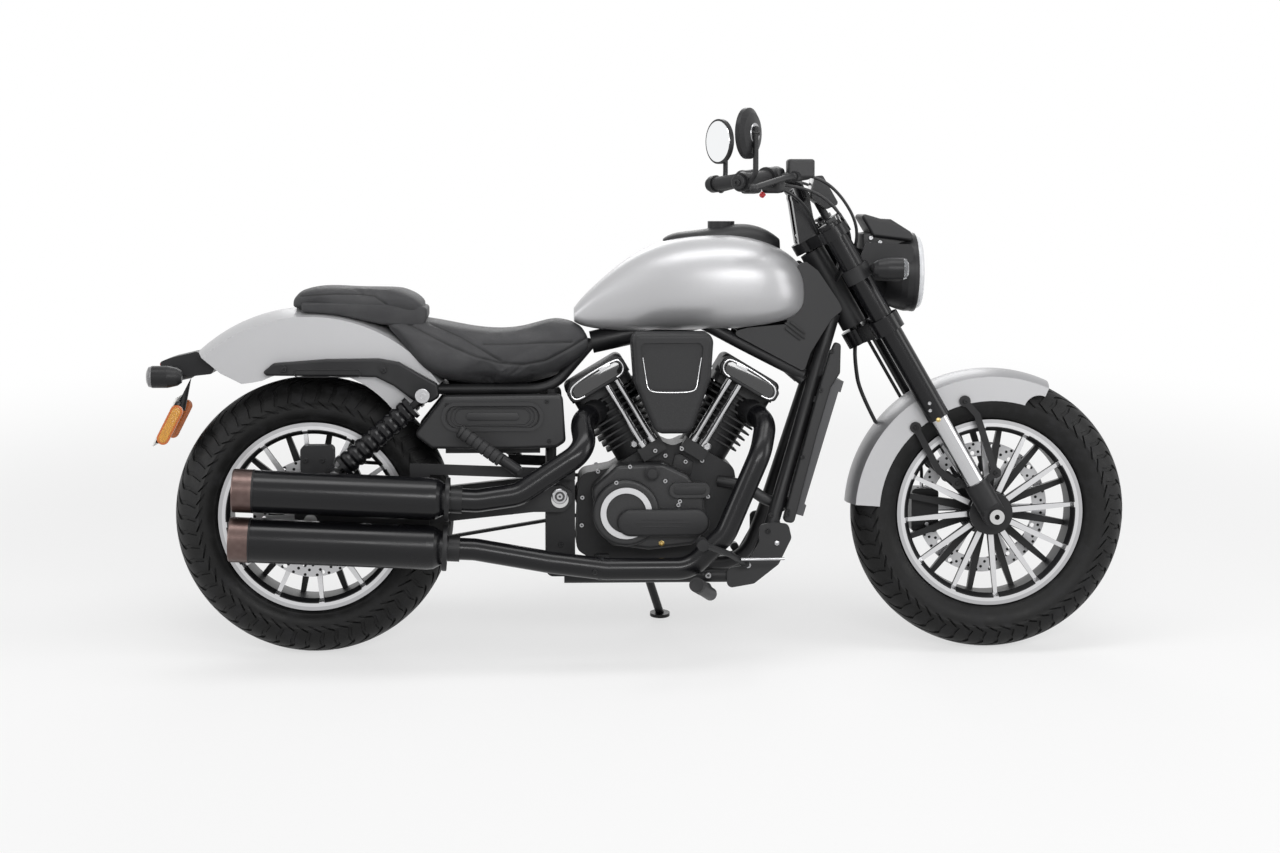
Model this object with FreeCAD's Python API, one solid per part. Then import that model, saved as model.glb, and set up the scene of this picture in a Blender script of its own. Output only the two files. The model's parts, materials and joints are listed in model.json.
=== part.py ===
import FreeCAD, Part
import math
import os

# A cruiser motorcycle with a V engine, parked on its side stand.
# It is drawn upright first: X runs forward from the rear axle, Y to the rider's left, Z up from the road.
# At the end the whole machine leans to its left, onto the stand. Lengths are in millimetres.

V = FreeCAD.Vector
RIGHT, LEFT = -1, 1
SIDES = (RIGHT, LEFT)

# Whole machine
WHEELBASE = 1565.0
TYRE_RADIUS = 320.0
LEAN = 9.0
RAKE = 30.0
YOKE_OFFSET = 55.0

# Clearances
SEAT_GAP = 0.3
BEARING_GAP = 0.5
MOVING_GAP = 5.5
OVERRUN = 2.0

# Wheels and tyres
FRONT_TYRE_WIDTH = 130.0
FRONT_CROWN = 72.0
REAR_TYRE_WIDTH = 150.0
REAR_CROWN = 80.0
FLANGE_RADIUS = 217.0
BEAD_RADIUS = 204.0
RIM_BORE_RADIUS = 190.0
FLANGE_WALL = 6.0
FRONT_RIM_WIDTH = 96.0
REAR_RIM_WIDTH = 124.0
SIDEWALL_BULGE = 3.0
HUB_RADIUS = 50.0
HUB_WAIST_RADIUS = 34.0
HUB_FLANGE_WALL = 9.0
FRONT_HUB_WIDTH = 132.0
REAR_HUB_WIDTH = 162.0
SPOKE_COUNT = 12
SPOKE_ROOT = 17.0
SPOKE_TIP = 9.0
SPOKE_DEPTH = 13.0
SPOKE_INSET = 5.0
SPOKE_START_ANGLE = 5.0
BACK_SPOKE_ROOT = 22.0
BACK_SPOKE_TIP = 12.0
BACK_SPOKE_DEPTH = 16.0
DISC_WALL = 5.0
FRONT_DISC_RADIUS = 155.0
REAR_DISC_RADIUS = 135.0
DISC_BAND = 34.0
DISC_HOLE_RADIUS = 5.0
DISC_HOLES = 18
CARRIER_RADIUS = 62.0
CARRIER_ARMS = 6
CARRIER_ARM_WIDTH = 13.0
PULLEY_RADIUS = 112.0
PULLEY_WIDTH = 24.0
PULLEY_BAND = 16.0

# Axles
AXLE_RADIUS = 12.0
AXLE_BORE = 6.0
AXLE_NUT_RADIUS = 17.0
AXLE_NUT_WALL = 8.0
SPACER_RADIUS = 18.0
REAR_NUT_RADIUS = 15.0

# Front fork, measured along the legs from the axle
LEG_SPREAD = 105.0
INNER_LEG_RADIUS = 21.5
OUTER_LEG_RADIUS = 26.5
OUTER_LEG_BOTTOM = 262.0
LEG_OVERLAP = 55.0
LEG_TOP = 776.0
LEG_LIP = 4.0
FOOT_HALF_WIDTH = 21.0
FOOT_BOSS_RADIUS = 27.0
FOOT_SOCKET_RADIUS = 28.0
FOOT_SOCKET_TOP = 88.0
FOOT_TUBE_START = 40.0
LOWER_YOKE = 490.0
LOWER_YOKE_WALL = 38.0
UPPER_YOKE = 738.0
UPPER_YOKE_WALL = 26.0
YOKE_EAR = 37.0
YOKE_BAR = 44.0
STEM_RADIUS = 15.0
STEM_BEARING_RADIUS = 22.0
STEM_BEARING_WALL = 16.0
STEM_NUT_RADIUS = 20.0
STEM_NUT_WALL = 12.0
HEAD_TUBE_RADIUS = 30.0

# Front fender, angles from straight ahead of the front axle
FENDER_RADIUS = 334.0
FENDER_WALL = 3.0
FENDER_HALF_WIDTH = 75.0
FENDER_CROWN_RISE = 16.0
FENDER_SKIRT_RADIUS = 262.0
FENDER_NOSE_ANGLE = 66.0
FENDER_TAIL_ANGLE = 176.0
FENDER_NOSE_CUT = 70.0
STAY_WALL = 7.5
STAY_WIDTH = 15.0
STAY_EYE = 13.0
STAY_FOOT_SHARE = 0.8
FRONT_STAY_SHARES = ((-0.2, 0.785), (-0.115, 0.69), (-0.085, 0.6), (0.018, 0.288))
REAR_STAY_SHARES = ((-0.54, 0.604), (-0.505, 0.54), (-0.375, 0.3), (-0.245, 0.215))

# Handlebar and controls
BAR_RADIUS = 12.7
BAR_BEND = 70.0
BAR_CLAMP_SETBACK = 447.0
BAR_CLAMP_X = WHEELBASE - BAR_CLAMP_SETBACK
BAR_CLAMP_Z = 1050.0
BAR_FLAT = 75.0
BAR_KNEE_SETBACK = 467.0
BAR_KNEE_X = WHEELBASE - BAR_KNEE_SETBACK
BAR_KNEE_Y = 150.0
BAR_KNEE_Z = 1086.0
BAR_ELBOW_SETBACK = 517.0
BAR_ELBOW_X = WHEELBASE - BAR_ELBOW_SETBACK
BAR_ELBOW_Y = 258.0
BAR_ELBOW_Z = 1097.0
BAR_END_SETBACK = 615.0
BAR_END_X = WHEELBASE - BAR_END_SETBACK
BAR_END_Y = 400.0
BAR_END_Z = 1082.0
GRIP_RADIUS = 17.0
GRIP_LENGTH = 112.0
GRIP_FLANGE_RADIUS = 22.0
GRIP_FLANGE_WALL = 5.0
RISER_SPREAD = 42.0
RISER_FOOT = 46.0
CLAMP_RADIUS = 21.0
CLAMP_WIDTH = 34.0
PERCH_RADIUS = 22.0
PERCH_LENGTH = 34.0
SWITCH_RADIUS = 23.0
SWITCH_LENGTH = 42.0
LEVER_REACH = 52.0
LEVER_LENGTH = 178.0
LEVER_RADIUS = 6.5
LEVER_DROP = 10.0
LEVER_ARM_RADIUS = 8.5
RESERVOIR_LENGTH = 60.0
RESERVOIR_WIDTH = 44.0
RESERVOIR_HEIGHT = 42.0
RESERVOIR_SHIFT = 30.0
RESERVOIR_SINK = 6.0
MIRROR_RADIUS = 55.0
MIRROR_DEPTH = 22.0
MIRROR_RISE = 104.0
MIRROR_AHEAD = 8.0
MIRROR_YAW = 30.0
MIRROR_ARM_AHEAD = 34.0
MIRROR_ARM_RISE = 16.0
MIRROR_ARM_TOP = 118.0
MIRROR_ARM_BEND = 30.0
MIRROR_STALK_RADIUS = 6.0
MIRROR_PIVOT_RADIUS = 11.0
MIRROR_CLAMP_RADIUS = 21.0
MIRROR_CLAMP_LENGTH = 16.0
DISPLAY_SETBACK = 421.0
DISPLAY_Z = 1022.0
DISPLAY_LENGTH = 63.0
DISPLAY_HEIGHT = 78.0
DISPLAY_HALF_WIDTH = 54.0
DISPLAY_ROUND = 7.0
DISPLAY_SHARES = ((0.0, 0.34), (0.12, 0.98), (0.4, 1.0), (1.0, 0.16), (0.54, 0.0))
DISPLAY_POST_RADIUS = 9.0
DISPLAY_POST_AHEAD = 12.0
DISPLAY_POST_HEIGHT = 60.0

# Lamps and signals
LAMP_Z = 877.0
LAMP_BACK_SETBACK = 281.0
LAMP_BACK_X = WHEELBASE - LAMP_BACK_SETBACK
LAMP_RIM_SETBACK = 181.0
LAMP_RIM_X = WHEELBASE - LAMP_RIM_SETBACK
LAMP_RADIUS = 90.0
LAMP_WALL = 6.0
LAMP_DEPTH_SHARES = ((0.0, 0.0), (0.0, 0.42), (0.08, 0.58), (0.32, 0.82), (0.66, 0.96), (0.8, 1.0), (1.0, 1.0))
LENS_RADIUS = 83.0
LENS_RISE = 18.0
LENS_WALL = 6.0
EAR_WALL = 6.0
EAR_Z = 858.0
EAR_HEIGHT = 94.0
EAR_LENGTH = 130.0
EAR_ROUND = 8.0
EAR_SHARES = ((0.0, 0.05), (0.0, 0.42), (0.17, 0.95), (0.95, 0.9), (1.0, 0.8), (1.0, 0.5), (0.84, 0.34), (0.78, 0.0))
RING_WALL = 6.0
RING_LENGTH = 34.0
SIGNAL_Y = 172.0
SIGNAL_RADIUS = 25.0
SIGNAL_LENGTH = 78.0
SIGNAL_LENS_WALL = 12.0
SIGNAL_STALK_RADIUS = 9.0
FRONT_SIGNAL_SETBACK = 293.0
FRONT_SIGNAL_X = WHEELBASE - FRONT_SIGNAL_SETBACK
FRONT_SIGNAL_Z = 889.0
REAR_SIGNAL_X = -364.0
REAR_SIGNAL_Z = 647.0
REAR_SIGNAL_Y = 128.0
COWL_SETBACK = 314.0
COWL_X = WHEELBASE - COWL_SETBACK
COWL_Z = 949.0
COWL_LENGTH = 129.0
COWL_HEIGHT = 67.0
COWL_HALF_WIDTH = 66.0
COWL_ROUND = 14.0
COWL_SHARES = ((0.0, 1.0), (0.39, 0.78), (0.58, 0.76), (0.93, 0.34), (1.0, 0.13), (0.94, 0.0), (0.26, 0.16))

# Frame tubes
HEAD_BOTTOM = 534.0
HEAD_TOP = 732.0
BACKBONE_RADIUS = 26.0
BACKBONE_FRONT_Z = 838.0
BACKBONE_REAR_X = 640.0
BACKBONE_REAR_Z = 716.0
TUNNEL_GAP = 4.0
TUNNEL_HALF_WIDTH = 62.0
TUNNEL_REACH_SHARE = 0.2
CROSS_TUBE_Z = 424.0
CROSS_TUBE_RADIUS = 10.0
DOWNTUBE_RADIUS = 16.5
DOWNTUBE_TOP_SETBACK = 368.0
DOWNTUBE_TOP_X = WHEELBASE - DOWNTUBE_TOP_SETBACK
DOWNTUBE_TOP_Y = 34.0
DOWNTUBE_TOP_Z = 782.0
CRADLE_Y = 105.0
CRADLE_FRONT_X = 1052.0
CRADLE_FRONT_Z = 310.0
CRADLE_CORNER_X = 1004.0
CRADLE_Z = 186.0
CRADLE_REAR_X = 640.0
CRADLE_BEND = 90.0
SEAT_POST_X = 545.0
SEAT_POST_BOTTOM_Z = 424.0
SEAT_POST_TOP_X = 547.0
SEAT_POST_BOTTOM_Y = 68.0
RAIL_RADIUS = 12.0
RAIL_Y = 78.5
RAIL_END_X = 286.0
RAIL_Z = 614.0
GUSSET_RADIUS = 11.5
GUSSET_TOP_X = 945.0
GUSSET_LOW_X = 1126.0
GUSSET_LOW_Z = 628.0
PIVOT_X = 564.0
PIVOT_Z = 367.0
PIVOT_RADIUS = 10.0
PIVOT_CAP_RADIUS = 19.5
PIVOT_CAP_WALL = 6.0
PLATE_Y = 104.0
PLATE_WALL = 9.5
PLATE_X = 533.0
PLATE_Z = 186.0
PLATE_LENGTH = 66.0
PLATE_HEIGHT = 254.0
PLATE_SHARES = ((0.0, 0.0), (1.0, 0.0), (1.0, 0.86), (0.86, 1.0), (0.3, 1.0), (0.0, 0.8))
PLATE_ROUND = 16.0

# Swingarm
ARM_Y = 114.0
ARM_WIDTH = 26.0
ARM_X = -36.0
ARM_Z = 292.0
ARM_REACH = 28.0
ARM_LENGTH = PIVOT_X + ARM_REACH - ARM_X
ARM_HEIGHT = 152.0
ARM_ROUND = 14.0
ARM_SHARES = ((0.0, 0.0), (0.16, 0.0), (0.86, 0.3), (0.97, 0.3), (1.0, 0.44), (1.0, 0.6), (0.96, 0.7),
              (0.84, 0.64), (0.25, 0.38), (0.18, 0.98), (0.12, 0.98), (0.08, 0.36), (0.0, 0.36))
ARM_CROSS_X = 452.0
ARM_CROSS_Z = 352.0
ARM_CROSS_RADIUS = 23.0

# Shocks
SHOCK_TOP_X = 257.0
SHOCK_TOP_Z = 602.0
SHOCK_LOW_X = 57.0
SHOCK_LOW_Z = 428.0
SHOCK_Y = 152.0
SHOCK_EYE_RADIUS = 15.0
SHOCK_EYE_WIDTH = 22.0
SHOCK_BOLT_RADIUS = 7.0
SHOCK_ROD_RADIUS = 8.0
SHOCK_BODY_RADIUS = 17.0
SHOCK_COLLAR_RADIUS = 27.0
SHOCK_COLLAR_WALL = 9.0
SPRING_RADIUS = 26.0
SPRING_BORE = 18.0
SPRING_COILS = 9
SPRING_START = 34.0
SPRING_END = 222.0
SPRING_WAIST_SHARE = 0.82

# Engine
CRANK_X = 824.0
CRANK_Z = 345.0
V_HALF_ANGLE = 31.0
CASE_X = 602.0
CASE_Z = 214.0
CASE_LENGTH = 372.0
CASE_HEIGHT = 290.0
CASE_HALF_WIDTH = 76.0
CASE_ROUND = 26.0
CASE_SHARES = ((0.0, 0.1), (0.12, 0.0), (0.8, 0.0), (0.97, 0.22), (1.0, 0.55), (0.976, 0.75), (0.69, 0.975),
               (0.597, 0.92), (0.505, 0.975), (0.218, 0.75), (0.02, 0.7))
MOUNT_X_SHARES = (0.16, 0.8)
MOUNT_LENGTH = 30.0
MOUNT_RISE = 20.0
BARREL_START = 116.0
BARREL_RADIUS = 57.0
FIN_START = 178.0
FIN_PITCH = 15.5
FIN_COUNT = 8
FIN_WALL = 4.0
FIN_HALF_LENGTH = 72.0
FIN_HALF_WIDTH = 66.0
FIN_ROUND = 20.0
FIN_TAPER = 2.0
HEAD_START = 296.0
HEAD_WALL = 20.0
ROCKER_HALF_LENGTH = 76.0
ROCKER_HALF_WIDTH = 62.0
ROCKER_WALL = 48.0
ROCKER_ROUND = 15.0
ROCKER_PANEL_DEPTH = 41.0
ROCKER_PANEL_CORNER = 9.0
ROCKER_PANEL_EDGE = 4.0
ROCKER_PANEL_SHARES = ((-1.0, 0.3), (-1.0, 0.7), (-0.82, 1.0), (0.72, 1.0), (1.0, 0.62), (1.0, 0.2), (0.8, 0.0),
                       (-0.8, 0.0))
TAPPET_LENGTH = 60.0
PUSHROD_SHIFT = 26.0
PUSHROD_RADIUS = 7.0
PUSHROD_SPREAD = 26.0
PUSHROD_Y = 98.0
PUSHROD_COLLAR = 10.0
PUSHROD_COLLAR_WALL = 14.0
TAPPET_START = 122.0
TAPPET_HEIGHT = 152.0
PORT_RADIUS = 29.0
PORT_LEVEL = 276.0
PORT_START = 20.0
PORT_LENGTH = 76.0
PORT_TURN = 60.0

# Covers on the engine's sides
COVER_Y = 76.0
COVER_X = 636.0
COVER_Z = 250.0
COVER_LENGTH = 262.0
COVER_HEIGHT = 198.0
COVER_WALL = 72.0
COVER_ROUND = 24.0
COVER_EDGE = 9.0
COVER_SHARES = ((0.04, 0.3), (0.16, 0.06), (0.5, 0.0), (0.9, 0.06), (1.0, 0.26), (0.98, 0.6), (0.84, 0.86),
                (0.62, 1.0), (0.22, 0.98), (0.0, 0.72))
CLUTCH_X = 714.0
CLUTCH_Z = 337.0
CLUTCH_RADIUS = 76.0
CLUTCH_WALL = 18.0
CLUTCH_EDGE = 8.0
CLUTCH_RING_RADIUS = 59.0
CLUTCH_RING_BORE = 45.0
CLUTCH_RING_WALL = 5.0
STADIUM_X = 798.0
STADIUM_Z = 316.0
STADIUM_LENGTH = 208.0
STADIUM_HEIGHT = 60.0
STADIUM_WALL = 34.0
STADIUM_EDGE = 6.0
SMALL_STADIUM_X = 858.0
SMALL_STADIUM_Z = 388.0
SMALL_STADIUM_LENGTH = 92.0
SMALL_STADIUM_HEIGHT = 34.0
SMALL_STADIUM_WALL = 14.0
FILLER_X = 773.0
FILLER_Z = 427.0
FILLER_RADIUS = 14.0
FILLER_WALL = 16.0
LEFT_COVER_X = 856.0
LEFT_COVER_Z = 330.0
LEFT_COVER_RADIUS = 92.0
LEFT_COVER_WALL = 48.0
SPROCKET_X = 652.0
SPROCKET_Z = 352.0
SPROCKET_RADIUS = 38.0
SPROCKET_COVER_RADIUS = 51.0
SPROCKET_COVER_WALL = 40.0

# Intake and air cleaner
CLEANER_X = 724.0
CLEANER_Z = 520.0
CLEANER_LENGTH = 185.0
CLEANER_HEIGHT = 227.0
CLEANER_Y = 104.0
CLEANER_DEPTH = 100.0
CLEANER_ROUND = 26.0
CLEANER_EDGE = 12.0
CLEANER_SHARES = ((0.0, 0.93), (0.06, 1.0), (0.94, 1.0), (1.0, 0.93), (0.97, 0.55), (0.73, 0.0), (0.3, 0.0),
                  (0.04, 0.5))
CLEANER_RECESS_SHARES = ((0.1, 0.9), (0.88, 0.9), (0.83, 0.5), (0.76, 0.43), (0.25, 0.43), (0.17, 0.5))
CLEANER_RECESS_DEPTH = 6.0
THROTTLE_X = 822.0
THROTTLE_Z = 640.0
THROTTLE_RADIUS = 32.0
INTAKE_RADIUS = 22.0
INTAKE_HEIGHT = 560.0

# Exhaust
HEADER_RADIUS = 25.0
REAR_HEADER_RADIUS = 26.0
HEADER_BEND = 75.0
HEADER_Y = 196.0
MUFFLER_Y = 207.0
HEADER_LEAD = 60.0
PORT_REACH = 44.0
REAR_HEADER_X = 622.0
REAR_HEADER_Z = 484.0
REAR_HEADER_LOW_X = 470.0
REAR_HEADER_LOW_Z = 385.0
HEADER_LOW_Z = 214.0
FRONT_HEADER_ROUTE = ((1018.0, HEADER_Y - 16.0, 476.0), (936.0, HEADER_Y, 290.0), (856.0, HEADER_Y, HEADER_LOW_Z),
                      (664.0, HEADER_Y, HEADER_LOW_Z), (540.0, MUFFLER_Y, 232.0))
UPPER_MUFFLER_RADIUS = 48.0
LOWER_MUFFLER_RADIUS = 50.0
UPPER_FRONT_X = 318.0
UPPER_FRONT_Z = 375.0
UPPER_REAR_X = -166.0
UPPER_REAR_Z = 398.0
LOWER_FRONT_X = 312.0
LOWER_FRONT_Z = 265.0
LOWER_REAR_X = -175.0
LOWER_REAR_Z = 288.0
MUFFLER_NECK = 40.0
MUFFLER_LIP = 6.0
TIP_LENGTH = 43.0
TIP_BORE = 30.0
TIP_DEPTH = 60.0
CLAMP_BAND = 26.0
CLAMP_BAND_WALL = 4.0
HANGER_X = 225.0
HANGER_WIDTH = 44.0
HANGER_WALL = 6.0
HANGER_HEIGHT = 24.0
HANGER_SLOPE_SHARE = 0.04
HANGER_BOLT_X = 578.0
HANGER_BOLT_RADIUS = 7.0

# Radiator
RADIATOR_HALF_WIDTH = 97.0
RADIATOR_WALL = 32.0
RADIATOR_LOW_X = 1088.0
RADIATOR_LOW_Z = 330.0
RADIATOR_HIGH_X = 1180.0
RADIATOR_HIGH_Z = 640.0
RADIATOR_TANK_HEIGHT = 26.0
RADIATOR_BULGE = 5.0
RADIATOR_TAB_SHARES = (0.16, 0.8)
RADIATOR_TAB_WIDTH = 40.0
RADIATOR_TAB_DEPTH = 16.0
SHROUD_Y = 97.5
SHROUD_WALL = 22.0
SHROUD_X = 1074.0
SHROUD_Z = 305.0
SHROUD_LENGTH = 132.0
SHROUD_HEIGHT = 416.0
SHROUD_ROUND = 10.0
SHROUD_EDGE = 5.0
SHROUD_SHARES = ((0.0, 0.01), (0.2, 0.0), (0.6, 0.5), (0.83, 0.75), (0.99, 0.83), (1.0, 0.99), (0.9, 1.0),
                 (0.8, 0.93), (0.6, 0.72))
NECK_Y = 66.0
NECK_WALL = 8.0
NECK_SETBACK = 608.0
NECK_X = WHEELBASE - NECK_SETBACK
NECK_Z = 651.0
NECK_LENGTH = 257.0
NECK_HEIGHT = 266.0
NECK_ROUND = 8.0
NECK_SHARES = ((0.6, 0.92), (0.67, 0.95), (0.78, 0.87), (0.97, 0.6), (1.0, 0.53), (0.9, 0.45), (0.72, 0.17),
               (0.66, 0.0), (0.0, 0.34), (0.15, 0.38), (0.5, 0.41))
CORNER_WALL = 7.0
CORNER_X = 946.0
CORNER_Z = 158.0
CORNER_LENGTH = 148.0
CORNER_HEIGHT = 152.0
CORNER_ROUND = 12.0
CORNER_SHARES = ((0.0, 0.0), (0.42, 0.07), (0.8, 0.36), (1.0, 0.76), (0.95, 0.97), (0.72, 1.0), (0.5, 0.96),
                 (0.5, 0.7), (0.3, 0.36), (0.0, 0.3))

# Tank
TANK_X = 600.0
TANK_NOSE_SETBACK = 427.0
TANK_Z = 742.0
TANK_LENGTH = WHEELBASE - TANK_NOSE_SETBACK - TANK_X
TANK_HEIGHT = 224.0
TANK_HALF_WIDTH = 148.0
TANK_FULLNESS = 0.74
TANK_WAIST_SHARE = 0.44
TANK_STATION_SHARES = (
    (0.0, 0.1, 0.24, 0.28), (0.045, 0.05, 0.37, 0.36), (0.12, 0.02, 0.54, 0.46), (0.25, 0.0, 0.78, 0.64),
    (0.4, 0.0, 0.94, 0.84), (0.56, 0.01, 1.0, 0.97), (0.72, 0.03, 0.99, 1.0), (0.86, 0.08, 0.88, 0.88),
    (0.95, 0.14, 0.73, 0.62), (1.0, 0.24, 0.56, 0.36))
CONSOLE_X = 806.0
CONSOLE_Z = 900.0
CONSOLE_LENGTH = 268.0
CONSOLE_HEIGHT = 88.0
CONSOLE_HALF_WIDTH = 62.0
CONSOLE_FULLNESS = 0.7
CONSOLE_STATION_SHARES = (
    (0.0, 0.0, 0.62, 0.4), (0.1, 0.0, 0.77, 0.72), (0.36, 0.0, 0.88, 1.0), (0.72, 0.0, 1.0, 1.0),
    (0.92, 0.0, 0.8, 0.8), (1.0, 0.0, 0.62, 0.5))
CAP_RADIUS = 31.0
CAP_X = 940.0
CAP_RISE = 7.0

# Seats
SEAT_X = 166.0
SEAT_Z = RAIL_Z + RAIL_RADIUS + SEAT_GAP
SEAT_LENGTH = 468.0
SEAT_HEIGHT = 150.0
SEAT_HALF_WIDTH = 142.0
SEAT_FULLNESS = 0.62
SEAT_STATION_SHARES = (
    (0.0, 0.9, 0.96, 0.62), (0.09, 0.6, 0.97, 0.8), (0.27, 0.03, 0.93, 0.95), (0.42, 0.0, 0.84, 1.0),
    (0.56, 0.0, 0.8, 0.98), (0.72, 0.02, 0.87, 0.84), (0.84, 0.12, 0.97, 0.66), (0.93, 0.3, 0.94, 0.55),
    (1.0, 0.52, 0.74, 0.46))
PILLION_X = -49.0
PILLION_Z = 748.0
PILLION_LENGTH = 312.0
PILLION_HEIGHT = 95.0
PILLION_HALF_WIDTH = 98.0
PILLION_STATION_SHARES = (
    (0.0, 0.42, 0.7, 0.6), (0.05, 0.38, 0.86, 0.78), (0.16, 0.36, 0.99, 0.9), (0.5, 0.33, 1.0, 1.0),
    (0.7, 0.32, 0.99, 1.0), (0.86, 0.31, 0.94, 1.0), (0.95, 0.31, 0.82, 0.96), (1.0, 0.34, 0.6, 0.88))

# Side covers
SIDE_COVER_Y = 112.0
SIDE_COVER_WALL = 38.0
SIDE_COVER_X = 234.0
SIDE_COVER_Z = 481.0
SIDE_COVER_LENGTH = 344.0
SIDE_COVER_HEIGHT = 124.0
SIDE_COVER_ROUND = 13.0
SIDE_COVER_EDGE = 8.0
SIDE_COVER_SHARES = ((0.2, 0.98), (0.98, 1.0), (1.0, 0.14), (0.94, 0.03), (0.55, 0.0), (0.12, 0.02),
                     (0.0, 0.28))
EMBOSS_X = 412.0
EMBOSS_Z = 556.0
EMBOSS_LENGTH = 230.0
EMBOSS_HEIGHT = 66.0
EMBOSS_RISE = 6.0
EMBOSS_RIM = 8.0
BOX_X = 305.0
BOX_Z = 470.0
BOX_LENGTH = 215.0

# Rear fender, its crown an arc about its own centre
REAR_FENDER_X = -3.0
REAR_FENDER_Z = 420.0
REAR_FENDER_RADIUS = 380.0
REAR_FENDER_HALF_WIDTH = 95.0
REAR_FENDER_WALL = 4.0
REAR_FENDER_RISE = 20.0
REAR_FENDER_FRONT_ANGLE = 35.0
REAR_FENDER_TAIL_ANGLE = 133.0
REAR_FENDER_SKIRT = 240.0
REAR_FENDER_CUT_X = -262.0
REAR_FENDER_CUT_Z = 566.0
REAR_FENDER_CUT_LENGTH = 590.0
REAR_FENDER_CUT_HEIGHT = 138.0
REAR_FENDER_CUT_SHARES = ((-0.2, 1.0), (0.0, 0.98), (0.1, 0.62), (0.18, 0.45), (0.22, 0.47), (0.28, 0.52),
                          (0.57, 0.56), (0.66, 0.4), (0.76, 0.0), (1.2, 0.5), (1.2, -3.0), (-0.2, -3.0))
STRUT_Y = 95.3
STRUT_WALL = 26.0
STRUT_X = -106.0
STRUT_Z = 586.0
STRUT_LENGTH = 398.0
STRUT_HEIGHT = 100.0
STRUT_ROUND = 9.0
STRUT_EDGE = 6.0
STRUT_SHARES = ((0.0, 0.7), (0.06, 0.9), (0.36, 0.99), (0.66, 1.0), (0.77, 0.92), (0.99, 0.42), (1.0, 0.12),
                (0.95, 0.0), (0.86, 0.02), (0.74, 0.38), (0.64, 0.58), (0.42, 0.6), (0.02, 0.62))
STRUT_BOLT_RADIUS = 8.0
STRUT_BOLT_SHARES = ((0.115, 0.78), (0.68, 0.78), (0.9, 0.24))
STRUT_BOLT_RISE = 4.0

# Tail
TAIL_X = -360.0
TAIL_Z = 642.0
TAIL_LENGTH = 146.0
TAIL_HEIGHT = 57.0
TAIL_HALF_WIDTH = 46.0
TAIL_ROUND = 8.0
TAIL_SHARES = ((0.0, 0.5), (0.3, 0.78), (0.67, 1.0), (1.0, 0.6), (0.9, 0.1), (0.55, 0.0))
TAIL_LENS_WALL = 16.0
HOLDER_X = -352.0
HOLDER_Z = 496.0
HOLDER_LENGTH = 78.0
HOLDER_HEIGHT = 150.0
HOLDER_HALF_WIDTH = 22.0
HOLDER_SHARES = ((0.0, 0.02), (0.12, 0.0), (0.62, 0.72), (0.9, 1.0), (0.5, 1.0), (0.3, 0.74))
NUMBER_PLATE_WIDTH = 178.0
NUMBER_PLATE_HEIGHT = 122.0
NUMBER_PLATE_WALL = 3.0
NUMBER_PLATE_TILT = 27.0
NUMBER_PLATE_X = -330.0
NUMBER_PLATE_Z = 540.0
PLATE_HOLE_SPREAD = 140.0
PLATE_HOLE_RADIUS = 3.2
REFLECTOR_LENGTH = 86.0
REFLECTOR_HEIGHT = 22.0
REFLECTOR_WALL = 8.0

# Brakes
CALIPER_GAP = 5.2
FRONT_CALIPER_X = -137.0
FRONT_CALIPER_Z = -6.0
FRONT_CALIPER_LENGTH = 64.0
FRONT_CALIPER_HEIGHT = 104.0
CALIPER_INNER = 12.0
CALIPER_OUTER = 24.0
CALIPER_ROUND = 12.0
CALIPER_TANG = 26.0
REAR_CALIPER_X = 14.0
REAR_CALIPER_Z = 456.0
REAR_CALIPER_LENGTH = 76.0
REAR_CALIPER_HEIGHT = 64.0

# Drive belt on the left
BELT_WALL = 7.0
BELT_WIDTH = 18.0
BELT_GAP = 1.0

# Pegs and pedals
PEG_X = 901.0
PEG_Z = 160.0
PEG_ARM_RADIUS = 10.0
PEG_Y = 226.0
PEG_END_X = 862.0
PEG_END_Y = 332.0
PEG_END_Z = 197.0
PEG_RADIUS = 15.0
PEG_HINGE_RADIUS = 13.0
PEDAL_X = 985.0
PEDAL_Z = 219.0
PEDAL_Y = 152.0
PEDAL_KNEE_X = 944.0
PEDAL_KNEE_Z = 250.0
PEDAL_END_X = 878.0
PEDAL_END_Z = 282.0
PEDAL_END_Y = 292.0
PEDAL_RADIUS = 7.0
PEDAL_PAD_RADIUS = 13.0
PEDAL_PAD_LENGTH = 50.0
BACK_PEG_X = 470.0
BACK_PEG_Z = 436.0
BACK_PEG_Y = 178.0
BACK_PEG_TIP_X = 338.0
BACK_PEG_TIP_Z = 529.0
BACK_PEG_RADIUS = 13.0
BACK_PEG_ARM_RADIUS = 9.0

# Side stand on the left, and the pin that carries it
STAND_X = 760.0
STAND_Z = 203.5
STAND_LUG_RADIUS = 17.0
STAND_LUG_WALL = 12.0
STAND_PIN_RADIUS = 7.0
STAND_EYE_RADIUS = 18.0
STAND_EYE_WALL = 22.0
STAND_STANDOFF = 11.5
STAND_AXIS_LEAN = 33.3
STAND_FOOT_X = 812.0
STAND_FOOT_Y = 242.0
STAND_LEG_RADIUS = 10.0
STAND_FOOT_RADIUS = 24.0
STAND_FOOT_WALL = 8.0
STAND_SWING = 97.0

# Brake hose, from the bar to the front caliper, points chosen by hand along the left leg
HOSE_RADIUS = 4.0
HOSE_PORT = 12.0

RUN_SHARE = 0.45
END_RUN_SHARE = 0.9
SECTION_POINTS = 16
FULL_TURN = 360.0


def shares(table, x, z, length, height):
    return [V(x + a * length, 0, z + b * height) for a, b in table]


def polar(radius, angle):
    turn = math.radians(angle)
    return V(radius * math.cos(turn), 0, radius * math.sin(turn))


def rod(start, end, radius):
    return Part.makeCylinder(radius, start.distanceToPoint(end), start, end - start)


def pipe(start, end, radius, bore):
    return rod(start, end, radius).cut(rod(start, end, bore))


def cross_rod(x, z, radius, y_from, y_to):
    low, high = min(y_from, y_to), max(y_from, y_to)
    return rod(V(x, low, z), V(x, high, z), radius)


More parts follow.
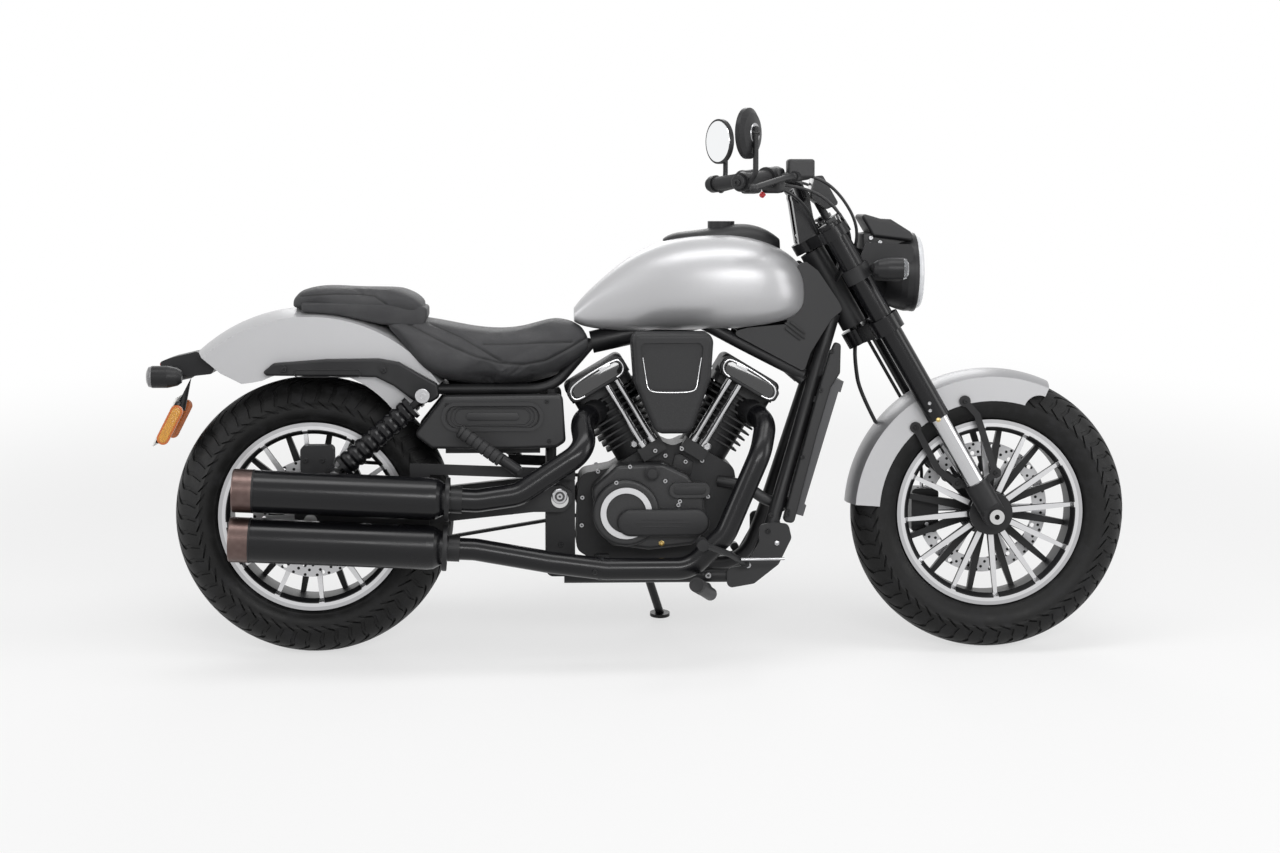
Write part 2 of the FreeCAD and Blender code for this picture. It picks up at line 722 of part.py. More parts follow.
def slab(x, y, z, length, width, height):
    return Part.makeBox(length, width, height, V(x, y, z))


def fused(pieces):
    return pieces[0].multiFuse(pieces[1:]).removeSplitter() if len(pieces) > 1 else pieces[0]


def rounded_edges(points, radius, closed=False):
    """Straight runs along the points, with a tangent arc at each corner."""
    count = len(points)
    corners = range(count) if closed else range(1, count - 1)
    ends = []
    for i in corners:
        here = points[i]
        back = points[i - 1] - here
        ahead = points[(i + 1) % count] - here
        half_turn = (math.pi - back.getAngle(ahead)) / 2
        back_share = END_RUN_SHARE if not closed and i == 1 else RUN_SHARE
        ahead_share = END_RUN_SHARE if not closed and i == count - 2 else RUN_SHARE
        reach = min(radius * math.tan(half_turn), back_share * back.Length, ahead_share * ahead.Length)
        bend = reach / math.tan(half_turn)
        back.normalize()
        ahead.normalize()
        inward = back + ahead
        inward.normalize()
        middle = here + inward * (bend / math.cos(half_turn) - bend)
        ends.append((here + back * reach, middle, here + ahead * reach))
    edges = []
    last = ends[-1][2] if closed else points[0]
    for start, middle, end in ends:
        edges.append(Part.LineSegment(last, start).toShape())
        edges.append(Part.Arc(start, middle, end).toShape())
        last = end
    if not closed:
        edges.append(Part.LineSegment(last, points[-1]).toShape())
    return edges


def bent_tube(points, radius, bend):
    path = Part.Wire(rounded_edges(points, bend))
    ring = Part.Wire(Part.makeCircle(radius, points[0], points[1] - points[0]))
    return path.makePipeShell([ring], True, False)


def plate(points, y_from, y_to, corner=0):
    if corner:
        outline = Part.Wire(rounded_edges(points, corner, closed=True))
    else:
        outline = Part.makePolygon(points + [points[0]])
    low, high = min(y_from, y_to), max(y_from, y_to)
    return Part.Face(outline).extrude(V(0, high - low, 0)).translated(V(0, low, 0))


def outer_edges(shape, y):
    """The edges of a flat side at this Y."""
    tolerance = SEAT_GAP / 10
    return [edge for edge in shape.Edges
            if abs(edge.BoundBox.YMin - y) < tolerance and abs(edge.BoundBox.YMax - y) < tolerance]


def soft_plate(points, y_inner, y_outer, corner, rim):
    """A moulded plate whose outer face has a rounded rim."""
    blank = plate(points, y_inner, y_outer, corner)
    return blank.makeFillet(rim, outer_edges(blank, y_outer))


def stadium(x, z, length, height, y_inner, y_outer, rim=0):
    half, radius = (length - height) / 2, height / 2
    bar = slab(x - half, min(y_inner, y_outer), z - radius, length - height, abs(y_outer - y_inner), height)
    ends = [cross_rod(x + way * half, z, radius, y_inner, y_outer) for way in (-1, 1)]
    shape = fused([bar] + ends)
    return shape.makeFillet(rim, outer_edges(shape, y_outer)) if rim else shape


def turned_y(profile, x, z):
    """A closed (y, radius) profile turned about a cross axis."""
    points = [V(radius, y, 0) for y, radius in profile]
    face = Part.Face(Part.makePolygon(points + [points[0]]))
    return face.revolve(V(0, 0, 0), V(0, 1, 0), FULL_TURN).translated(V(x, 0, z))


def turned_x(profile, y, z):
    """A closed (x, radius) profile turned about a lengthwise axis."""
    points = [V(x, 0, radius) for x, radius in profile]
    face = Part.Face(Part.makePolygon(points + [points[0]]))
    return face.revolve(V(0, 0, 0), V(1, 0, 0), FULL_TURN).translated(V(0, y, z))


def rounded_section(x, low, high, half, fullness, waist_share):
    waist = low + waist_share * (high - low)
    points = []
    for step in range(SECTION_POINTS):
        turn = 2 * math.pi * step / SECTION_POINTS
        across, up = math.cos(turn), math.sin(turn)
        reach = high - waist if up > 0 else waist - low
        y = half * math.copysign(abs(across) ** fullness, across)
        z = waist + reach * math.copysign(abs(up) ** fullness, up)
        points.append(V(x, y, z))
    curve = Part.BSplineCurve()
    curve.interpolate(Points=points, PeriodicFlag=True)
    return Part.Wire(curve.toShape())


def lofted_body(stations, x, z, length, height, half_width, fullness, waist_share):
    sections = [rounded_section(x + a * length, z + low * height, z + high * height, half * half_width,
                                fullness, waist_share) for a, low, high, half in stations]
    return Part.makeLoft(sections, True, False)


FRONT_CONTACT_SHIFT = REAR_CROWN * (1 - math.cos(math.radians(LEAN)))
FRONT_AXLE_Z = (TYRE_RADIUS - FRONT_CROWN
                + (FRONT_CROWN - FRONT_CONTACT_SHIFT) / math.cos(math.radians(LEAN)))
FORK = FreeCAD.Placement(V(WHEELBASE, 0, FRONT_AXLE_Z), FreeCAD.Rotation(V(0, 1, 0), -RAKE))


def on_fork(shape):
    """Takes a shape drawn along upright fork legs to the raked fork."""
    moved = shape.copy()
    moved.Placement = FORK.multiply(moved.Placement)
    return moved


def fork_point(x, y, z):
    return FORK.multVec(V(x, y, z))


def fork_height(x, z):
    """The distance up the fork of a point given upright."""
    return FORK.inverse().multVec(V(x, 0, z)).z


# Wheels, drawn about the origin with the axle along Y

def tyre(width, crown):
    half = width / 2
    shoulder = TYRE_RADIUS - crown + math.sqrt(crown ** 2 - half ** 2)
    bead = (FRONT_RIM_WIDTH if width == FRONT_TYRE_WIDTH else REAR_RIM_WIDTH) / 2 - FLANGE_WALL - SEAT_GAP
    lip = FLANGE_RADIUS + SEAT_GAP
    middle = (lip + shoulder) / 2
    seat = BEAD_RADIUS + SEAT_GAP

    def at(y, radius):
        return V(radius, y, 0)

    sides = []
    for way in (-1, 1):
        sides.append(Part.Arc(at(way * bead, lip), at(way * (half + SIDEWALL_BULGE), middle),
                              at(way * half, shoulder)).toShape())
        sides.append(Part.LineSegment(at(way * bead, seat), at(way * bead, lip)).toShape())
    tread = Part.Arc(at(-half, shoulder), at(0, TYRE_RADIUS), at(half, shoulder)).toShape()
    inner = Part.LineSegment(at(-bead, seat), at(bead, seat)).toShape()
    outline = Part.Wire(Part.__sortEdges__(sides + [tread, inner]))
    return Part.Face(outline).revolve(V(0, 0, 0), V(0, 1, 0), FULL_TURN)


def rim(width):
    half = width / 2
    wall = FLANGE_WALL
    profile = [(-half, FLANGE_RADIUS), (wall - half, FLANGE_RADIUS), (wall - half, BEAD_RADIUS),
               (half - wall, BEAD_RADIUS), (half - wall, FLANGE_RADIUS), (half, FLANGE_RADIUS),
               (half, BEAD_RADIUS - wall), (half - wall * 2, RIM_BORE_RADIUS),
               (wall * 2 - half, RIM_BORE_RADIUS), (-half, BEAD_RADIUS - wall)]
    return turned_y(profile, 0, 0)


def hub(width):
    half = width / 2
    bore = AXLE_RADIUS + BEARING_GAP
    profile = [(-half, bore), (-half, HUB_RADIUS), (HUB_FLANGE_WALL - half, HUB_RADIUS),
               (HUB_FLANGE_WALL * 2 - half, HUB_WAIST_RADIUS), (half - HUB_FLANGE_WALL * 2, HUB_WAIST_RADIUS),
               (half - HUB_FLANGE_WALL, HUB_RADIUS), (half, HUB_RADIUS), (half, bore)]
    return turned_y(profile, 0, 0)


def spoke(angle, root, tip, y_face, depth):
    """One cast arm from the hub to the rim, narrower at its tip."""
    start, end = HUB_WAIST_RADIUS - OVERRUN, RIM_BORE_RADIUS + OVERRUN
    points = [V(start, 0, -root / 2), V(end, 0, -tip / 2), V(end, 0, tip / 2), V(start, 0, root / 2)]
    blade = plate(points, y_face, y_face + depth)
    blade.rotate(V(0, 0, 0), V(0, 1, 0), -angle)
    return blade


def cast_wheel(rim_width, hub_width):
    half = rim_width / 2
    pitch = FULL_TURN / SPOKE_COUNT
    near = SPOKE_INSET + FLANGE_WALL - half
    far = half - SPOKE_INSET - FLANGE_WALL - BACK_SPOKE_DEPTH
    pieces = [rim(rim_width), hub(hub_width)]
    for number in range(SPOKE_COUNT):
        angle = SPOKE_START_ANGLE + number * pitch
        pieces.append(spoke(angle, SPOKE_ROOT, SPOKE_TIP, near, SPOKE_DEPTH))
        pieces.append(spoke(angle + pitch / 2, BACK_SPOKE_ROOT, BACK_SPOKE_TIP, far, BACK_SPOKE_DEPTH))
    return fused(pieces)


def brake_disc(radius, hub_width, side):
    """A drilled band on a six-armed carrier, seated on the hub's end."""
    seat = side * hub_width / 2
    outer = seat + side * DISC_WALL
    band = cross_rod(0, 0, radius, seat, outer).cut(cross_rod(0, 0, radius - DISC_BAND, seat, outer))
    middle = radius - DISC_BAND / 2
    holes = []
    for number in range(DISC_HOLES):
        spread = DISC_BAND / 4 * (-1 if number % 2 else 1)
        spot = polar(middle + spread, number * FULL_TURN / DISC_HOLES)
        holes.append(cross_rod(spot.x, spot.z, DISC_HOLE_RADIUS, seat, outer))
    band = band.cut(Part.makeCompound(holes))
    pieces = [band, cross_rod(0, 0, CARRIER_RADIUS, seat, outer)]
    low = min(seat, outer)
    for number in range(CARRIER_ARMS):
        arm = slab(0, low, -CARRIER_ARM_WIDTH / 2, radius - DISC_BAND + OVERRUN, DISC_WALL, CARRIER_ARM_WIDTH)
        arm.rotate(V(0, 0, 0), V(0, 1, 0), number * FULL_TURN / CARRIER_ARMS)
        pieces.append(arm)
    return fused(pieces).cut(cross_rod(0, 0, SPACER_RADIUS + MOVING_GAP, seat, outer))


def belt_pulley():
    seat = REAR_HUB_WIDTH / 2
    outer = seat + PULLEY_WIDTH
    band = cross_rod(0, 0, PULLEY_RADIUS, seat, outer)
    band = band.cut(cross_rod(0, 0, PULLEY_RADIUS - PULLEY_BAND, seat, outer))
    web_outer = seat + DISC_WALL * 2
    web = cross_rod(0, 0, PULLEY_RADIUS - PULLEY_BAND + OVERRUN, seat, web_outer)
    windows = []
    for number in range(CARRIER_ARMS):
        spot = polar((PULLEY_RADIUS - PULLEY_BAND + HUB_RADIUS) / 2, number * FULL_TURN / CARRIER_ARMS)
        windows.append(cross_rod(spot.x, spot.z, CARRIER_ARM_WIDTH, seat, web_outer))
    web = web.cut(Part.makeCompound(windows + [cross_rod(0, 0, SPACER_RADIUS + MOVING_GAP, seat, web_outer)]))
    return fused([band, web])


# Front fork, drawn upright with its axle at the origin

def outer_leg(side):
    y = side * LEG_SPREAD
    tube = rod(V(0, y, OUTER_LEG_BOTTOM), V(0, y, LEG_TOP), OUTER_LEG_RADIUS)
    top = tube.makeFillet(LEG_LIP, [e for e in tube.Edges if e.BoundBox.ZMin > LEG_TOP - SEAT_GAP])
    bore = rod(V(0, y, OUTER_LEG_BOTTOM), V(0, y, OUTER_LEG_BOTTOM + LEG_OVERLAP + SEAT_GAP),
               INNER_LEG_RADIUS + SEAT_GAP)
    return top.cut(bore)


def inner_leg(side):
    y = side * LEG_SPREAD
    return rod(V(0, y, FOOT_TUBE_START), V(0, y, OUTER_LEG_BOTTOM + LEG_OVERLAP), INNER_LEG_RADIUS)


def fork_foot(side):
    y = side * LEG_SPREAD
    boss = cross_rod(0, 0, FOOT_BOSS_RADIUS, y - FOOT_HALF_WIDTH, y + FOOT_HALF_WIDTH)
    socket = rod(V(0, y, 0), V(0, y, FOOT_SOCKET_TOP), FOOT_SOCKET_RADIUS)
    trim = slab(-FOOT_SOCKET_RADIUS, y - FOOT_HALF_WIDTH - FOOT_SOCKET_RADIUS, 0, 2 * FOOT_SOCKET_RADIUS,
                FOOT_SOCKET_RADIUS, FOOT_TUBE_START - FOOT_SOCKET_RADIUS / 2)
    bore = rod(V(0, y, FOOT_TUBE_START - SEAT_GAP), V(0, y, FOOT_SOCKET_TOP), INNER_LEG_RADIUS + SEAT_GAP)
    hole = cross_rod(0, 0, AXLE_RADIUS + SEAT_GAP, y - FOOT_SOCKET_RADIUS, y + FOOT_SOCKET_RADIUS)
    return fused([boss, socket]).cut(Part.makeCompound([bore, hole])).cut(trim)


def front_axle():
    """A hollow spindle with a spacer each side of the hub and a nut on each end."""
    reach = LEG_SPREAD + FOOT_HALF_WIDTH + FOOT_SOCKET_RADIUS - FOOT_HALF_WIDTH + SEAT_GAP
    inner = LEG_SPREAD - FOOT_SOCKET_RADIUS - SEAT_GAP
    pieces = [cross_rod(0, 0, AXLE_RADIUS, -reach - AXLE_NUT_WALL, reach + AXLE_NUT_WALL)]
    for side in SIDES:
        start = side * (FRONT_HUB_WIDTH / 2 + BEARING_GAP)
        pieces.append(cross_rod(0, 0, SPACER_RADIUS, start, side * inner))
        pieces.append(cross_rod(0, 0, AXLE_NUT_RADIUS, side * reach, side * (reach + AXLE_NUT_WALL)))
    bore = cross_rod(0, 0, AXLE_BORE, -reach - 2 * AXLE_NUT_WALL, reach + 2 * AXLE_NUT_WALL)
    return fused(pieces).cut(bore)


def yoke(level, wall):
    """A bridge between the legs and the stem."""
    pieces = [rod(V(-YOKE_OFFSET, 0, level), V(-YOKE_OFFSET, 0, level + wall), YOKE_EAR)]
    for side in SIDES:
        pieces.append(rod(V(0, side * LEG_SPREAD, level), V(0, side * LEG_SPREAD, level + wall), YOKE_EAR))
        run = V(YOKE_OFFSET, side * LEG_SPREAD, 0)
        across = V(-run.y, run.x, 0)
        across.normalize()
        across = across * (YOKE_BAR / 2)
        stem, leg = V(-YOKE_OFFSET, 0, level), V(0, side * LEG_SPREAD, level)
        corners = [stem - across, leg - across, leg + across, stem + across]
        pieces.append(Part.Face(Part.makePolygon(corners + [corners[0]])).extrude(V(0, 0, wall)))
    bores = [rod(V(0, side * LEG_SPREAD, level - OVERRUN), V(0, side * LEG_SPREAD, level + wall + OVERRUN),
                 OUTER_LEG_RADIUS + SEAT_GAP) for side in SIDES]
    return fused(pieces).cut(Part.makeCompound(bores))


def yokes_and_stem():
    top = UPPER_YOKE + UPPER_YOKE_WALL
    x = -YOKE_OFFSET
    pieces = [yoke(LOWER_YOKE, LOWER_YOKE_WALL), yoke(UPPER_YOKE, UPPER_YOKE_WALL),
              rod(V(x, 0, LOWER_YOKE), V(x, 0, top), STEM_RADIUS),
              rod(V(x, 0, top), V(x, 0, top + STEM_NUT_WALL), STEM_NUT_RADIUS)]
    for level in (HEAD_BOTTOM + STEM_BEARING_WALL / 4, HEAD_TOP - STEM_BEARING_WALL * 5 / 4):
        pieces.append(rod(V(x, 0, level), V(x, 0, level + STEM_BEARING_WALL), STEM_BEARING_RADIUS))
    return on_fork(fused(pieces))


def crowned_arch(radius, half, rise, wall, skirt, x, z, angle_from, angle_to):
    """A fender shell: a crowned band with straight skirts, turned about a cross axis."""
    outer = radius - rise
    inner_rise = radius - wall

    def at(y, r):
        return V(r, y, 0)

    edges = [Part.Arc(at(-half, outer), at(0, radius), at(half, outer)).toShape(),
             Part.LineSegment(at(half, outer), at(half, skirt)).toShape(),
             Part.LineSegment(at(half, skirt), at(half - wall, skirt)).toShape(),
             Part.LineSegment(at(half - wall, skirt), at(half - wall, outer - wall)).toShape(),
             Part.Arc(at(half - wall, outer - wall), at(0, inner_rise), at(wall - half, outer - wall)).toShape(),
             Part.LineSegment(at(wall - half, outer - wall), at(wall - half, skirt)).toShape(),
             Part.LineSegment(at(wall - half, skirt), at(-half, skirt)).toShape(),
             Part.LineSegment(at(-half, skirt), at(-half, outer)).toShape()]
    face = Part.Face(Part.Wire(edges))
    face.rotate(V(0, 0, 0), V(0, 1, 0), -angle_from)
    shell = face.revolve(V(0, 0, 0), V(0, 1, 0), angle_from - angle_to)
    return shell.translated(V(x, 0, z))


def front_fender():
    shell = crowned_arch(FENDER_RADIUS, FENDER_HALF_WIDTH, FENDER_CROWN_RISE, FENDER_WALL,
                         FENDER_SKIRT_RADIUS, 0, 0, FENDER_NOSE_ANGLE, FENDER_TAIL_ANGLE)
    nose = polar(FENDER_SKIRT_RADIUS, FENDER_NOSE_ANGLE)
    corner = cross_rod(nose.x, nose.z, FENDER_NOSE_CUT / 2, -FENDER_HALF_WIDTH * 2, FENDER_HALF_WIDTH * 2)
    return shell.cut(corner).translated(V(WHEELBASE, 0, FRONT_AXLE_Z))


def strap(points, width, y_from, y_to):
    """A flat bar that bends at each point, with round corners."""
    pieces = []
    for start, end in zip(points, points[1:]):
        across = (end - start).cross(V(0, 1, 0))
        across.normalize()
        across = across * (width / 2)
        pieces.append(plate([start + across, end + across, end - across, start - across], y_from, y_to))
    pieces += [cross_rod(point.x, point.z, width / 2, y_from, y_to) for point in points]
    return pieces


def fender_stays():
    """Forged arms each side, from the fork foot up to two eyes on the fender's skirt."""
    stays = []
    for side in SIDES:
        y_from = side * (FENDER_HALF_WIDTH + SEAT_GAP)
        y_to = y_from + side * STAY_WALL
        foot = fork_point(0, 0, FOOT_SOCKET_TOP * STAY_FOOT_SHARE)
        pieces = []
        for table in (FRONT_STAY_SHARES, REAR_STAY_SHARES):
            points = shares(table, WHEELBASE, FRONT_AXLE_Z, FENDER_RADIUS, FENDER_RADIUS)
            eye, boss = points[0], points[-1]
            pieces += strap(points + [foot], STAY_WIDTH, y_from, y_to)
            pieces += [cross_rod(spot.x, spot.z, STAY_EYE, y_from, y_to) for spot in (eye, boss)]
        stays.append(fused(pieces).cut(on_fork(fork_foot(side))))
    return stays


# Handlebar

def bar_points():
    right = [V(BAR_END_X, -BAR_END_Y, BAR_END_Z), V(BAR_ELBOW_X, -BAR_ELBOW_Y, BAR_ELBOW_Z),
             V(BAR_KNEE_X, -BAR_KNEE_Y, BAR_KNEE_Z), V(BAR_CLAMP_X, -BAR_FLAT, BAR_CLAMP_Z)]
    return right + [V(p.x, -p.y, p.z) for p in reversed(right)]


def grip_line(side):
    end = V(BAR_END_X, side * BAR_END_Y, BAR_END_Z)
    elbow = V(BAR_ELBOW_X, side * BAR_ELBOW_Y, BAR_ELBOW_Z)
    inward = elbow - end
    inward.normalize()
    return end, inward


def ahead_of(inward):
    """Level, square to the grip, and pointing forward."""
    forward = V(abs(inward.y), -math.copysign(inward.x, inward.y), 0)
    forward.normalize()
    return forward


def sleeve(side, start, length, radius):
    end, inward = grip_line(side)
    return pipe(end + inward * start, end + inward * (start + length), radius, BAR_RADIUS + SEAT_GAP)


def grips():
    shapes = []
    for side in SIDES:
        start = MIRROR_CLAMP_LENGTH + 2 * SEAT_GAP
        body = sleeve(side, start, GRIP_LENGTH, GRIP_RADIUS)
        flange = sleeve(side, start + GRIP_LENGTH - GRIP_FLANGE_WALL, GRIP_FLANGE_WALL, GRIP_FLANGE_RADIUS)
        shapes.append(fused([body, flange]))
    return shapes


def handlebar():
    return bent_tube(bar_points(), BAR_RADIUS, BAR_BEND)


def bar_risers():
    """Two posts on the upper yoke, each with a ring round the bar."""
    top = UPPER_YOKE + UPPER_YOKE_WALL
    clamp = FORK.inverse().multVec(V(BAR_CLAMP_X, 0, BAR_CLAMP_Z))
    shapes = []
    for side in SIDES:
        inner, outer = side * RISER_SPREAD - CLAMP_WIDTH / 2, side * RISER_SPREAD + CLAMP_WIDTH / 2
        post = plate([V(-YOKE_OFFSET - RISER_FOOT / 2, 0, top), V(-YOKE_OFFSET + RISER_FOOT / 2, 0, top),
                      V(clamp.x + CLAMP_RADIUS, 0, clamp.z), V(clamp.x - CLAMP_RADIUS, 0, clamp.z)], inner, outer)
        ring = cross_rod(clamp.x, clamp.z, CLAMP_RADIUS, inner, outer)
        bore = cross_rod(clamp.x, clamp.z, BAR_RADIUS + SEAT_GAP, inner - OVERRUN, outer + OVERRUN)
        shapes.append(on_fork(fused([post, ring]).cut(bore)))
    return shapes


def controls():
    """A perch with its lever and a switch housing on each side, and the brake's reservoir."""
    shapes = []
    for side in SIDES:
        end, inward = grip_line(side)
        start = MIRROR_CLAMP_LENGTH + GRIP_LENGTH + 4 * SEAT_GAP
        perch = sleeve(side, start, PERCH_LENGTH, PERCH_RADIUS)
        middle = end + inward * (start + PERCH_LENGTH / 2)
        outward = inward * -1
        forward = ahead_of(inward)
        pivot = middle + forward * LEVER_REACH
        arm = rod(middle + forward * (PERCH_RADIUS - OVERRUN), pivot, LEVER_ARM_RADIUS)
        tip = pivot + outward * LEVER_LENGTH - V(0, 0, LEVER_DROP)
        knee = pivot + outward * (LEVER_LENGTH / 4)
        blade = bent_tube([pivot, knee, tip], LEVER_RADIUS, LEVER_LENGTH / 3)
        ball = Part.makeSphere(LEVER_RADIUS * 1.4, tip)
        root = Part.makeSphere(LEVER_ARM_RADIUS, pivot)
        parts = [perch, arm, blade, ball, root]
        if side == RIGHT:
            parts.append(rod(pivot, pivot + inward * 2 * RESERVOIR_SHIFT, LEVER_ARM_RADIUS * 1.4))
            corner = pivot + inward * RESERVOIR_SHIFT - V(RESERVOIR_LENGTH / 2, RESERVOIR_WIDTH / 2, RESERVOIR_SINK)
            cup = slab(corner.x, corner.y, corner.z, RESERVOIR_LENGTH, RESERVOIR_WIDTH, RESERVOIR_HEIGHT)
            parts.append(cup.makeFillet(LEVER_RADIUS, cup.Edges))
        shapes.append(fused(parts))
    return shapes


def mirrors():
    """Round mirrors, turned towards the rider, on bent arms from a clamp on each end of the bar."""
    shapes = []
    for side in SIDES:
        end, inward = grip_line(side)
        clamp = sleeve(side, 0, MIRROR_CLAMP_LENGTH, MIRROR_CLAMP_RADIUS)
        middle = end + inward * (MIRROR_CLAMP_LENGTH / 2)
        forward = ahead_of(inward)
        foot = middle + forward * (MIRROR_CLAMP_RADIUS - OVERRUN)
        low = middle + forward * MIRROR_ARM_AHEAD + V(0, 0, MIRROR_ARM_RISE)
        high = low + V(0, 0, MIRROR_ARM_TOP - MIRROR_ARM_RISE)
        profile = [(0, 0), (0, MIRROR_RADIUS), (MIRROR_DEPTH * 0.45, MIRROR_RADIUS),
                   (MIRROR_DEPTH * 0.8, MIRROR_RADIUS * 0.8), (MIRROR_DEPTH, MIRROR_RADIUS * 0.4),
                   (MIRROR_DEPTH, 0)]
        shell = turned_x(profile, 0, 0)
        shell.rotate(V(0, 0, 0), V(0, 0, 1), side * MIRROR_YAW)
        head = middle + V(MIRROR_AHEAD, 0, MIRROR_RISE)
        pivot = head + V(math.cos(math.radians(MIRROR_YAW)), side * math.sin(math.radians(MIRROR_YAW)),
                         0) * MIRROR_DEPTH
        arm = bent_tube([foot, low, high], MIRROR_STALK_RADIUS, MIRROR_ARM_BEND)
        knuckle = rod(high - V(0, 0, MIRROR_STALK_RADIUS), pivot, MIRROR_PIVOT_RADIUS)
        shapes.append(fused([clamp, arm, knuckle, shell.translated(head)]))
    return shapes


def display():
    """The dial's housing on a short post from the upper yoke."""
    points = shares(DISPLAY_SHARES, WHEELBASE - DISPLAY_SETBACK, DISPLAY_Z, DISPLAY_LENGTH, DISPLAY_HEIGHT)
    body = plate(points, -DISPLAY_HALF_WIDTH, DISPLAY_HALF_WIDTH, DISPLAY_ROUND)
    top = UPPER_YOKE + UPPER_YOKE_WALL
    post = rod(V(DISPLAY_POST_AHEAD, 0, top), V(DISPLAY_POST_AHEAD, 0, top + DISPLAY_POST_HEIGHT),
               DISPLAY_POST_RADIUS)
    tongue = slab(-YOKE_OFFSET, -DISPLAY_POST_RADIUS * 1.5, top,
                  YOKE_OFFSET + DISPLAY_POST_AHEAD + DISPLAY_POST_RADIUS, DISPLAY_POST_RADIUS * 3,
                  DISPLAY_POST_RADIUS / 2)
    nut = rod(V(-YOKE_OFFSET, 0, 0), V(-YOKE_OFFSET, 0, LEG_TOP + YOKE_OFFSET), STEM_NUT_RADIUS + SEAT_GAP)
    return fused([body, on_fork(fused([post, tongue]).cut(nut))])


# Lamps

def headlamp_shell():
    length = LAMP_RIM_X - LAMP_BACK_X
    outer = [(LAMP_BACK_X + a * length, b * LAMP_RADIUS) for a, b in LAMP_DEPTH_SHARES]
    inner = [(LAMP_RIM_X, LENS_RADIUS + SEAT_GAP), (LAMP_RIM_X - length / 3, LENS_RADIUS + SEAT_GAP),
             (LAMP_RIM_X - length * 2 / 3, LAMP_RADIUS / 2), (LAMP_RIM_X - length * 2 / 3, 0)]
    return turned_x(outer + inner, 0, LAMP_Z)


def dome(radius, rise, wall, x, y, z, way):
    """A shallow clear dome of even wall, bulging along X."""
    ball = (radius ** 2 + rise ** 2) / (2 * rise)
    outer = Part.makeSphere(ball, V(rise - ball, 0, 0))
    inner = Part.makeSphere(ball - wall, V(rise - ball, 0, 0))
    stub = rod(V(-wall, 0, 0), V(0, 0, 0), radius).cut(rod(V(-wall, 0, 0), V(0, 0, 0), radius - wall))
    cap = outer.cut(inner).common(rod(V(0, 0, 0), V(2 * rise, 0, 0), radius))
    shape = fused([cap, stub])
    if way < 0:
        shape.rotate(V(0, 0, 0), V(0, 0, 1), 180)
    return shape.translated(V(x, y, z))


def headlamp_brackets():
    """A ring on each leg, with an ear to the lamp and a stalk to the signal."""
    level = fork_height(WHEELBASE - (LAMP_Z - FRONT_AXLE_Z) * math.tan(math.radians(RAKE)), LAMP_Z)
    shapes = []
    for side in SIDES:
        y = side * LEG_SPREAD
        low, high = V(0, y, level - RING_LENGTH / 2), V(0, y, level + RING_LENGTH / 2)
        bore = OUTER_LEG_RADIUS + SEAT_GAP
        ring = on_fork(rod(low, high, bore + RING_WALL))
        centre = fork_point(0, y, level)
        inner = side * (LAMP_RADIUS + SEAT_GAP)
        ear = plate(shares(EAR_SHARES, centre.x, EAR_Z, EAR_LENGTH, EAR_HEIGHT), inner,
                    inner + side * EAR_WALL, EAR_ROUND)
        stalk_x = FRONT_SIGNAL_X + SIGNAL_STALK_RADIUS
        stalk = cross_rod(stalk_x, FRONT_SIGNAL_Z, SIGNAL_STALK_RADIUS, inner + side * EAR_WALL / 2,
                          side * (SIGNAL_Y - SIGNAL_RADIUS * 0.6))
        body = fused([ring, ear, stalk])
        body = body.cut(on_fork(rod(low - V(0, 0, YOKE_OFFSET), high + V(0, 0, YOKE_OFFSET), bore)))
        shapes.append(body)
    return shapes


def signal(x, y, z, way):
    """A bullet lamp: a tapered body whose lens faces away along X."""
    tail = SIGNAL_LENGTH - SIGNAL_LENS_WALL
    profile = [(0, 0), (0, SIGNAL_RADIUS * 0.55), (SIGNAL_LENGTH * 0.12, SIGNAL_RADIUS * 0.8),
               (SIGNAL_LENGTH * 0.4, SIGNAL_RADIUS), (tail, SIGNAL_RADIUS), (tail, 0)]
    body = turned_x(profile, 0, 0)
    lens = turned_x([(tail + SEAT_GAP, 0), (tail + SEAT_GAP, SIGNAL_RADIUS - SEAT_GAP),
                     (SIGNAL_LENGTH - SIGNAL_LENS_WALL / 3, SIGNAL_RADIUS * 0.9),
                     (SIGNAL_LENGTH, SIGNAL_RADIUS * 0.6), (SIGNAL_LENGTH, 0)], 0, 0)
    for shape in (body, lens):
        if way < 0:
            shape.rotate(V(0, 0, 0), V(0, 0, 1), 180)
        shape.translate(V(x, y, z))
    return body, lens


def front_signals():
    pairs = [signal(FRONT_SIGNAL_X, side * SIGNAL_Y, FRONT_SIGNAL_Z, 1) for side in SIDES]
    bodies = [fused([bracket, pair[0]]) for bracket, pair in zip(headlamp_brackets(), pairs)]
    return bodies, [lens for body, lens in pairs]


def lamp_cowl():
    points = shares(COWL_SHARES, COWL_X, COWL_Z, COWL_LENGTH, COWL_HEIGHT)
    blank = plate(points, -COWL_HALF_WIDTH, COWL_HALF_WIDTH, COWL_ROUND / 2)
    for y in (-COWL_HALF_WIDTH, COWL_HALF_WIDTH):
        blank = blank.makeFillet(COWL_ROUND / 2, outer_edges(blank, y))
    room = rod(V(LAMP_BACK_X, 0, LAMP_Z), V(LAMP_RIM_X + COWL_LENGTH, 0, LAMP_Z), LAMP_RADIUS + SEAT_GAP)
    return blank.cut(room)


# Frame

def steering_axis_point(level):
    return fork_point(-YOKE_OFFSET, 0, level)


def backbone_line():
    top = steering_axis_point((HEAD_BOTTOM + HEAD_TOP) / 2)
    return top, V(BACKBONE_REAR_X, 0, BACKBONE_REAR_Z)


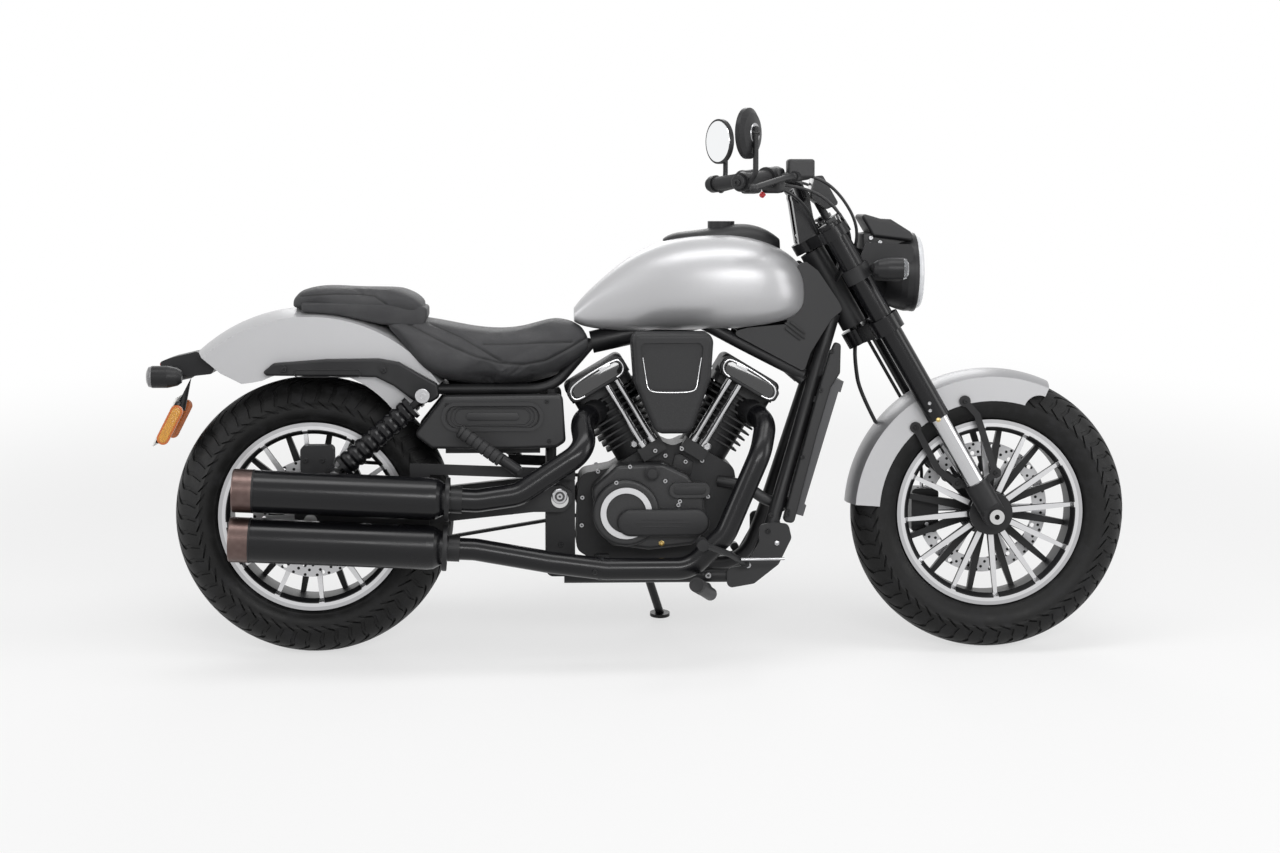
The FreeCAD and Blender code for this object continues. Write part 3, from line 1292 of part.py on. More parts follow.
def frame_side(side):
    """One side's cradle with its plates and mounts, then its rail, seat post and gusset tube."""
    y = side * CRADLE_Y
    rail_y = side * RAIL_Y
    top = V(DOWNTUBE_TOP_X, side * DOWNTUBE_TOP_Y, DOWNTUBE_TOP_Z)
    cradle = bent_tube([top, V(CRADLE_FRONT_X, y, CRADLE_FRONT_Z), V(CRADLE_CORNER_X, y, CRADLE_Z),
                        V(CRADLE_REAR_X - PLATE_LENGTH, y, CRADLE_Z)], DOWNTUBE_RADIUS, CRADLE_BEND)
    lug = plate(shares(PLATE_SHARES, PLATE_X, PLATE_Z, PLATE_LENGTH, PLATE_HEIGHT), side * PLATE_Y,
                side * (PLATE_Y + PLATE_WALL), PLATE_ROUND)
    front, rear = backbone_line()
    along = (GUSSET_TOP_X - rear.x) / (front.x - rear.x)
    gusset_top = V(GUSSET_TOP_X, side * BACKBONE_RADIUS / 2, rear.z + along * (front.z - rear.z))
    spread = (DOWNTUBE_TOP_Z - GUSSET_LOW_Z) / (DOWNTUBE_TOP_Z - CRADLE_FRONT_Z)
    gusset_low = V(GUSSET_LOW_X, side * (DOWNTUBE_TOP_Y + spread * (CRADLE_Y - DOWNTUBE_TOP_Y)), GUSSET_LOW_Z)
    post_top = V(SEAT_POST_TOP_X, rail_y, RAIL_Z)
    post = rod(V(SEAT_POST_X, side * SEAT_POST_BOTTOM_Y, CROSS_TUBE_Z), post_top, RAIL_RADIUS)
    rail = bent_tube([V(rear.x, side * RAIL_RADIUS, rear.z), post_top, V(RAIL_END_X, rail_y, RAIL_Z)],
                     RAIL_RADIUS, CRADLE_BEND)
    pieces = [cradle, lug]
    inner = side * (CASE_HALF_WIDTH + SEAT_GAP)
    for share in MOUNT_X_SHARES:
        x = CASE_X + share * CASE_LENGTH - MOUNT_LENGTH / 2
        pieces.append(slab(x, min(inner, y), CRADLE_Z, MOUNT_LENGTH, abs(y - inner),
                           CASE_Z - CRADLE_Z + MOUNT_RISE))
    if side == LEFT:
        pieces += stand_lug()
    return fused(pieces), rail, post, rod(gusset_top, gusset_low, GUSSET_RADIUS)


def stand_axis():
    """The stand's hinge line, tilted so that the leg tucks in beside the frame."""
    tilt = math.radians(STAND_AXIS_LEAN)
    return V(0, math.cos(tilt), math.sin(tilt))


def stand_pivot():
    return V(STAND_X, CRADLE_Y + DOWNTUBE_RADIUS + STAND_STANDOFF, STAND_Z)


def stand_lug():
    """The side stand's boss and pin, on the left cradle tube."""
    axis = stand_axis()
    pivot = stand_pivot()
    root = pivot - axis * (STAND_STANDOFF + DOWNTUBE_RADIUS)
    reach = axis * (STAND_EYE_WALL / 2 + SEAT_GAP)
    return [rod(root, pivot - reach, STAND_LUG_RADIUS), rod(root, pivot + reach, STAND_PIN_RADIUS),
            rod(pivot + reach, pivot + reach + axis * (STAND_PIN_RADIUS / 2), STAND_PIN_RADIUS * 1.5)]


def mitred(members):
    """Each member cut to fit against those before it, as tubes are before they are welded."""
    fitted = []
    for member in members:
        if fitted:
            member = max(member.cut(Part.makeCompound(fitted)).Solids, key=lambda solid: solid.Volume)
        fitted.append(member)
    return fitted


def frame():
    low, high = steering_axis_point(HEAD_BOTTOM), steering_axis_point(HEAD_TOP)
    reach = (high - low) * 0.1
    head = rod(low, high, HEAD_TUBE_RADIUS).cut(rod(low - reach, high + reach, STEM_BEARING_RADIUS + BEARING_GAP))
    pin = cross_rod(PIVOT_X, PIVOT_Z, PIVOT_RADIUS + SEAT_GAP, -CRADLE_Y * 2, CRADLE_Y * 2)
    plate_outer = PLATE_Y + PLATE_WALL
    cradles, rails, posts, gussets = zip(*[frame_side(side) for side in SIDES])
    front, rear = backbone_line()
    backbone = rod(front, rear, BACKBONE_RADIUS).cut(rod(low - reach, high + reach, HEAD_TUBE_RADIUS))
    crossing = [cross_rod(RAIL_END_X + RAIL_RADIUS, RAIL_Z, RAIL_RADIUS, -RAIL_Y, RAIL_Y),
                cross_rod(CRADLE_REAR_X - PLATE_LENGTH / 2, CRADLE_Z, RAIL_RADIUS, -CRADLE_Y, CRADLE_Y),
                cross_rod(SEAT_POST_X, CROSS_TUBE_Z, CROSS_TUBE_RADIUS, -plate_outer, plate_outer)]
    return mitred([head, backbone] + [cradle.cut(pin) for cradle in cradles] + list(rails) + list(posts)
                  + list(gussets) + crossing)


# Swingarm and rear suspension

def swingarm():
    points = shares(ARM_SHARES, ARM_X, ARM_Z, ARM_LENGTH, ARM_HEIGHT)
    pieces = [plate(points, side * ARM_Y, side * (ARM_Y + ARM_WIDTH), ARM_ROUND) for side in SIDES]
    pieces.append(cross_rod(ARM_CROSS_X, ARM_CROSS_Z, ARM_CROSS_RADIUS, -ARM_Y - OVERRUN, ARM_Y + OVERRUN))
    far = ARM_Y + 2 * ARM_WIDTH
    bores = [cross_rod(0, TYRE_RADIUS, AXLE_RADIUS + SEAT_GAP, -far, far),
             cross_rod(PIVOT_X, PIVOT_Z, PIVOT_RADIUS + SEAT_GAP, -far, far)]
    return fused(pieces).cut(Part.makeCompound(bores))


def swingarm_pivot():
    reach = ARM_Y + ARM_WIDTH + SEAT_GAP
    pieces = [cross_rod(PIVOT_X, PIVOT_Z, PIVOT_RADIUS, -reach - PIVOT_CAP_WALL, reach + PIVOT_CAP_WALL)]
    for side in SIDES:
        pieces.append(cross_rod(PIVOT_X, PIVOT_Z, PIVOT_CAP_RADIUS, side * reach,
                                side * (reach + PIVOT_CAP_WALL)))
    return fused(pieces)


def rear_axle():
    reach = ARM_Y + ARM_WIDTH + SEAT_GAP
    inner = ARM_Y - SEAT_GAP
    pieces = [cross_rod(0, TYRE_RADIUS, AXLE_RADIUS, -reach - AXLE_NUT_WALL, reach + AXLE_NUT_WALL)]
    for side in SIDES:
        start = side * (REAR_HUB_WIDTH / 2 + BEARING_GAP)
        pieces.append(cross_rod(0, TYRE_RADIUS, SPACER_RADIUS, start, side * inner))
        pieces.append(cross_rod(0, TYRE_RADIUS, REAR_NUT_RADIUS, side * reach, side * (reach + AXLE_NUT_WALL)))
    return fused(pieces)


def shock_frame(side):
    low, high = V(SHOCK_LOW_X, side * SHOCK_Y, SHOCK_LOW_Z), V(SHOCK_TOP_X, side * SHOCK_Y, SHOCK_TOP_Z)
    along = high - low
    length = along.Length
    along.normalize()
    return low, along, length


def shock_body(side):
    """The damper with its two eyes, its collars and the bolts through the eyes."""
    low, along, length = shock_frame(side)
    pieces = [rod(low, low + along * length, SHOCK_ROD_RADIUS),
              rod(low + along * SPRING_START, low + along * (SPRING_END - SPRING_START), SPRING_BORE - SEAT_GAP * 3)]
    for level in (SPRING_START - SHOCK_COLLAR_WALL - SEAT_GAP, SPRING_END + SEAT_GAP):
        pieces.append(rod(low + along * level, low + along * (level + SHOCK_COLLAR_WALL), SHOCK_COLLAR_RADIUS))
    half = SHOCK_EYE_WIDTH / 2
    seats = (ARM_Y + ARM_WIDTH + SEAT_GAP, STRUT_Y + STRUT_WALL + SEAT_GAP)
    for distance, seat in zip((0, length), seats):
        spot = low + along * distance
        pieces.append(cross_rod(spot.x, spot.z, SHOCK_EYE_RADIUS, spot.y - half, spot.y + half))
        pieces.append(cross_rod(spot.x, spot.z, SHOCK_BOLT_RADIUS, side * seat, spot.y + side * half * 1.5))
    return fused(pieces)


def shock_spring(side):
    """The coil's envelope, with a wave for each turn."""
    low, along, length = shock_frame(side)
    pitch = (SPRING_END - SPRING_START) / SPRING_COILS
    profile = [V(SPRING_BORE, 0, SPRING_START)]
    for coil in range(SPRING_COILS):
        base = SPRING_START + coil * pitch
        profile.append(V(SPRING_RADIUS * SPRING_WAIST_SHARE, 0, base))
        profile.append(V(SPRING_RADIUS, 0, base + pitch * 0.3))
        profile.append(V(SPRING_RADIUS, 0, base + pitch * 0.7))
    profile.append(V(SPRING_RADIUS * SPRING_WAIST_SHARE, 0, SPRING_END))
    profile.append(V(SPRING_BORE, 0, SPRING_END))
    spring = Part.Face(Part.makePolygon(profile + [profile[0]])).revolve(V(0, 0, 0), V(0, 0, 1), FULL_TURN)
    spring.Placement = FreeCAD.Placement(low, FreeCAD.Rotation(V(0, 0, 1), along))
    return spring


# Engine

def cylinder_place(way):
    """The placement of a cylinder whose bore runs up from the crank, leaning forward or back."""
    return FreeCAD.Placement(V(CRANK_X, 0, CRANK_Z), FreeCAD.Rotation(V(0, 1, 0), way * V_HALF_ANGLE))


def placed(shape, placement):
    moved = shape.copy()
    moved.Placement = placement.multiply(moved.Placement)
    return moved


def fin(level, shrink):
    half_length, half_width = FIN_HALF_LENGTH - shrink, FIN_HALF_WIDTH - shrink
    corners = [V(-half_length, -half_width, level), V(half_length, -half_width, level),
               V(half_length, half_width, level), V(-half_length, half_width, level)]
    return Part.Face(Part.Wire(rounded_edges(corners, FIN_ROUND, closed=True))).extrude(V(0, 0, FIN_WALL))


def port_line(way):
    """The exhaust port's start and end, out of the head's side and away from the V."""
    turn = math.radians(PORT_TURN)
    start = V(way * PORT_START, -PORT_START, PORT_LEVEL)
    return start, start + V(way * math.cos(turn), -math.sin(turn), 0) * PORT_LENGTH


def finned_cylinder(way):
    """Barrel, cooling fins and head on one bore, with the exhaust's port on the outer side."""
    pieces = [rod(V(0, 0, BARREL_START), V(0, 0, HEAD_START), BARREL_RADIUS)]
    for number in range(FIN_COUNT):
        pieces.append(fin(FIN_START + number * FIN_PITCH, FIN_TAPER * max(0, 3 - number)))
    head = slab(-FIN_HALF_LENGTH, -FIN_HALF_WIDTH, HEAD_START, 2 * FIN_HALF_LENGTH, 2 * FIN_HALF_WIDTH, HEAD_WALL)
    pieces.append(head.makeFillet(FIN_ROUND, [e for e in head.Edges if e.Length < HEAD_WALL + SEAT_GAP
                                              and abs(e.BoundBox.ZLength - HEAD_WALL) < SEAT_GAP]))
    start, end = port_line(way)
    pieces.append(rod(start, end, PORT_RADIUS))
    return placed(fused(pieces), cylinder_place(way))


def rocker_cover(way):
    """The cover on the head, with the raised six-sided panel on its right."""
    level = HEAD_START + HEAD_WALL
    half_length, half_width = ROCKER_HALF_LENGTH, ROCKER_HALF_WIDTH
    body = slab(-half_length, -half_width, level, 2 * half_length, 2 * half_width, ROCKER_WALL)
    edges = [e for e in body.Edges if abs(e.BoundBox.ZLength - ROCKER_WALL) < SEAT_GAP
             or e.BoundBox.ZMin > level + ROCKER_WALL - SEAT_GAP]
    outline = shares(ROCKER_PANEL_SHARES, 0, level, way * half_length, ROCKER_WALL)
    face = -half_width - ROCKER_PANEL_DEPTH
    panel = plate(outline, face, ROCKER_ROUND - half_width, ROCKER_PANEL_CORNER)
    panel = panel.makeFillet(ROCKER_PANEL_EDGE, outer_edges(panel, face))
    return placed(fused([body.makeFillet(ROCKER_ROUND, edges), panel]), cylinder_place(way))


def crankcase():
    points = shares(CASE_SHARES, CASE_X, CASE_Z, CASE_LENGTH, CASE_HEIGHT)
    body = plate(points, -CASE_HALF_WIDTH, CASE_HALF_WIDTH, CASE_ROUND)
    tappets = []
    for way in (-1, 1):
        outer = -PUSHROD_Y - PUSHROD_COLLAR
        block = slab(-way * PUSHROD_SHIFT - TAPPET_LENGTH / 2, outer, TAPPET_START, TAPPET_LENGTH,
                     -outer - BARREL_RADIUS, TAPPET_HEIGHT - TAPPET_START)
        tappets.append(placed(block, cylinder_place(way)))
    room = [placed(rod(V(0, 0, BARREL_START - SEAT_GAP), V(0, 0, HEAD_START * 2), BARREL_RADIUS + SEAT_GAP),
                   cylinder_place(way)) for way in (-1, 1)]
    return fused([body] + tappets).cut(Part.makeCompound(room))


def pushrod_tubes():
    shapes = []
    for way in (-1, 1):
        for number in (-0.5, 0.5):
            x = -way * PUSHROD_SHIFT + number * PUSHROD_SPREAD
            y = -PUSHROD_Y
            low, high = TAPPET_HEIGHT + SEAT_GAP, HEAD_START + HEAD_WALL - SEAT_GAP
            tube = fused([rod(V(x, y, low), V(x, y, high), PUSHROD_RADIUS),
                          rod(V(x, y, low), V(x, y, low + PUSHROD_COLLAR_WALL), PUSHROD_COLLAR)])
            shapes.append(placed(tube, cylinder_place(way)))
    return shapes


def right_cover():
    """The clutch side: a stepped cover with its round, long and small raised lids."""
    seat = -COVER_Y - SEAT_GAP
    outer = seat - COVER_WALL
    points = shares(COVER_SHARES, COVER_X, COVER_Z, COVER_LENGTH, COVER_HEIGHT)
    base = soft_plate(points, seat, outer, COVER_ROUND, COVER_EDGE)
    clutch = cross_rod(CLUTCH_X, CLUTCH_Z, CLUTCH_RADIUS, outer + OVERRUN, outer - CLUTCH_WALL)
    clutch = clutch.makeFillet(CLUTCH_EDGE, outer_edges(clutch, outer - CLUTCH_WALL))
    ring_face = outer - CLUTCH_WALL - CLUTCH_RING_WALL
    ring = cross_rod(CLUTCH_X, CLUTCH_Z, CLUTCH_RING_RADIUS, outer, ring_face)
    ring = ring.cut(cross_rod(CLUTCH_X, CLUTCH_Z, CLUTCH_RING_BORE, outer - CLUTCH_WALL, ring_face))
    long_lid = stadium(STADIUM_X, STADIUM_Z, STADIUM_LENGTH, STADIUM_HEIGHT, outer + OVERRUN,
                       outer - STADIUM_WALL, STADIUM_EDGE)
    long_lid = long_lid.cut(cross_rod(CLUTCH_X, CLUTCH_Z, CLUTCH_RADIUS - CLUTCH_EDGE, outer,
                                      outer - 2 * STADIUM_WALL))
    small_lid = stadium(SMALL_STADIUM_X, SMALL_STADIUM_Z, SMALL_STADIUM_LENGTH, SMALL_STADIUM_HEIGHT,
                        outer + OVERRUN + COVER_EDGE, outer - SMALL_STADIUM_WALL)
    filler = cross_rod(FILLER_X, FILLER_Z, FILLER_RADIUS, outer + OVERRUN, outer - FILLER_WALL)
    return fused([base, clutch, ring, long_lid, small_lid, filler])


def left_cover():
    """The generator's round cover and the belt sprocket behind its own cover."""
    seat = COVER_Y + SEAT_GAP
    drum = cross_rod(LEFT_COVER_X, LEFT_COVER_Z, LEFT_COVER_RADIUS, seat, seat + LEFT_COVER_WALL)
    drum = drum.makeFillet(COVER_ROUND / 2, outer_edges(drum, seat + LEFT_COVER_WALL))
    return drum


def sprocket_cover():
    seat = COVER_Y + SEAT_GAP
    belt_room = REAR_HUB_WIDTH / 2 + PULLEY_WIDTH + BELT_WALL
    outer = belt_room + SPROCKET_COVER_WALL / 2
    lid = cross_rod(SPROCKET_X, SPROCKET_Z, SPROCKET_COVER_RADIUS, belt_room, outer)
    lid = lid.makeFillet(COVER_EDGE, outer_edges(lid, outer))
    boss = cross_rod(SPROCKET_X, SPROCKET_Z, PIVOT_RADIUS, seat, belt_room + OVERRUN)
    toothed = cross_rod(SPROCKET_X, SPROCKET_Z, SPROCKET_RADIUS, seat, belt_room - BELT_WALL / 2)
    return fused([lid, boss, toothed])


def drive_belt():
    """The toothed belt round the engine's sprocket and the rear pulley, as one flat loop."""
    y_from = REAR_HUB_WIDTH / 2 + (PULLEY_WIDTH - BELT_WIDTH) / 2 + SEAT_GAP
    y_to = y_from + BELT_WIDTH
    small, large = V(SPROCKET_X, 0, SPROCKET_Z), V(0, 0, TYRE_RADIUS)

    def loop(gap):
        first, second = SPROCKET_RADIUS + gap, PULLEY_RADIUS + gap
        line = large - small
        heading = math.atan2(line.z, line.x)
        spread = math.acos((first - second) / line.Length)
        ends = []
        for way in (1, -1):
            angle = math.degrees(heading + way * spread)
            ends.append((small + polar(first, angle), large + polar(second, angle)))
        body = plate([ends[0][0], ends[0][1], ends[1][1], ends[1][0]], y_from, y_to)
        return fused([body, cross_rod(small.x, small.z, first, y_from, y_to),
                      cross_rod(large.x, large.z, second, y_from, y_to)])

    return loop(BELT_GAP + BELT_WALL).cut(loop(BELT_GAP))


def air_cleaner():
    points = shares(CLEANER_SHARES, CLEANER_X, CLEANER_Z, CLEANER_LENGTH, CLEANER_HEIGHT)
    outer = -CLEANER_Y - CLEANER_DEPTH
    body = soft_plate(points, -CLEANER_Y, outer, CLEANER_ROUND, CLEANER_EDGE)
    recess = plate(shares(CLEANER_RECESS_SHARES, CLEANER_X, CLEANER_Z, CLEANER_LENGTH, CLEANER_HEIGHT),
                   outer, outer + CLEANER_RECESS_DEPTH, CLEANER_ROUND / 2)
    return body.cut(recess)


def throttle_body():
    """The intake between the cylinders, feeding both, with its stub to the air cleaner."""
    pieces = [cross_rod(THROTTLE_X, THROTTLE_Z, THROTTLE_RADIUS, -CLEANER_Y + SEAT_GAP, ROCKER_HALF_WIDTH)]
    for way in (-1, 1):
        inner = cylinder_place(way).multVec(V(-way * BARREL_RADIUS, 0, INTAKE_HEIGHT / 2))
        pieces.append(rod(V(THROTTLE_X, 0, THROTTLE_Z), inner, INTAKE_RADIUS))
    body = fused(pieces)
    walls = [finned_cylinder(way) for way in (-1, 1)] + [rocker_cover(way) for way in (-1, 1)]
    return max(body.cut(Part.makeCompound(walls)).Solids, key=lambda solid: solid.Volume)


# Exhaust

def port_point(way, reach):
    start, end = port_line(way)
    ahead = end - start
    ahead.normalize()
    return cylinder_place(way).multVec(end + ahead * reach)


def muffler_line(front_x, front_z, rear_x, rear_z):
    return V(front_x, -MUFFLER_Y, front_z), V(rear_x, -MUFFLER_Y, rear_z)


UPPER_LINE = muffler_line(UPPER_FRONT_X, UPPER_FRONT_Z, UPPER_REAR_X, UPPER_REAR_Z)
LOWER_LINE = muffler_line(LOWER_FRONT_X, LOWER_FRONT_Z, LOWER_REAR_X, LOWER_REAR_Z)


def rear_header():
    neck = UPPER_LINE[0]
    ahead = (UPPER_LINE[0] - UPPER_LINE[1])
    ahead.normalize()
    start = port_point(-1, SEAT_GAP)
    return bent_tube([start, port_point(-1, PORT_REACH), V(REAR_HEADER_X, -HEADER_Y, REAR_HEADER_Z),
                      V(REAR_HEADER_LOW_X, -MUFFLER_Y, REAR_HEADER_LOW_Z), neck + ahead * HEADER_LEAD, neck - ahead * (MUFFLER_NECK - SEAT_GAP)],
                     REAR_HEADER_RADIUS, HEADER_BEND)


def front_header():
    neck = LOWER_LINE[0]
    ahead = (LOWER_LINE[0] - LOWER_LINE[1])
    ahead.normalize()
    route = [V(x, -y, z) for x, y, z in FRONT_HEADER_ROUTE]
    return bent_tube([port_point(1, SEAT_GAP), port_point(1, PORT_REACH)] + route
                     + [neck + ahead * HEADER_LEAD, neck - ahead * (MUFFLER_NECK - SEAT_GAP)], HEADER_RADIUS, HEADER_BEND)


def muffler(line, radius, header_radius):
    """A can with a tapered neck round the header and a rolled lip at the tail."""
    front, rear = line
    along = rear - front
    length = along.Length
    start = header_radius + SEAT_GAP
    profile = [(0, start), (0, start + CLAMP_BAND_WALL), (MUFFLER_NECK * 0.3, radius * 0.72),
               (MUFFLER_NECK * 0.8, radius * 0.96), (MUFFLER_NECK * 1.2, radius), (length - MUFFLER_LIP, radius),
               (length, radius - MUFFLER_LIP / 2), (length, TIP_BORE), (length - TIP_DEPTH, TIP_BORE),
               (length - TIP_DEPTH, 0), (MUFFLER_NECK, 0), (MUFFLER_NECK, start)]
    points = [V(r, 0, a) for a, r in profile]
    can = Part.Face(Part.makePolygon(points + [points[0]])).revolve(V(0, 0, 0), V(0, 0, 1), FULL_TURN)
    can.Placement = FreeCAD.Placement(front, FreeCAD.Rotation(V(0, 0, 1), along))
    return can


def clamp_band(line, radius):
    front, rear = line
    ahead = front - rear
    ahead.normalize()
    return pipe(front + ahead * SEAT_GAP, front + ahead * CLAMP_BAND, radius + SEAT_GAP + CLAMP_BAND_WALL,
                radius + SEAT_GAP)


def rear_hanger(side):
    """A strip bolted to the pivot plate for the passenger's peg; on the right it goes on to hang the cans."""
    inner = ARM_Y + ARM_WIDTH + 2 * SEAT_GAP
    outer = side * (inner + HANGER_WALL)
    end = HANGER_X if side == RIGHT else BACK_PEG_X - HANGER_HEIGHT
    front = PLATE_X + PLATE_LENGTH
    low, rise = CROSS_TUBE_Z - HANGER_HEIGHT / 2, (front - end) * HANGER_SLOPE_SHARE
    strip = plate([V(front, 0, low), V(front, 0, low + HANGER_HEIGHT), V(end, 0, low + HANGER_HEIGHT + rise),
                   V(end, 0, low + rise)], side * inner, outer)
    bolt = cross_rod(HANGER_BOLT_X, CROSS_TUBE_Z, HANGER_BOLT_RADIUS, side * (PLATE_Y + PLATE_WALL + SEAT_GAP),
                     outer + side * HANGER_WALL / 2)
    pieces = [strip, bolt]
    if side == LEFT:
        return fused(pieces)
    bottom = LOWER_FRONT_Z - LOWER_MUFFLER_RADIUS / 2
    pieces.append(slab(end, outer, bottom, HANGER_WIDTH, HANGER_WALL, low + rise + HANGER_HEIGHT / 2 - bottom))
    for z in (LOWER_FRONT_Z, UPPER_FRONT_Z):
        pieces.append(slab(end, -MUFFLER_Y, z - HANGER_WALL, HANGER_WIDTH, MUFFLER_Y + outer + OVERRUN,
                           2 * HANGER_WALL))
    cans = [rod(line[0] + (line[0] - line[1]) * HANGER_SLOPE_SHARE, line[1], radius + SEAT_GAP)
            for line, radius in ((UPPER_LINE, UPPER_MUFFLER_RADIUS), (LOWER_LINE, LOWER_MUFFLER_RADIUS))]
    return max(fused(pieces).cut(Part.makeCompound(cans)).Solids, key=lambda solid: solid.Volume)


# Radiator and front covers

def radiator(frame_shape):
    """The core with a header tank at each end, and four tabs that seat on the downtubes."""
    low, high = V(RADIATOR_LOW_X, 0, RADIATOR_LOW_Z), V(RADIATOR_HIGH_X, 0, RADIATOR_HIGH_Z)
    length = low.distanceToPoint(high)
    width = 2 * RADIATOR_HALF_WIDTH
    pieces = [slab(0, -RADIATOR_HALF_WIDTH, 0, RADIATOR_WALL, width, length)]
    for level in (0, length - RADIATOR_TANK_HEIGHT):
        pieces.append(slab(-RADIATOR_BULGE, -RADIATOR_HALF_WIDTH, level, RADIATOR_WALL + 2 * RADIATOR_BULGE, width,
                           RADIATOR_TANK_HEIGHT))
    for side in SIDES:
        for share in RADIATOR_TAB_SHARES:
            inner = RADIATOR_HALF_WIDTH - RADIATOR_TAB_WIDTH
            pieces.append(slab(-RADIATOR_TAB_DEPTH, min(side * inner, side * RADIATOR_HALF_WIDTH), share * length,
                               RADIATOR_TAB_DEPTH + OVERRUN, RADIATOR_TAB_WIDTH, RADIATOR_TANK_HEIGHT / 2))
    core = fused(pieces)
    core.Placement = FreeCAD.Placement(low, FreeCAD.Rotation(V(0, 0, 1), high - low))
    return max(core.cut(frame_shape).Solids, key=lambda solid: solid.Volume)


def side_pair(table, x, z, length, height, y, wall, corner, rim=0):
    shapes = []
    for side in SIDES:
        points = shares(table, x, z, length, height)
        if rim:
            shapes.append(soft_plate(points, side * y, side * (y + wall), corner, rim))
        else:
            shapes.append(plate(points, side * y, side * (y + wall), corner))
    return shapes


def radiator_shroud():
    return side_pair(SHROUD_SHARES, SHROUD_X, SHROUD_Z, SHROUD_LENGTH, SHROUD_HEIGHT, SHROUD_Y, SHROUD_WALL,
                     SHROUD_ROUND, SHROUD_EDGE)


def tank_form(gap):
    return lofted_body(TANK_STATION_SHARES, TANK_X - gap, TANK_Z - gap, TANK_LENGTH + 2 * gap,
                       TANK_HEIGHT + 2 * gap, TANK_HALF_WIDTH + gap, TANK_FULLNESS, TANK_WAIST_SHARE)


def neck_covers():
    room = tank_form(2 * SEAT_GAP)
    covers = side_pair(NECK_SHARES, NECK_X, NECK_Z, NECK_LENGTH, NECK_HEIGHT, NECK_Y, NECK_WALL, NECK_ROUND)
    return [max(cover.cut(room).Solids, key=lambda solid: solid.Volume) for cover in covers]


def corner_covers():
    return side_pair(CORNER_SHARES, CORNER_X, CORNER_Z, CORNER_LENGTH, CORNER_HEIGHT,
                     CRADLE_Y + DOWNTUBE_RADIUS + SEAT_GAP, CORNER_WALL, CORNER_ROUND)


# Tank, seats and rear bodywork

def tank():
    """The tank over a tunnel for the backbone and its gussets, its nose clear of the head tube."""
    front, rear = backbone_line()
    along = front - rear
    back, ahead = rear - along * TUNNEL_REACH_SHARE, front + along * TUNNEL_REACH_SHARE
    tunnel = rod(back, ahead, BACKBONE_RADIUS + TUNNEL_GAP)
    low = V(0, 0, TANK_HEIGHT)
    slot = plate([back - low, ahead - low, ahead, back], -TUNNEL_HALF_WIDTH, TUNNEL_HALF_WIDTH)
    head = rod(steering_axis_point(HEAD_BOTTOM), steering_axis_point(LEG_TOP), HEAD_TUBE_RADIUS + TUNNEL_GAP)
    body = tank_form(0).cut(Part.makeCompound([fused([tunnel, slot]), head]))
    return max(body.Solids, key=lambda solid: solid.Volume)


def console(tank_shape):
    body = lofted_body(CONSOLE_STATION_SHARES, CONSOLE_X, CONSOLE_Z, CONSOLE_LENGTH, CONSOLE_HEIGHT,
                       CONSOLE_HALF_WIDTH, CONSOLE_FULLNESS, TANK_WAIST_SHARE)
    cap = rod(V(CAP_X, 0, CONSOLE_Z), V(CAP_X, 0, CONSOLE_Z + CONSOLE_HEIGHT + CAP_RISE), CAP_RADIUS)
    return max(fused([body, cap]).cut(tank_shape).Solids, key=lambda solid: solid.BoundBox.ZMax)


def rear_fender_envelope(gap):
    """The fender's outer form, filled, and grown by a gap."""
    half = REAR_FENDER_HALF_WIDTH + gap
    outer = REAR_FENDER_RADIUS + gap
    edge = outer - REAR_FENDER_RISE

    def at(y, r):
        return V(r, y, 0)

    edges = [Part.Arc(at(-half, edge), at(0, outer), at(half, edge)).toShape(),
             Part.LineSegment(at(half, edge), at(half, 0)).toShape(),
             Part.LineSegment(at(half, 0), at(-half, 0)).toShape(),
             Part.LineSegment(at(-half, 0), at(-half, edge)).toShape()]
    face = Part.Face(Part.Wire(edges))
    return face.revolve(V(0, 0, 0), V(0, 1, 0), FULL_TURN).translated(V(REAR_FENDER_X, 0, REAR_FENDER_Z))


def rear_fender():
    shell = crowned_arch(REAR_FENDER_RADIUS, REAR_FENDER_HALF_WIDTH, REAR_FENDER_RISE, REAR_FENDER_WALL,
                         REAR_FENDER_SKIRT, REAR_FENDER_X, REAR_FENDER_Z, REAR_FENDER_FRONT_ANGLE,
                         REAR_FENDER_TAIL_ANGLE)
    cut = plate(shares(REAR_FENDER_CUT_SHARES, REAR_FENDER_CUT_X, REAR_FENDER_CUT_Z, REAR_FENDER_CUT_LENGTH,
                       REAR_FENDER_CUT_HEIGHT), -2 * REAR_FENDER_HALF_WIDTH, 2 * REAR_FENDER_HALF_WIDTH)
    return shell.cut(cut)


def rider_seat(tank_shape, frame_shape):
    body = lofted_body(SEAT_STATION_SHARES, SEAT_X, SEAT_Z, SEAT_LENGTH, SEAT_HEIGHT, SEAT_HALF_WIDTH,
                       SEAT_FULLNESS, TANK_WAIST_SHARE)
    body = body.cut(rear_fender_envelope(1.0)).cut(frame_shape).cut(tank_shape)
    return max(body.Solids, key=lambda solid: solid.Volume)


def pillion_seat():
    body = lofted_body(PILLION_STATION_SHARES, PILLION_X, PILLION_Z, PILLION_LENGTH, PILLION_HEIGHT,
                       PILLION_HALF_WIDTH, SEAT_FULLNESS, TANK_WAIST_SHARE)
    body = body.cut(rear_fender_envelope(1.0))
    return max(body.Solids, key=lambda solid: solid.Volume)


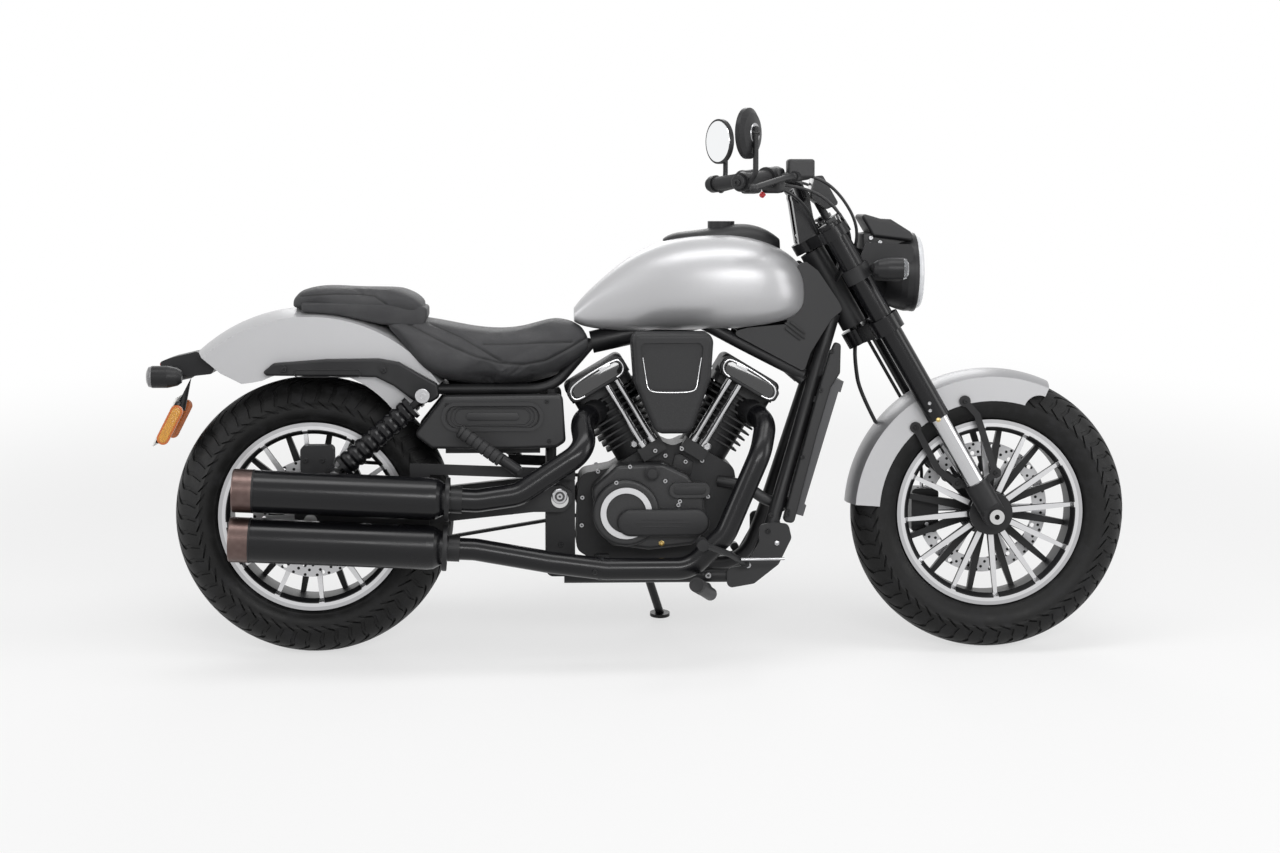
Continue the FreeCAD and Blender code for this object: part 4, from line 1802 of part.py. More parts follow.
def fender_struts():
    plates = side_pair(STRUT_SHARES, STRUT_X, STRUT_Z, STRUT_LENGTH, STRUT_HEIGHT, STRUT_Y, STRUT_WALL,
                       STRUT_ROUND, STRUT_EDGE)
    shapes = []
    for side, body in zip(SIDES, plates):
        outer = side * (STRUT_Y + STRUT_WALL)
        spots = shares(STRUT_BOLT_SHARES[:-1], STRUT_X, STRUT_Z, STRUT_LENGTH, STRUT_HEIGHT)
        heads = [cross_rod(spot.x, spot.z, STRUT_BOLT_RADIUS, outer - side * OVERRUN,
                           outer + side * STRUT_BOLT_RISE) for spot in spots]
        shapes.append(fused([body] + heads))
    return shapes


def side_covers():
    shapes = []
    for side in SIDES:
        outer = side * (SIDE_COVER_Y + SIDE_COVER_WALL)
        points = shares(SIDE_COVER_SHARES, SIDE_COVER_X, SIDE_COVER_Z, SIDE_COVER_LENGTH, SIDE_COVER_HEIGHT)
        body = soft_plate(points, side * SIDE_COVER_Y, outer, SIDE_COVER_ROUND, SIDE_COVER_EDGE)
        ring = stadium(EMBOSS_X, EMBOSS_Z, EMBOSS_LENGTH, EMBOSS_HEIGHT, outer - side * OVERRUN,
                       outer + side * EMBOSS_RISE)
        hollow = stadium(EMBOSS_X, EMBOSS_Z, EMBOSS_LENGTH - 2 * EMBOSS_RIM, EMBOSS_HEIGHT - 2 * EMBOSS_RIM,
                         outer, outer + side * 2 * EMBOSS_RISE)
        shapes.append(fused([body, ring]).cut(hollow))
    return shapes


def electrics_box():
    half = SIDE_COVER_Y - SEAT_GAP
    return slab(BOX_X, -half, BOX_Z, BOX_LENGTH, 2 * half, RAIL_Z - RAIL_RADIUS - SEAT_GAP - BOX_Z)


# Tail

def tail_lamp():
    points = shares(TAIL_SHARES, TAIL_X, TAIL_Z, TAIL_LENGTH, TAIL_HEIGHT)
    body = plate(points, -TAIL_HALF_WIDTH, TAIL_HALF_WIDTH, TAIL_ROUND)
    shell = rear_fender()
    body = body.cut(shell)
    stalks = cross_rod(REAR_SIGNAL_X + SIGNAL_LENGTH * 0.7, REAR_SIGNAL_Z + SIGNAL_STALK_RADIUS,
                       SIGNAL_STALK_RADIUS, -REAR_SIGNAL_Y + SIGNAL_RADIUS * 0.6,
                       REAR_SIGNAL_Y - SIGNAL_RADIUS * 0.6)
    lens_room = slab(TAIL_X - OVERRUN, -2 * TAIL_HALF_WIDTH, TAIL_Z - TAIL_HEIGHT, TAIL_LENS_WALL + OVERRUN,
                     4 * TAIL_HALF_WIDTH, 3 * TAIL_HEIGHT)
    lens = body.common(lens_room)
    lens.translate(V(-SEAT_GAP, 0, 0))
    bullets = rear_signals()
    whole = fused([body.cut(lens_room), stalks] + [bullet for bullet, glass in bullets])
    return max(whole.Solids, key=lambda solid: solid.Volume), [glass for bullet, glass in bullets] + [lens]


def rear_signals():
    return [signal(REAR_SIGNAL_X + SIGNAL_LENGTH, side * REAR_SIGNAL_Y, REAR_SIGNAL_Z, -1) for side in SIDES]


def plate_frame(shape):
    """Takes a shape drawn flat, its face to -X, to the tilted number plate."""
    moved = shape.copy()
    moved.Placement = FreeCAD.Placement(V(NUMBER_PLATE_X, 0, NUMBER_PLATE_Z),
                                        FreeCAD.Rotation(V(0, 1, 0), NUMBER_PLATE_TILT))
    return moved


def number_plate():
    wall = NUMBER_PLATE_WALL
    blank = Part.makeBox(wall, NUMBER_PLATE_WIDTH, NUMBER_PLATE_HEIGHT,
                         V(-wall - SEAT_GAP, -NUMBER_PLATE_WIDTH / 2, -NUMBER_PLATE_HEIGHT / 2))
    holes = [rod(V(-OVERRUN * 4, side * PLATE_HOLE_SPREAD / 2, 0), V(OVERRUN, side * PLATE_HOLE_SPREAD / 2, 0),
                 PLATE_HOLE_RADIUS) for side in SIDES]
    return plate_frame(blank.cut(Part.makeCompound(holes)))


def plate_holder(lamp):
    half_height, half_width = NUMBER_PLATE_HEIGHT * 0.42, NUMBER_PLATE_WIDTH * 0.46
    back = Part.makeBox(NUMBER_PLATE_WALL * 2, 2 * half_width, 2 * half_height,
                        V(0, -half_width, -half_height))
    holes = [rod(V(-OVERRUN, side * PLATE_HOLE_SPREAD / 2, 0),
                 V(NUMBER_PLATE_WALL * 2 + OVERRUN, side * PLATE_HOLE_SPREAD / 2, 0), PLATE_HOLE_RADIUS)
             for side in SIDES]
    stem_top = V(TAIL_X + TAIL_LENGTH / 2, 0, TAIL_Z + TAIL_HEIGHT / 3)
    stem_low = plate_frame(Part.Vertex(HOLDER_HALF_WIDTH / 2, 0, half_height * 0.6)).Point
    stem = rod(stem_low, stem_top, HOLDER_HALF_WIDTH / 2)
    behind = Part.makeBox(NUMBER_PLATE_HEIGHT, NUMBER_PLATE_WIDTH, 2 * NUMBER_PLATE_HEIGHT,
                          V(-NUMBER_PLATE_HEIGHT, -NUMBER_PLATE_WIDTH / 2, -NUMBER_PLATE_HEIGHT))
    whole = fused([plate_frame(back.cut(Part.makeCompound(holes))), stem.cut(plate_frame(behind))]).cut(lamp)
    return max(whole.Solids, key=lambda solid: solid.Volume)


def reflectors():
    shapes = []
    for side in SIDES:
        y = side * (NUMBER_PLATE_WIDTH * 0.46 + SEAT_GAP)
        block = Part.makeBox(REFLECTOR_HEIGHT, REFLECTOR_WALL, REFLECTOR_LENGTH,
                             V(SEAT_GAP, min(y, y + side * REFLECTOR_WALL), -REFLECTOR_LENGTH / 2))
        shapes.append(plate_frame(block.makeFillet(NUMBER_PLATE_WALL / 2, block.Edges)))
    return shapes


# Brakes, pegs and pedals

def front_caliper():
    seat = FRONT_HUB_WIDTH / 2
    low = seat - CALIPER_GAP - CALIPER_INNER
    high = LEG_SPREAD + FOOT_HALF_WIDTH / 2
    half_length, half_height = FRONT_CALIPER_LENGTH / 2, FRONT_CALIPER_HEIGHT / 2
    body = slab(FRONT_CALIPER_X - half_length, low, FRONT_CALIPER_Z - half_height, FRONT_CALIPER_LENGTH,
                high - low, FRONT_CALIPER_HEIGHT)
    body = body.makeFillet(CALIPER_ROUND, [e for e in body.Edges if e.BoundBox.YLength > SEAT_GAP])
    slot = cross_rod(0, 0, FRONT_DISC_RADIUS + MOVING_GAP, seat - CALIPER_GAP, seat + DISC_WALL + CALIPER_GAP)
    tang = slab(FRONT_CALIPER_X, LEG_SPREAD - CALIPER_TANG / 4, -CALIPER_TANG / 2, -FRONT_CALIPER_X, CALIPER_TANG / 2,
                CALIPER_TANG)
    foot = placed(on_fork(fork_foot(LEFT)), FreeCAD.Placement(V(-WHEELBASE, 0, -FRONT_AXLE_Z), FreeCAD.Rotation()))
    axle_room = cross_rod(0, 0, FOOT_SOCKET_RADIUS + SEAT_GAP, 0, 2 * LEG_SPREAD)
    whole = fused([body.cut(slot), tang]).cut(Part.makeCompound([foot, axle_room]))
    return max(whole.Solids, key=lambda solid: solid.Volume).translated(V(WHEELBASE, 0, FRONT_AXLE_Z))


def rear_caliper():
    seat = -REAR_HUB_WIDTH / 2
    inner = seat + CALIPER_GAP + CALIPER_INNER
    outer = -ARM_Y + SEAT_GAP
    body = slab(REAR_CALIPER_X - REAR_CALIPER_LENGTH / 2, outer, REAR_CALIPER_Z - REAR_CALIPER_HEIGHT / 2,
                REAR_CALIPER_LENGTH, inner - outer, REAR_CALIPER_HEIGHT)
    body = body.makeFillet(CALIPER_ROUND, [e for e in body.Edges if e.BoundBox.YLength > SEAT_GAP])
    slot = cross_rod(0, TYRE_RADIUS, REAR_DISC_RADIUS + MOVING_GAP, seat + CALIPER_GAP,
                     seat - DISC_WALL - CALIPER_GAP)
    return body.cut(slot)


def rider_pegs():
    shapes = []
    for side in SIDES:
        inner = side * (CRADLE_Y + DOWNTUBE_RADIUS + CORNER_WALL + 2 * SEAT_GAP)
        arm = cross_rod(PEG_X, PEG_Z, PEG_ARM_RADIUS, side * (CRADLE_Y + DOWNTUBE_RADIUS * 0.5), side * PEG_Y)
        hinge = V(PEG_X, side * PEG_Y, PEG_Z)
        knuckle = Part.makeSphere(PEG_HINGE_RADIUS, hinge)
        foot = rod(hinge, V(PEG_END_X, side * PEG_END_Y, PEG_END_Z), PEG_RADIUS)
        shapes.append(fused([arm, knuckle, foot]))
    return shapes


def pedals():
    """Brake pedal on the right and shift pedal on the left, each on a stub on the cradle."""
    shapes = []
    for side in SIDES:
        pivot = V(PEDAL_X, side * PEDAL_Y, PEDAL_Z)
        stub = cross_rod(PEDAL_X, PEDAL_Z, PEDAL_RADIUS * 1.4, side * (CRADLE_Y + DOWNTUBE_RADIUS
                         + CORNER_WALL + 2 * SEAT_GAP), side * (PEDAL_Y + PEDAL_RADIUS))
        knee = V(PEDAL_KNEE_X, side * (PEDAL_Y + PEDAL_END_Y) / 2, PEDAL_KNEE_Z)
        end = V(PEDAL_END_X, side * PEDAL_END_Y, PEDAL_END_Z)
        arm = bent_tube([pivot, knee, end], PEDAL_RADIUS, PEDAL_PAD_LENGTH)
        pad = cross_rod(end.x, end.z, PEDAL_PAD_RADIUS, side * (PEDAL_END_Y - PEDAL_PAD_LENGTH / 2),
                        side * (PEDAL_END_Y + PEDAL_PAD_LENGTH / 2))
        shapes.append(fused([stub, arm, pad]))
    return shapes


def passenger_pegs():
    """The passenger's pegs, folded up along the side covers."""
    shapes = []
    for side in SIDES:
        hinge = V(BACK_PEG_X, side * BACK_PEG_Y, BACK_PEG_Z)
        seat = side * (ARM_Y + ARM_WIDTH + HANGER_WALL + 3 * SEAT_GAP)
        arm = cross_rod(BACK_PEG_X, BACK_PEG_Z, BACK_PEG_ARM_RADIUS, seat, side * BACK_PEG_Y)
        peg = rod(hinge, V(BACK_PEG_TIP_X, side * BACK_PEG_Y, BACK_PEG_TIP_Z), BACK_PEG_RADIUS)
        shapes.append(fused([arm, peg]))
    return shapes


# Side stand

def ground_height(y):
    """The road's height under the leaning machine, in the upright frame."""
    lean = math.radians(LEAN)
    return (y * math.sin(lean) - FRONT_CONTACT_SHIFT) / math.cos(lean)


def side_stand():
    axis = stand_axis()
    pivot = stand_pivot()
    lean = math.radians(LEAN)
    up = V(0, -math.sin(lean), math.cos(lean))
    foot = V(STAND_FOOT_X, STAND_FOOT_Y, ground_height(STAND_FOOT_Y))
    half = axis * (STAND_EYE_WALL / 2)
    eye = rod(pivot - half, pivot + half, STAND_EYE_RADIUS)
    leg = rod(pivot, foot + up * (STAND_FOOT_WALL * 0.8), STAND_LEG_RADIUS)
    pad = rod(foot, foot + up * STAND_FOOT_WALL, STAND_FOOT_RADIUS)
    bore = rod(pivot - half * 4, pivot + half * 4, STAND_PIN_RADIUS + SEAT_GAP)
    lug_room = rod(pivot - half * 5, pivot - half, STAND_LUG_RADIUS + OVERRUN * 2)
    return fused([eye, leg, pad]).cut(Part.makeCompound([bore, lug_room]))


# Brake hose

def hose_points():
    """From the lower yoke down the back of the left leg, then out to the caliper."""
    back, y = -OUTER_LEG_RADIUS - HOSE_RADIUS * 2, LEG_SPREAD
    end = V(WHEELBASE + FRONT_CALIPER_X, y, FRONT_AXLE_Z + FRONT_CALIPER_Z + FRONT_CALIPER_HEIGHT / 2 + SEAT_GAP)
    return [fork_point(back, y, LOWER_YOKE - SEAT_GAP), fork_point(back, y, OUTER_LEG_BOTTOM - HOSE_PORT),
            end + V(0, 0, HOSE_PORT * 3), end]


def brake_hose():
    return bent_tube(hose_points(), HOSE_RADIUS, FOOT_SOCKET_TOP)


def at_axle(shape, x, z):
    return shape.translated(V(x, 0, z))


def build_nodes():
    tank_shape = tank()
    frame_members = frame()
    frame_shape = Part.makeCompound(frame_members)
    lamp, rear_lenses = tail_lamp()
    front_bodies, front_lenses = front_signals()
    upper_band = clamp_band(UPPER_LINE, REAR_HEADER_RADIUS)
    lower_band = clamp_band(LOWER_LINE, HEADER_RADIUS)
    nodes = {
        "frame": frame_members,
        "swingarm": swingarm(),
        "rear_axle": [rear_axle(), swingarm_pivot()],
        "shock_bodies": [shock_body(side) for side in SIDES],
        "shock_springs": [shock_spring(side) for side in SIDES],
        "engine_crankcase": crankcase(),
        "cylinders": [finned_cylinder(1), finned_cylinder(-1)],
        "rocker_covers": [rocker_cover(1), rocker_cover(-1)],
        "pushrod_tubes": pushrod_tubes(),
        "right_engine_cover": right_cover(),
        "left_engine_covers": [left_cover(), sprocket_cover()],
        "drive_belt": drive_belt(),
        "air_cleaner": air_cleaner(),
        "throttle_body": throttle_body(),
        "exhaust_headers": [rear_header(), front_header()],
        "mufflers": [muffler(UPPER_LINE, UPPER_MUFFLER_RADIUS, REAR_HEADER_RADIUS),
                     muffler(LOWER_LINE, LOWER_MUFFLER_RADIUS, HEADER_RADIUS)],
        "rear_hangers": [rear_hanger(side) for side in SIDES] + [upper_band, lower_band],
        "radiator": radiator(frame_shape),
        "radiator_shroud": radiator_shroud(),
        "frame_covers": neck_covers() + corner_covers(),
        "fuel_tank": tank_shape,
        "tank_console": console(tank_shape),
        "rider_seat": rider_seat(tank_shape, frame_shape),
        "pillion_seat": pillion_seat(),
        "rear_fender": rear_fender(),
        "fender_struts": fender_struts(),
        "side_covers": side_covers(),
        "electrics_box": electrics_box(),
        "tail_lamp": lamp,
        "rear_lenses": rear_lenses + reflectors(),
        "plate_holder": plate_holder(lamp),
        "number_plate": number_plate(),
        "rear_caliper": rear_caliper(),
        "foot_controls": rider_pegs() + pedals() + passenger_pegs(),
        "steering_yokes": yokes_and_stem(),
        "fork_upper_legs": [on_fork(outer_leg(side)) for side in SIDES],
        "fork_lower_legs": [on_fork(inner_leg(side)) for side in SIDES],
        "fork_feet": [on_fork(fork_foot(side)) for side in SIDES],
        "front_axle": at_axle(front_axle(), WHEELBASE, FRONT_AXLE_Z),
        "front_fender": front_fender(),
        "fender_stays": fender_stays(),
        "handlebar": [handlebar()] + bar_risers(),
        "grips": grips(),
        "hand_controls": controls(),
        "mirrors": mirrors(),
        "headlamp_shell": headlamp_shell(),
        "front_lenses": front_lenses + [dome(LENS_RADIUS, LENS_RISE, LENS_WALL, LAMP_RIM_X, 0, LAMP_Z, 1)],
        "cowl_and_display": [lamp_cowl(), display()],
        "front_signals": front_bodies,
        "front_caliper": front_caliper(),
        "brake_hose": brake_hose(),
        "front_wheel": at_axle(cast_wheel(FRONT_RIM_WIDTH, FRONT_HUB_WIDTH), WHEELBASE, FRONT_AXLE_Z),
        "front_tyre": at_axle(tyre(FRONT_TYRE_WIDTH, FRONT_CROWN), WHEELBASE, FRONT_AXLE_Z),
        "front_disc": at_axle(brake_disc(FRONT_DISC_RADIUS, FRONT_HUB_WIDTH, LEFT), WHEELBASE, FRONT_AXLE_Z),
        "rear_wheel": at_axle(fused([cast_wheel(REAR_RIM_WIDTH, REAR_HUB_WIDTH), belt_pulley()]),
                              0, TYRE_RADIUS),
        "rear_tyre": at_axle(tyre(REAR_TYRE_WIDTH, REAR_CROWN), 0, TYRE_RADIUS),
        "rear_disc": at_axle(brake_disc(REAR_DISC_RADIUS, REAR_HUB_WIDTH, RIGHT), 0, TYRE_RADIUS),
        "side_stand": side_stand(),
    }
    return {name: Part.makeCompound(shape if isinstance(shape, list) else [shape])
            for name, shape in nodes.items()}


def leaned(shape):
    """Leans the upright machine onto its stand, with its tyres on the road."""
    moved = shape.copy()
    moved.rotate(V(0, 0, 0), V(1, 0, 0), -LEAN)
    moved.translate(V(0, 0, FRONT_CONTACT_SHIFT))
    return moved


def main():
    os.makedirs("parts", exist_ok=True)
    shapes = {name: leaned(shape) for name, shape in build_nodes().items()}
    whole = Part.makeCompound(list(shapes.values())).BoundBox
    shift = V(-(whole.XMin + whole.XMax) / 2, -(whole.YMin + whole.YMax) / 2, 0)
    for name, shape in shapes.items():
        shape.translate(shift)
        shape.exportStep("parts/" + name + ".step")
    print("origin shift", shift)


main()
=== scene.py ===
import json
import math

import bpy
from mathutils import Matrix, Vector


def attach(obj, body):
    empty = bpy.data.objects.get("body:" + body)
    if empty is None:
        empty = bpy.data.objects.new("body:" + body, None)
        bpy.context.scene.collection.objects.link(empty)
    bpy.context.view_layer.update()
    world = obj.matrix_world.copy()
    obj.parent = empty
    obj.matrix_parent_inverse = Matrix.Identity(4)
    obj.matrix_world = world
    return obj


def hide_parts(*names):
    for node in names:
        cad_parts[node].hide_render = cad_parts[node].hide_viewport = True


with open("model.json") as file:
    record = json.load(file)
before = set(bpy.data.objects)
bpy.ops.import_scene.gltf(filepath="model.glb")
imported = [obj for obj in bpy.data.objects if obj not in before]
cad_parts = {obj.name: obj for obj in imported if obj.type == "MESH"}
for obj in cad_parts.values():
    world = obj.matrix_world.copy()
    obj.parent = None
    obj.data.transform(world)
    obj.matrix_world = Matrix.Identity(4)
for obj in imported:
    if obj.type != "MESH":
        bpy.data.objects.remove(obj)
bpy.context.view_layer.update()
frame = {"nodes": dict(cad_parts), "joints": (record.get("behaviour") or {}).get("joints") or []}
bpy.ops.object.select_all(action="DESELECT")

# The machine's own upright frame: X ahead of the rear axle, Y to its left, Z up from the road, in metres.
# The machine leans on its side stand, so this frame is turned about X from the frame that the pieces are in.
# Its axes are read from the rear wheel's spindle.
TYRE_RADIUS = 0.320
WHEELBASE = 1.565
FRONT_AXLE_HEIGHT = 0.3198
joints = {joint["name"]: joint for joint in frame["joints"]}
AXLE = Vector(joints["rear_wheel_spin"]["axis"])
UP = Vector((1, 0, 0)).cross(AXLE)
ROAD_POINT = Vector(joints["rear_wheel_spin"]["pos_m"]) - UP * TYRE_RADIUS
LEANED = Matrix.Translation(ROAD_POINT) @ Matrix(((1, 0, 0), (0, AXLE.y, UP.y), (0, AXLE.z, UP.z))).to_4x4()
LEAN = math.atan2(-AXLE.z, AXLE.y)

# Camera: a long lens at the height of the handlebar, square to the machine's right side.
# It is aimed so that the machine lies in the frame as photographed.
CAMERA_PLACE = Vector((0.4765, -6.0, 1.045))
CAMERA_AIM = Vector((0.7526, 0, 0.5195))
CAMERA_LENS = 73.0
bpy.ops.object.camera_add()
camera = bpy.context.object
bpy.context.scene.camera = camera
camera.data.lens = CAMERA_LENS
back = (LEANED.to_3x3() @ (CAMERA_PLACE - CAMERA_AIM)).normalized()
side = UP.cross(back).normalized()
turn = Matrix((side, back.cross(side), back)).transposed().to_4x4()
camera.matrix_world = Matrix.Translation(LEANED @ CAMERA_PLACE) @ turn


# A finish is one material. Its sockets are wrapped, so that shader sums are written as plain sums.
# Every pattern is placed on the machine's upright frame or on a wheel's spindle.
class Wire:
    """A socket that a value comes out of."""

    def __init__(self, finish, socket):
        self.finish, self.socket = finish, socket

    def calc(self, operation, first, second=0.0):
        return self.finish.make("ShaderNodeMath", {"operation": operation}, {0: first, 1: second})

    def __add__(self, other):
        return self.calc("ADD", self, other)

    def __sub__(self, other):
        return self.calc("SUBTRACT", self, other)

    def __rsub__(self, other):
        return self.calc("SUBTRACT", other, self)

    def __mul__(self, other):
        return self.calc("MULTIPLY", self, other)

    def __pow__(self, other):
        return self.calc("POWER", self, other)

    def __gt__(self, other):
        return self.calc("GREATER_THAN", self, other)

    def __lt__(self, other):
        return self.calc("LESS_THAN", self, other)

    def __mod__(self, other):
        return self.calc("FLOORED_MODULO", self, other)

    def __abs__(self):
        return self.calc("ABSOLUTE", self)

    __radd__, __rmul__ = __add__, __mul__


class Finish:
    """A material on one Principled shader."""

    def __init__(self, name, color=(0.5, 0.5, 0.5), **sockets):
        self.material = bpy.data.materials.new(name)
        self.material.use_nodes = True
        self.tree = self.material.node_tree
        self.shader = self.tree.nodes["Principled BSDF"]
        self.set(Base_Color=color, **sockets)

    def set(self, **sockets):
        for name, value in sockets.items():
            self.feed(self.shader.inputs[name.replace("_", " ")], value)

    def feed(self, socket, value):
        if isinstance(value, Wire):
            self.tree.links.new(value.socket, socket)
        elif isinstance(value, tuple) and len(value) == 3 and socket.type == "RGBA":
            socket.default_value = (*value, 1)
        else:
            socket.default_value = value

    def make(self, kind, settings, sockets, out=0):
        node = self.tree.nodes.new(kind)
        for name, value in settings.items():
            setattr(node, name, value)
        for name, value in sockets.items():
            self.feed(node.inputs[name], value)
        return Wire(self, node.outputs[out])

    def place(self, centre=(0, 0, 0)):
        """A point of the surface in the machine's upright frame, from a centre there."""
        start = LEANED.inverted() @ Vector((0, 0, 0)) - Vector(centre)
        point = self.make("ShaderNodeTexCoord", {}, {}, 3)
        return self.make("ShaderNodeMapping", {}, {"Vector": point, "Location": tuple(start),
                                                   "Rotation": (LEAN, 0, 0)})

    def axes(self, centre=(0, 0, 0)):
        split = self.make("ShaderNodeSeparateXYZ", {}, {0: self.place(centre)}).socket.node
        return [Wire(self, output) for output in split.outputs]

    def noise(self, scale, detail=2.0, roughness=0.5):
        return self.make("ShaderNodeTexNoise", {}, {"Vector": self.place(), "Scale": scale, "Detail": detail,
                                                    "Roughness": roughness})

    def step(self, value, low, high, start=0.0, end=1.0):
        return self.make("ShaderNodeMapRange", {"interpolation_type": "SMOOTHSTEP"},
                         {"Value": value, "From Min": low, "From Max": high, "To Min": start, "To Max": end})

    def mix(self, mask, first, second):
        return self.make("ShaderNodeMix", {"data_type": "RGBA"}, {0: mask, 6: first, 7: second}, 2)

    def bump(self, height, distance):
        """Raises the surface by a height's pattern, at most by the distance."""
        raised = self.make("ShaderNodeBump", {}, {"Strength": 1.0, "Distance": distance, "Height": height})
        self.set(Normal=raised)

    def on(self, *names):
        """Gives the finish to the CAD pieces of these names."""
        for name in names:
            for slot in frame["nodes"][name].material_slots:
                slot.material = self.material


# Studio: a pale floor that keeps the machine's shadow and fades into a white room.
# Large soft lamps stand above, to the right and at both ends.
FLOOR_SIZE = 60.0
FLOOR_FADE = (1.6, 3.4)
FLOOR_GLOW = 0.62
ROOM_LIGHT = 0.26
bpy.ops.mesh.primitive_plane_add(size=FLOOR_SIZE)
floor = bpy.context.object
floor.name = "floor"
surface = bpy.data.materials.new("floor")
surface.use_nodes = True
floor.data.materials.append(surface)
tree = surface.node_tree
tree.nodes.clear()


def seen_rays(tree):
    """One for a ray from the camera, off a gloss or through glass."""
    path = tree.nodes.new("ShaderNodeLightPath")
    total = path.outputs["Is Camera Ray"]
    for name in ("Is Glossy Ray", "Is Transmission Ray"):
        add = tree.nodes.new("ShaderNodeMath")
        add.operation = "MAXIMUM"
        tree.links.new(total, add.inputs[0])
        tree.links.new(path.outputs[name], add.inputs[1])
        total = add.outputs[0]
    return total


diffuse = tree.nodes.new("ShaderNodeBsdfDiffuse")
diffuse.inputs["Color"].default_value = (0.86, 0.86, 0.86, 1)
glow = tree.nodes.new("ShaderNodeEmission")
blend = tree.nodes.new("ShaderNodeMixShader")
output = tree.nodes.new("ShaderNodeOutputMaterial")
spot = tree.nodes.new("ShaderNodeTexCoord")
length = tree.nodes.new("ShaderNodeVectorMath")
length.operation = "LENGTH"
fade = tree.nodes.new("ShaderNodeMapRange")
fade.interpolation_type = "SMOOTHSTEP"
for name, value in zip(("From Min", "From Max", "To Min", "To Max"), (*FLOOR_FADE, FLOOR_GLOW, 1.0)):
    fade.inputs[name].default_value = value
share = tree.nodes.new("ShaderNodeMath")
share.operation = "MULTIPLY"
tree.links.new(spot.outputs["Object"], length.inputs[0])
tree.links.new(length.outputs["Value"], fade.inputs["Value"])
tree.links.new(fade.outputs[0], share.inputs[0])
tree.links.new(seen_rays(tree), share.inputs[1])
tree.links.new(share.outputs[0], blend.inputs[0])
tree.links.new(diffuse.outputs[0], blend.inputs[1])
tree.links.new(glow.outputs[0], blend.inputs[2])
tree.links.new(blend.outputs[0], output.inputs["Surface"])

world = bpy.data.worlds.new("room")
bpy.context.scene.world = world
world.use_nodes = True
tree = world.node_tree
backdrop = tree.nodes["Background"]
strength = tree.nodes.new("ShaderNodeMapRange")
strength.inputs["To Min"].default_value = ROOM_LIGHT
tree.links.new(seen_rays(tree), strength.inputs["Value"])
tree.links.new(strength.outputs[0], backdrop.inputs["Strength"])
backdrop.inputs["Color"].default_value = (1, 1, 1, 1)
bpy.context.scene.view_settings.view_transform = "Standard"


def soft_lamp(name, place, aim, width, height, power):
    bpy.ops.object.light_add(type="AREA", location=place)
    lamp = bpy.context.object
    lamp.name = name
    lamp.data.shape = "RECTANGLE"
    lamp.data.size, lamp.data.size_y = width, height
    lamp.data.energy = power
    lamp.rotation_euler = (Vector(place) - Vector(aim)).to_track_quat("Z", "Y").to_euler()


soft_lamp("top_lamp", (0.1, -0.5, 3.2), (0, 0, 0.5), 3.6, 0.9, 46)
soft_lamp("right_lamp", (0.8, -4.2, 2.6), (0, 0, 0.5), 3.4, 0.8, 85)
soft_lamp("front_lamp", (3.6, -1.2, 1.6), (0, 0, 0.6), 1.2, 2.2, 30)
soft_lamp("rear_lamp", (-3.6, -1.2, 1.6), (0, 0, 0.6), 1.2, 2.2, 30)
soft_lamp("left_lamp", (0.0, 4.0, 2.4), (0, 0, 0.5), 3.0, 1.8, 45)

# Black parts: frame, engine cases, silencers and fork sleeves are steel and cast aluminium in satin black.
# The coat is slightly grainy and a little greyer where it is thin.
BLACK = (0.010, 0.010, 0.011)
WORN_BLACK = (0.022, 0.022, 0.023)
satin_black = Finish("satin black coat", Roughness=0.42, Specular_IOR_Level=0.28)
cloud = satin_black.noise(9.0, 3.0)
satin_black.set(Base_Color=satin_black.mix(satin_black.step(cloud, 0.4, 0.75), BLACK, WORN_BLACK),
                Roughness=satin_black.step(cloud, 0.3, 0.7, 0.36, 0.5))
satin_black.bump(satin_black.noise(1400.0, 2.0), 0.00006)
satin_black.on("frame", "swingarm", "rear_hangers", "fender_struts", "fork_feet", "fender_stays",
               "headlamp_shell", "tail_lamp", "front_signals", "side_stand", "foot_controls", "tank_console",
               "front_caliper", "rear_caliper", "mirrors", "electrics_box")

# Enamelled parts: the yokes, fork sleeves, handlebar, exhaust and shocks have a thicker, glossier black
# enamel. It flows to a nearly smooth film.
enamel = Finish("black enamel", (0.005, 0.005, 0.006), Specular_IOR_Level=0.3)
enamel.set(Roughness=enamel.step(enamel.noise(7.0, 3.0), 0.3, 0.7, 0.2, 0.28))
enamel.bump(enamel.noise(1100.0, 2.0), 0.00002)
enamel.on("steering_yokes", "fork_upper_legs", "handlebar", "exhaust_headers", "mufflers", "shock_bodies",
          "shock_springs")

# Engine castings: the crankcase, barrels and covers are cast aluminium under a black coat.
# The coat shows the sand's grain.
cast_black = Finish("black casting", Roughness=0.5, Specular_IOR_Level=0.35)
grain = cast_black.noise(420.0, 4.0, 0.65)
cast_black.set(Base_Color=cast_black.mix(cast_black.step(grain, 0.45, 0.75), (0.010, 0.010, 0.011),
                                         (0.022, 0.022, 0.023)),
               Roughness=cast_black.step(grain, 0.3, 0.7, 0.42, 0.58))
cast_black.bump(grain, 0.00025)
cast_black.on("engine_crankcase", "cylinders", "rocker_covers", "right_engine_cover", "left_engine_covers",
              "air_cleaner", "throttle_body")

# Plastic trim: moulded black covers round the steering head, radiator and lamps.
# Their moulds leave a fine even grain.
plastic = Finish("moulded plastic", (0.013, 0.013, 0.014), Roughness=0.48, Specular_IOR_Level=0.4)
plastic.bump(plastic.noise(900.0, 2.0), 0.0001)
plastic.on("radiator_shroud", "frame_covers", "hand_controls", "plate_holder", "cowl_and_display",
           "side_covers")

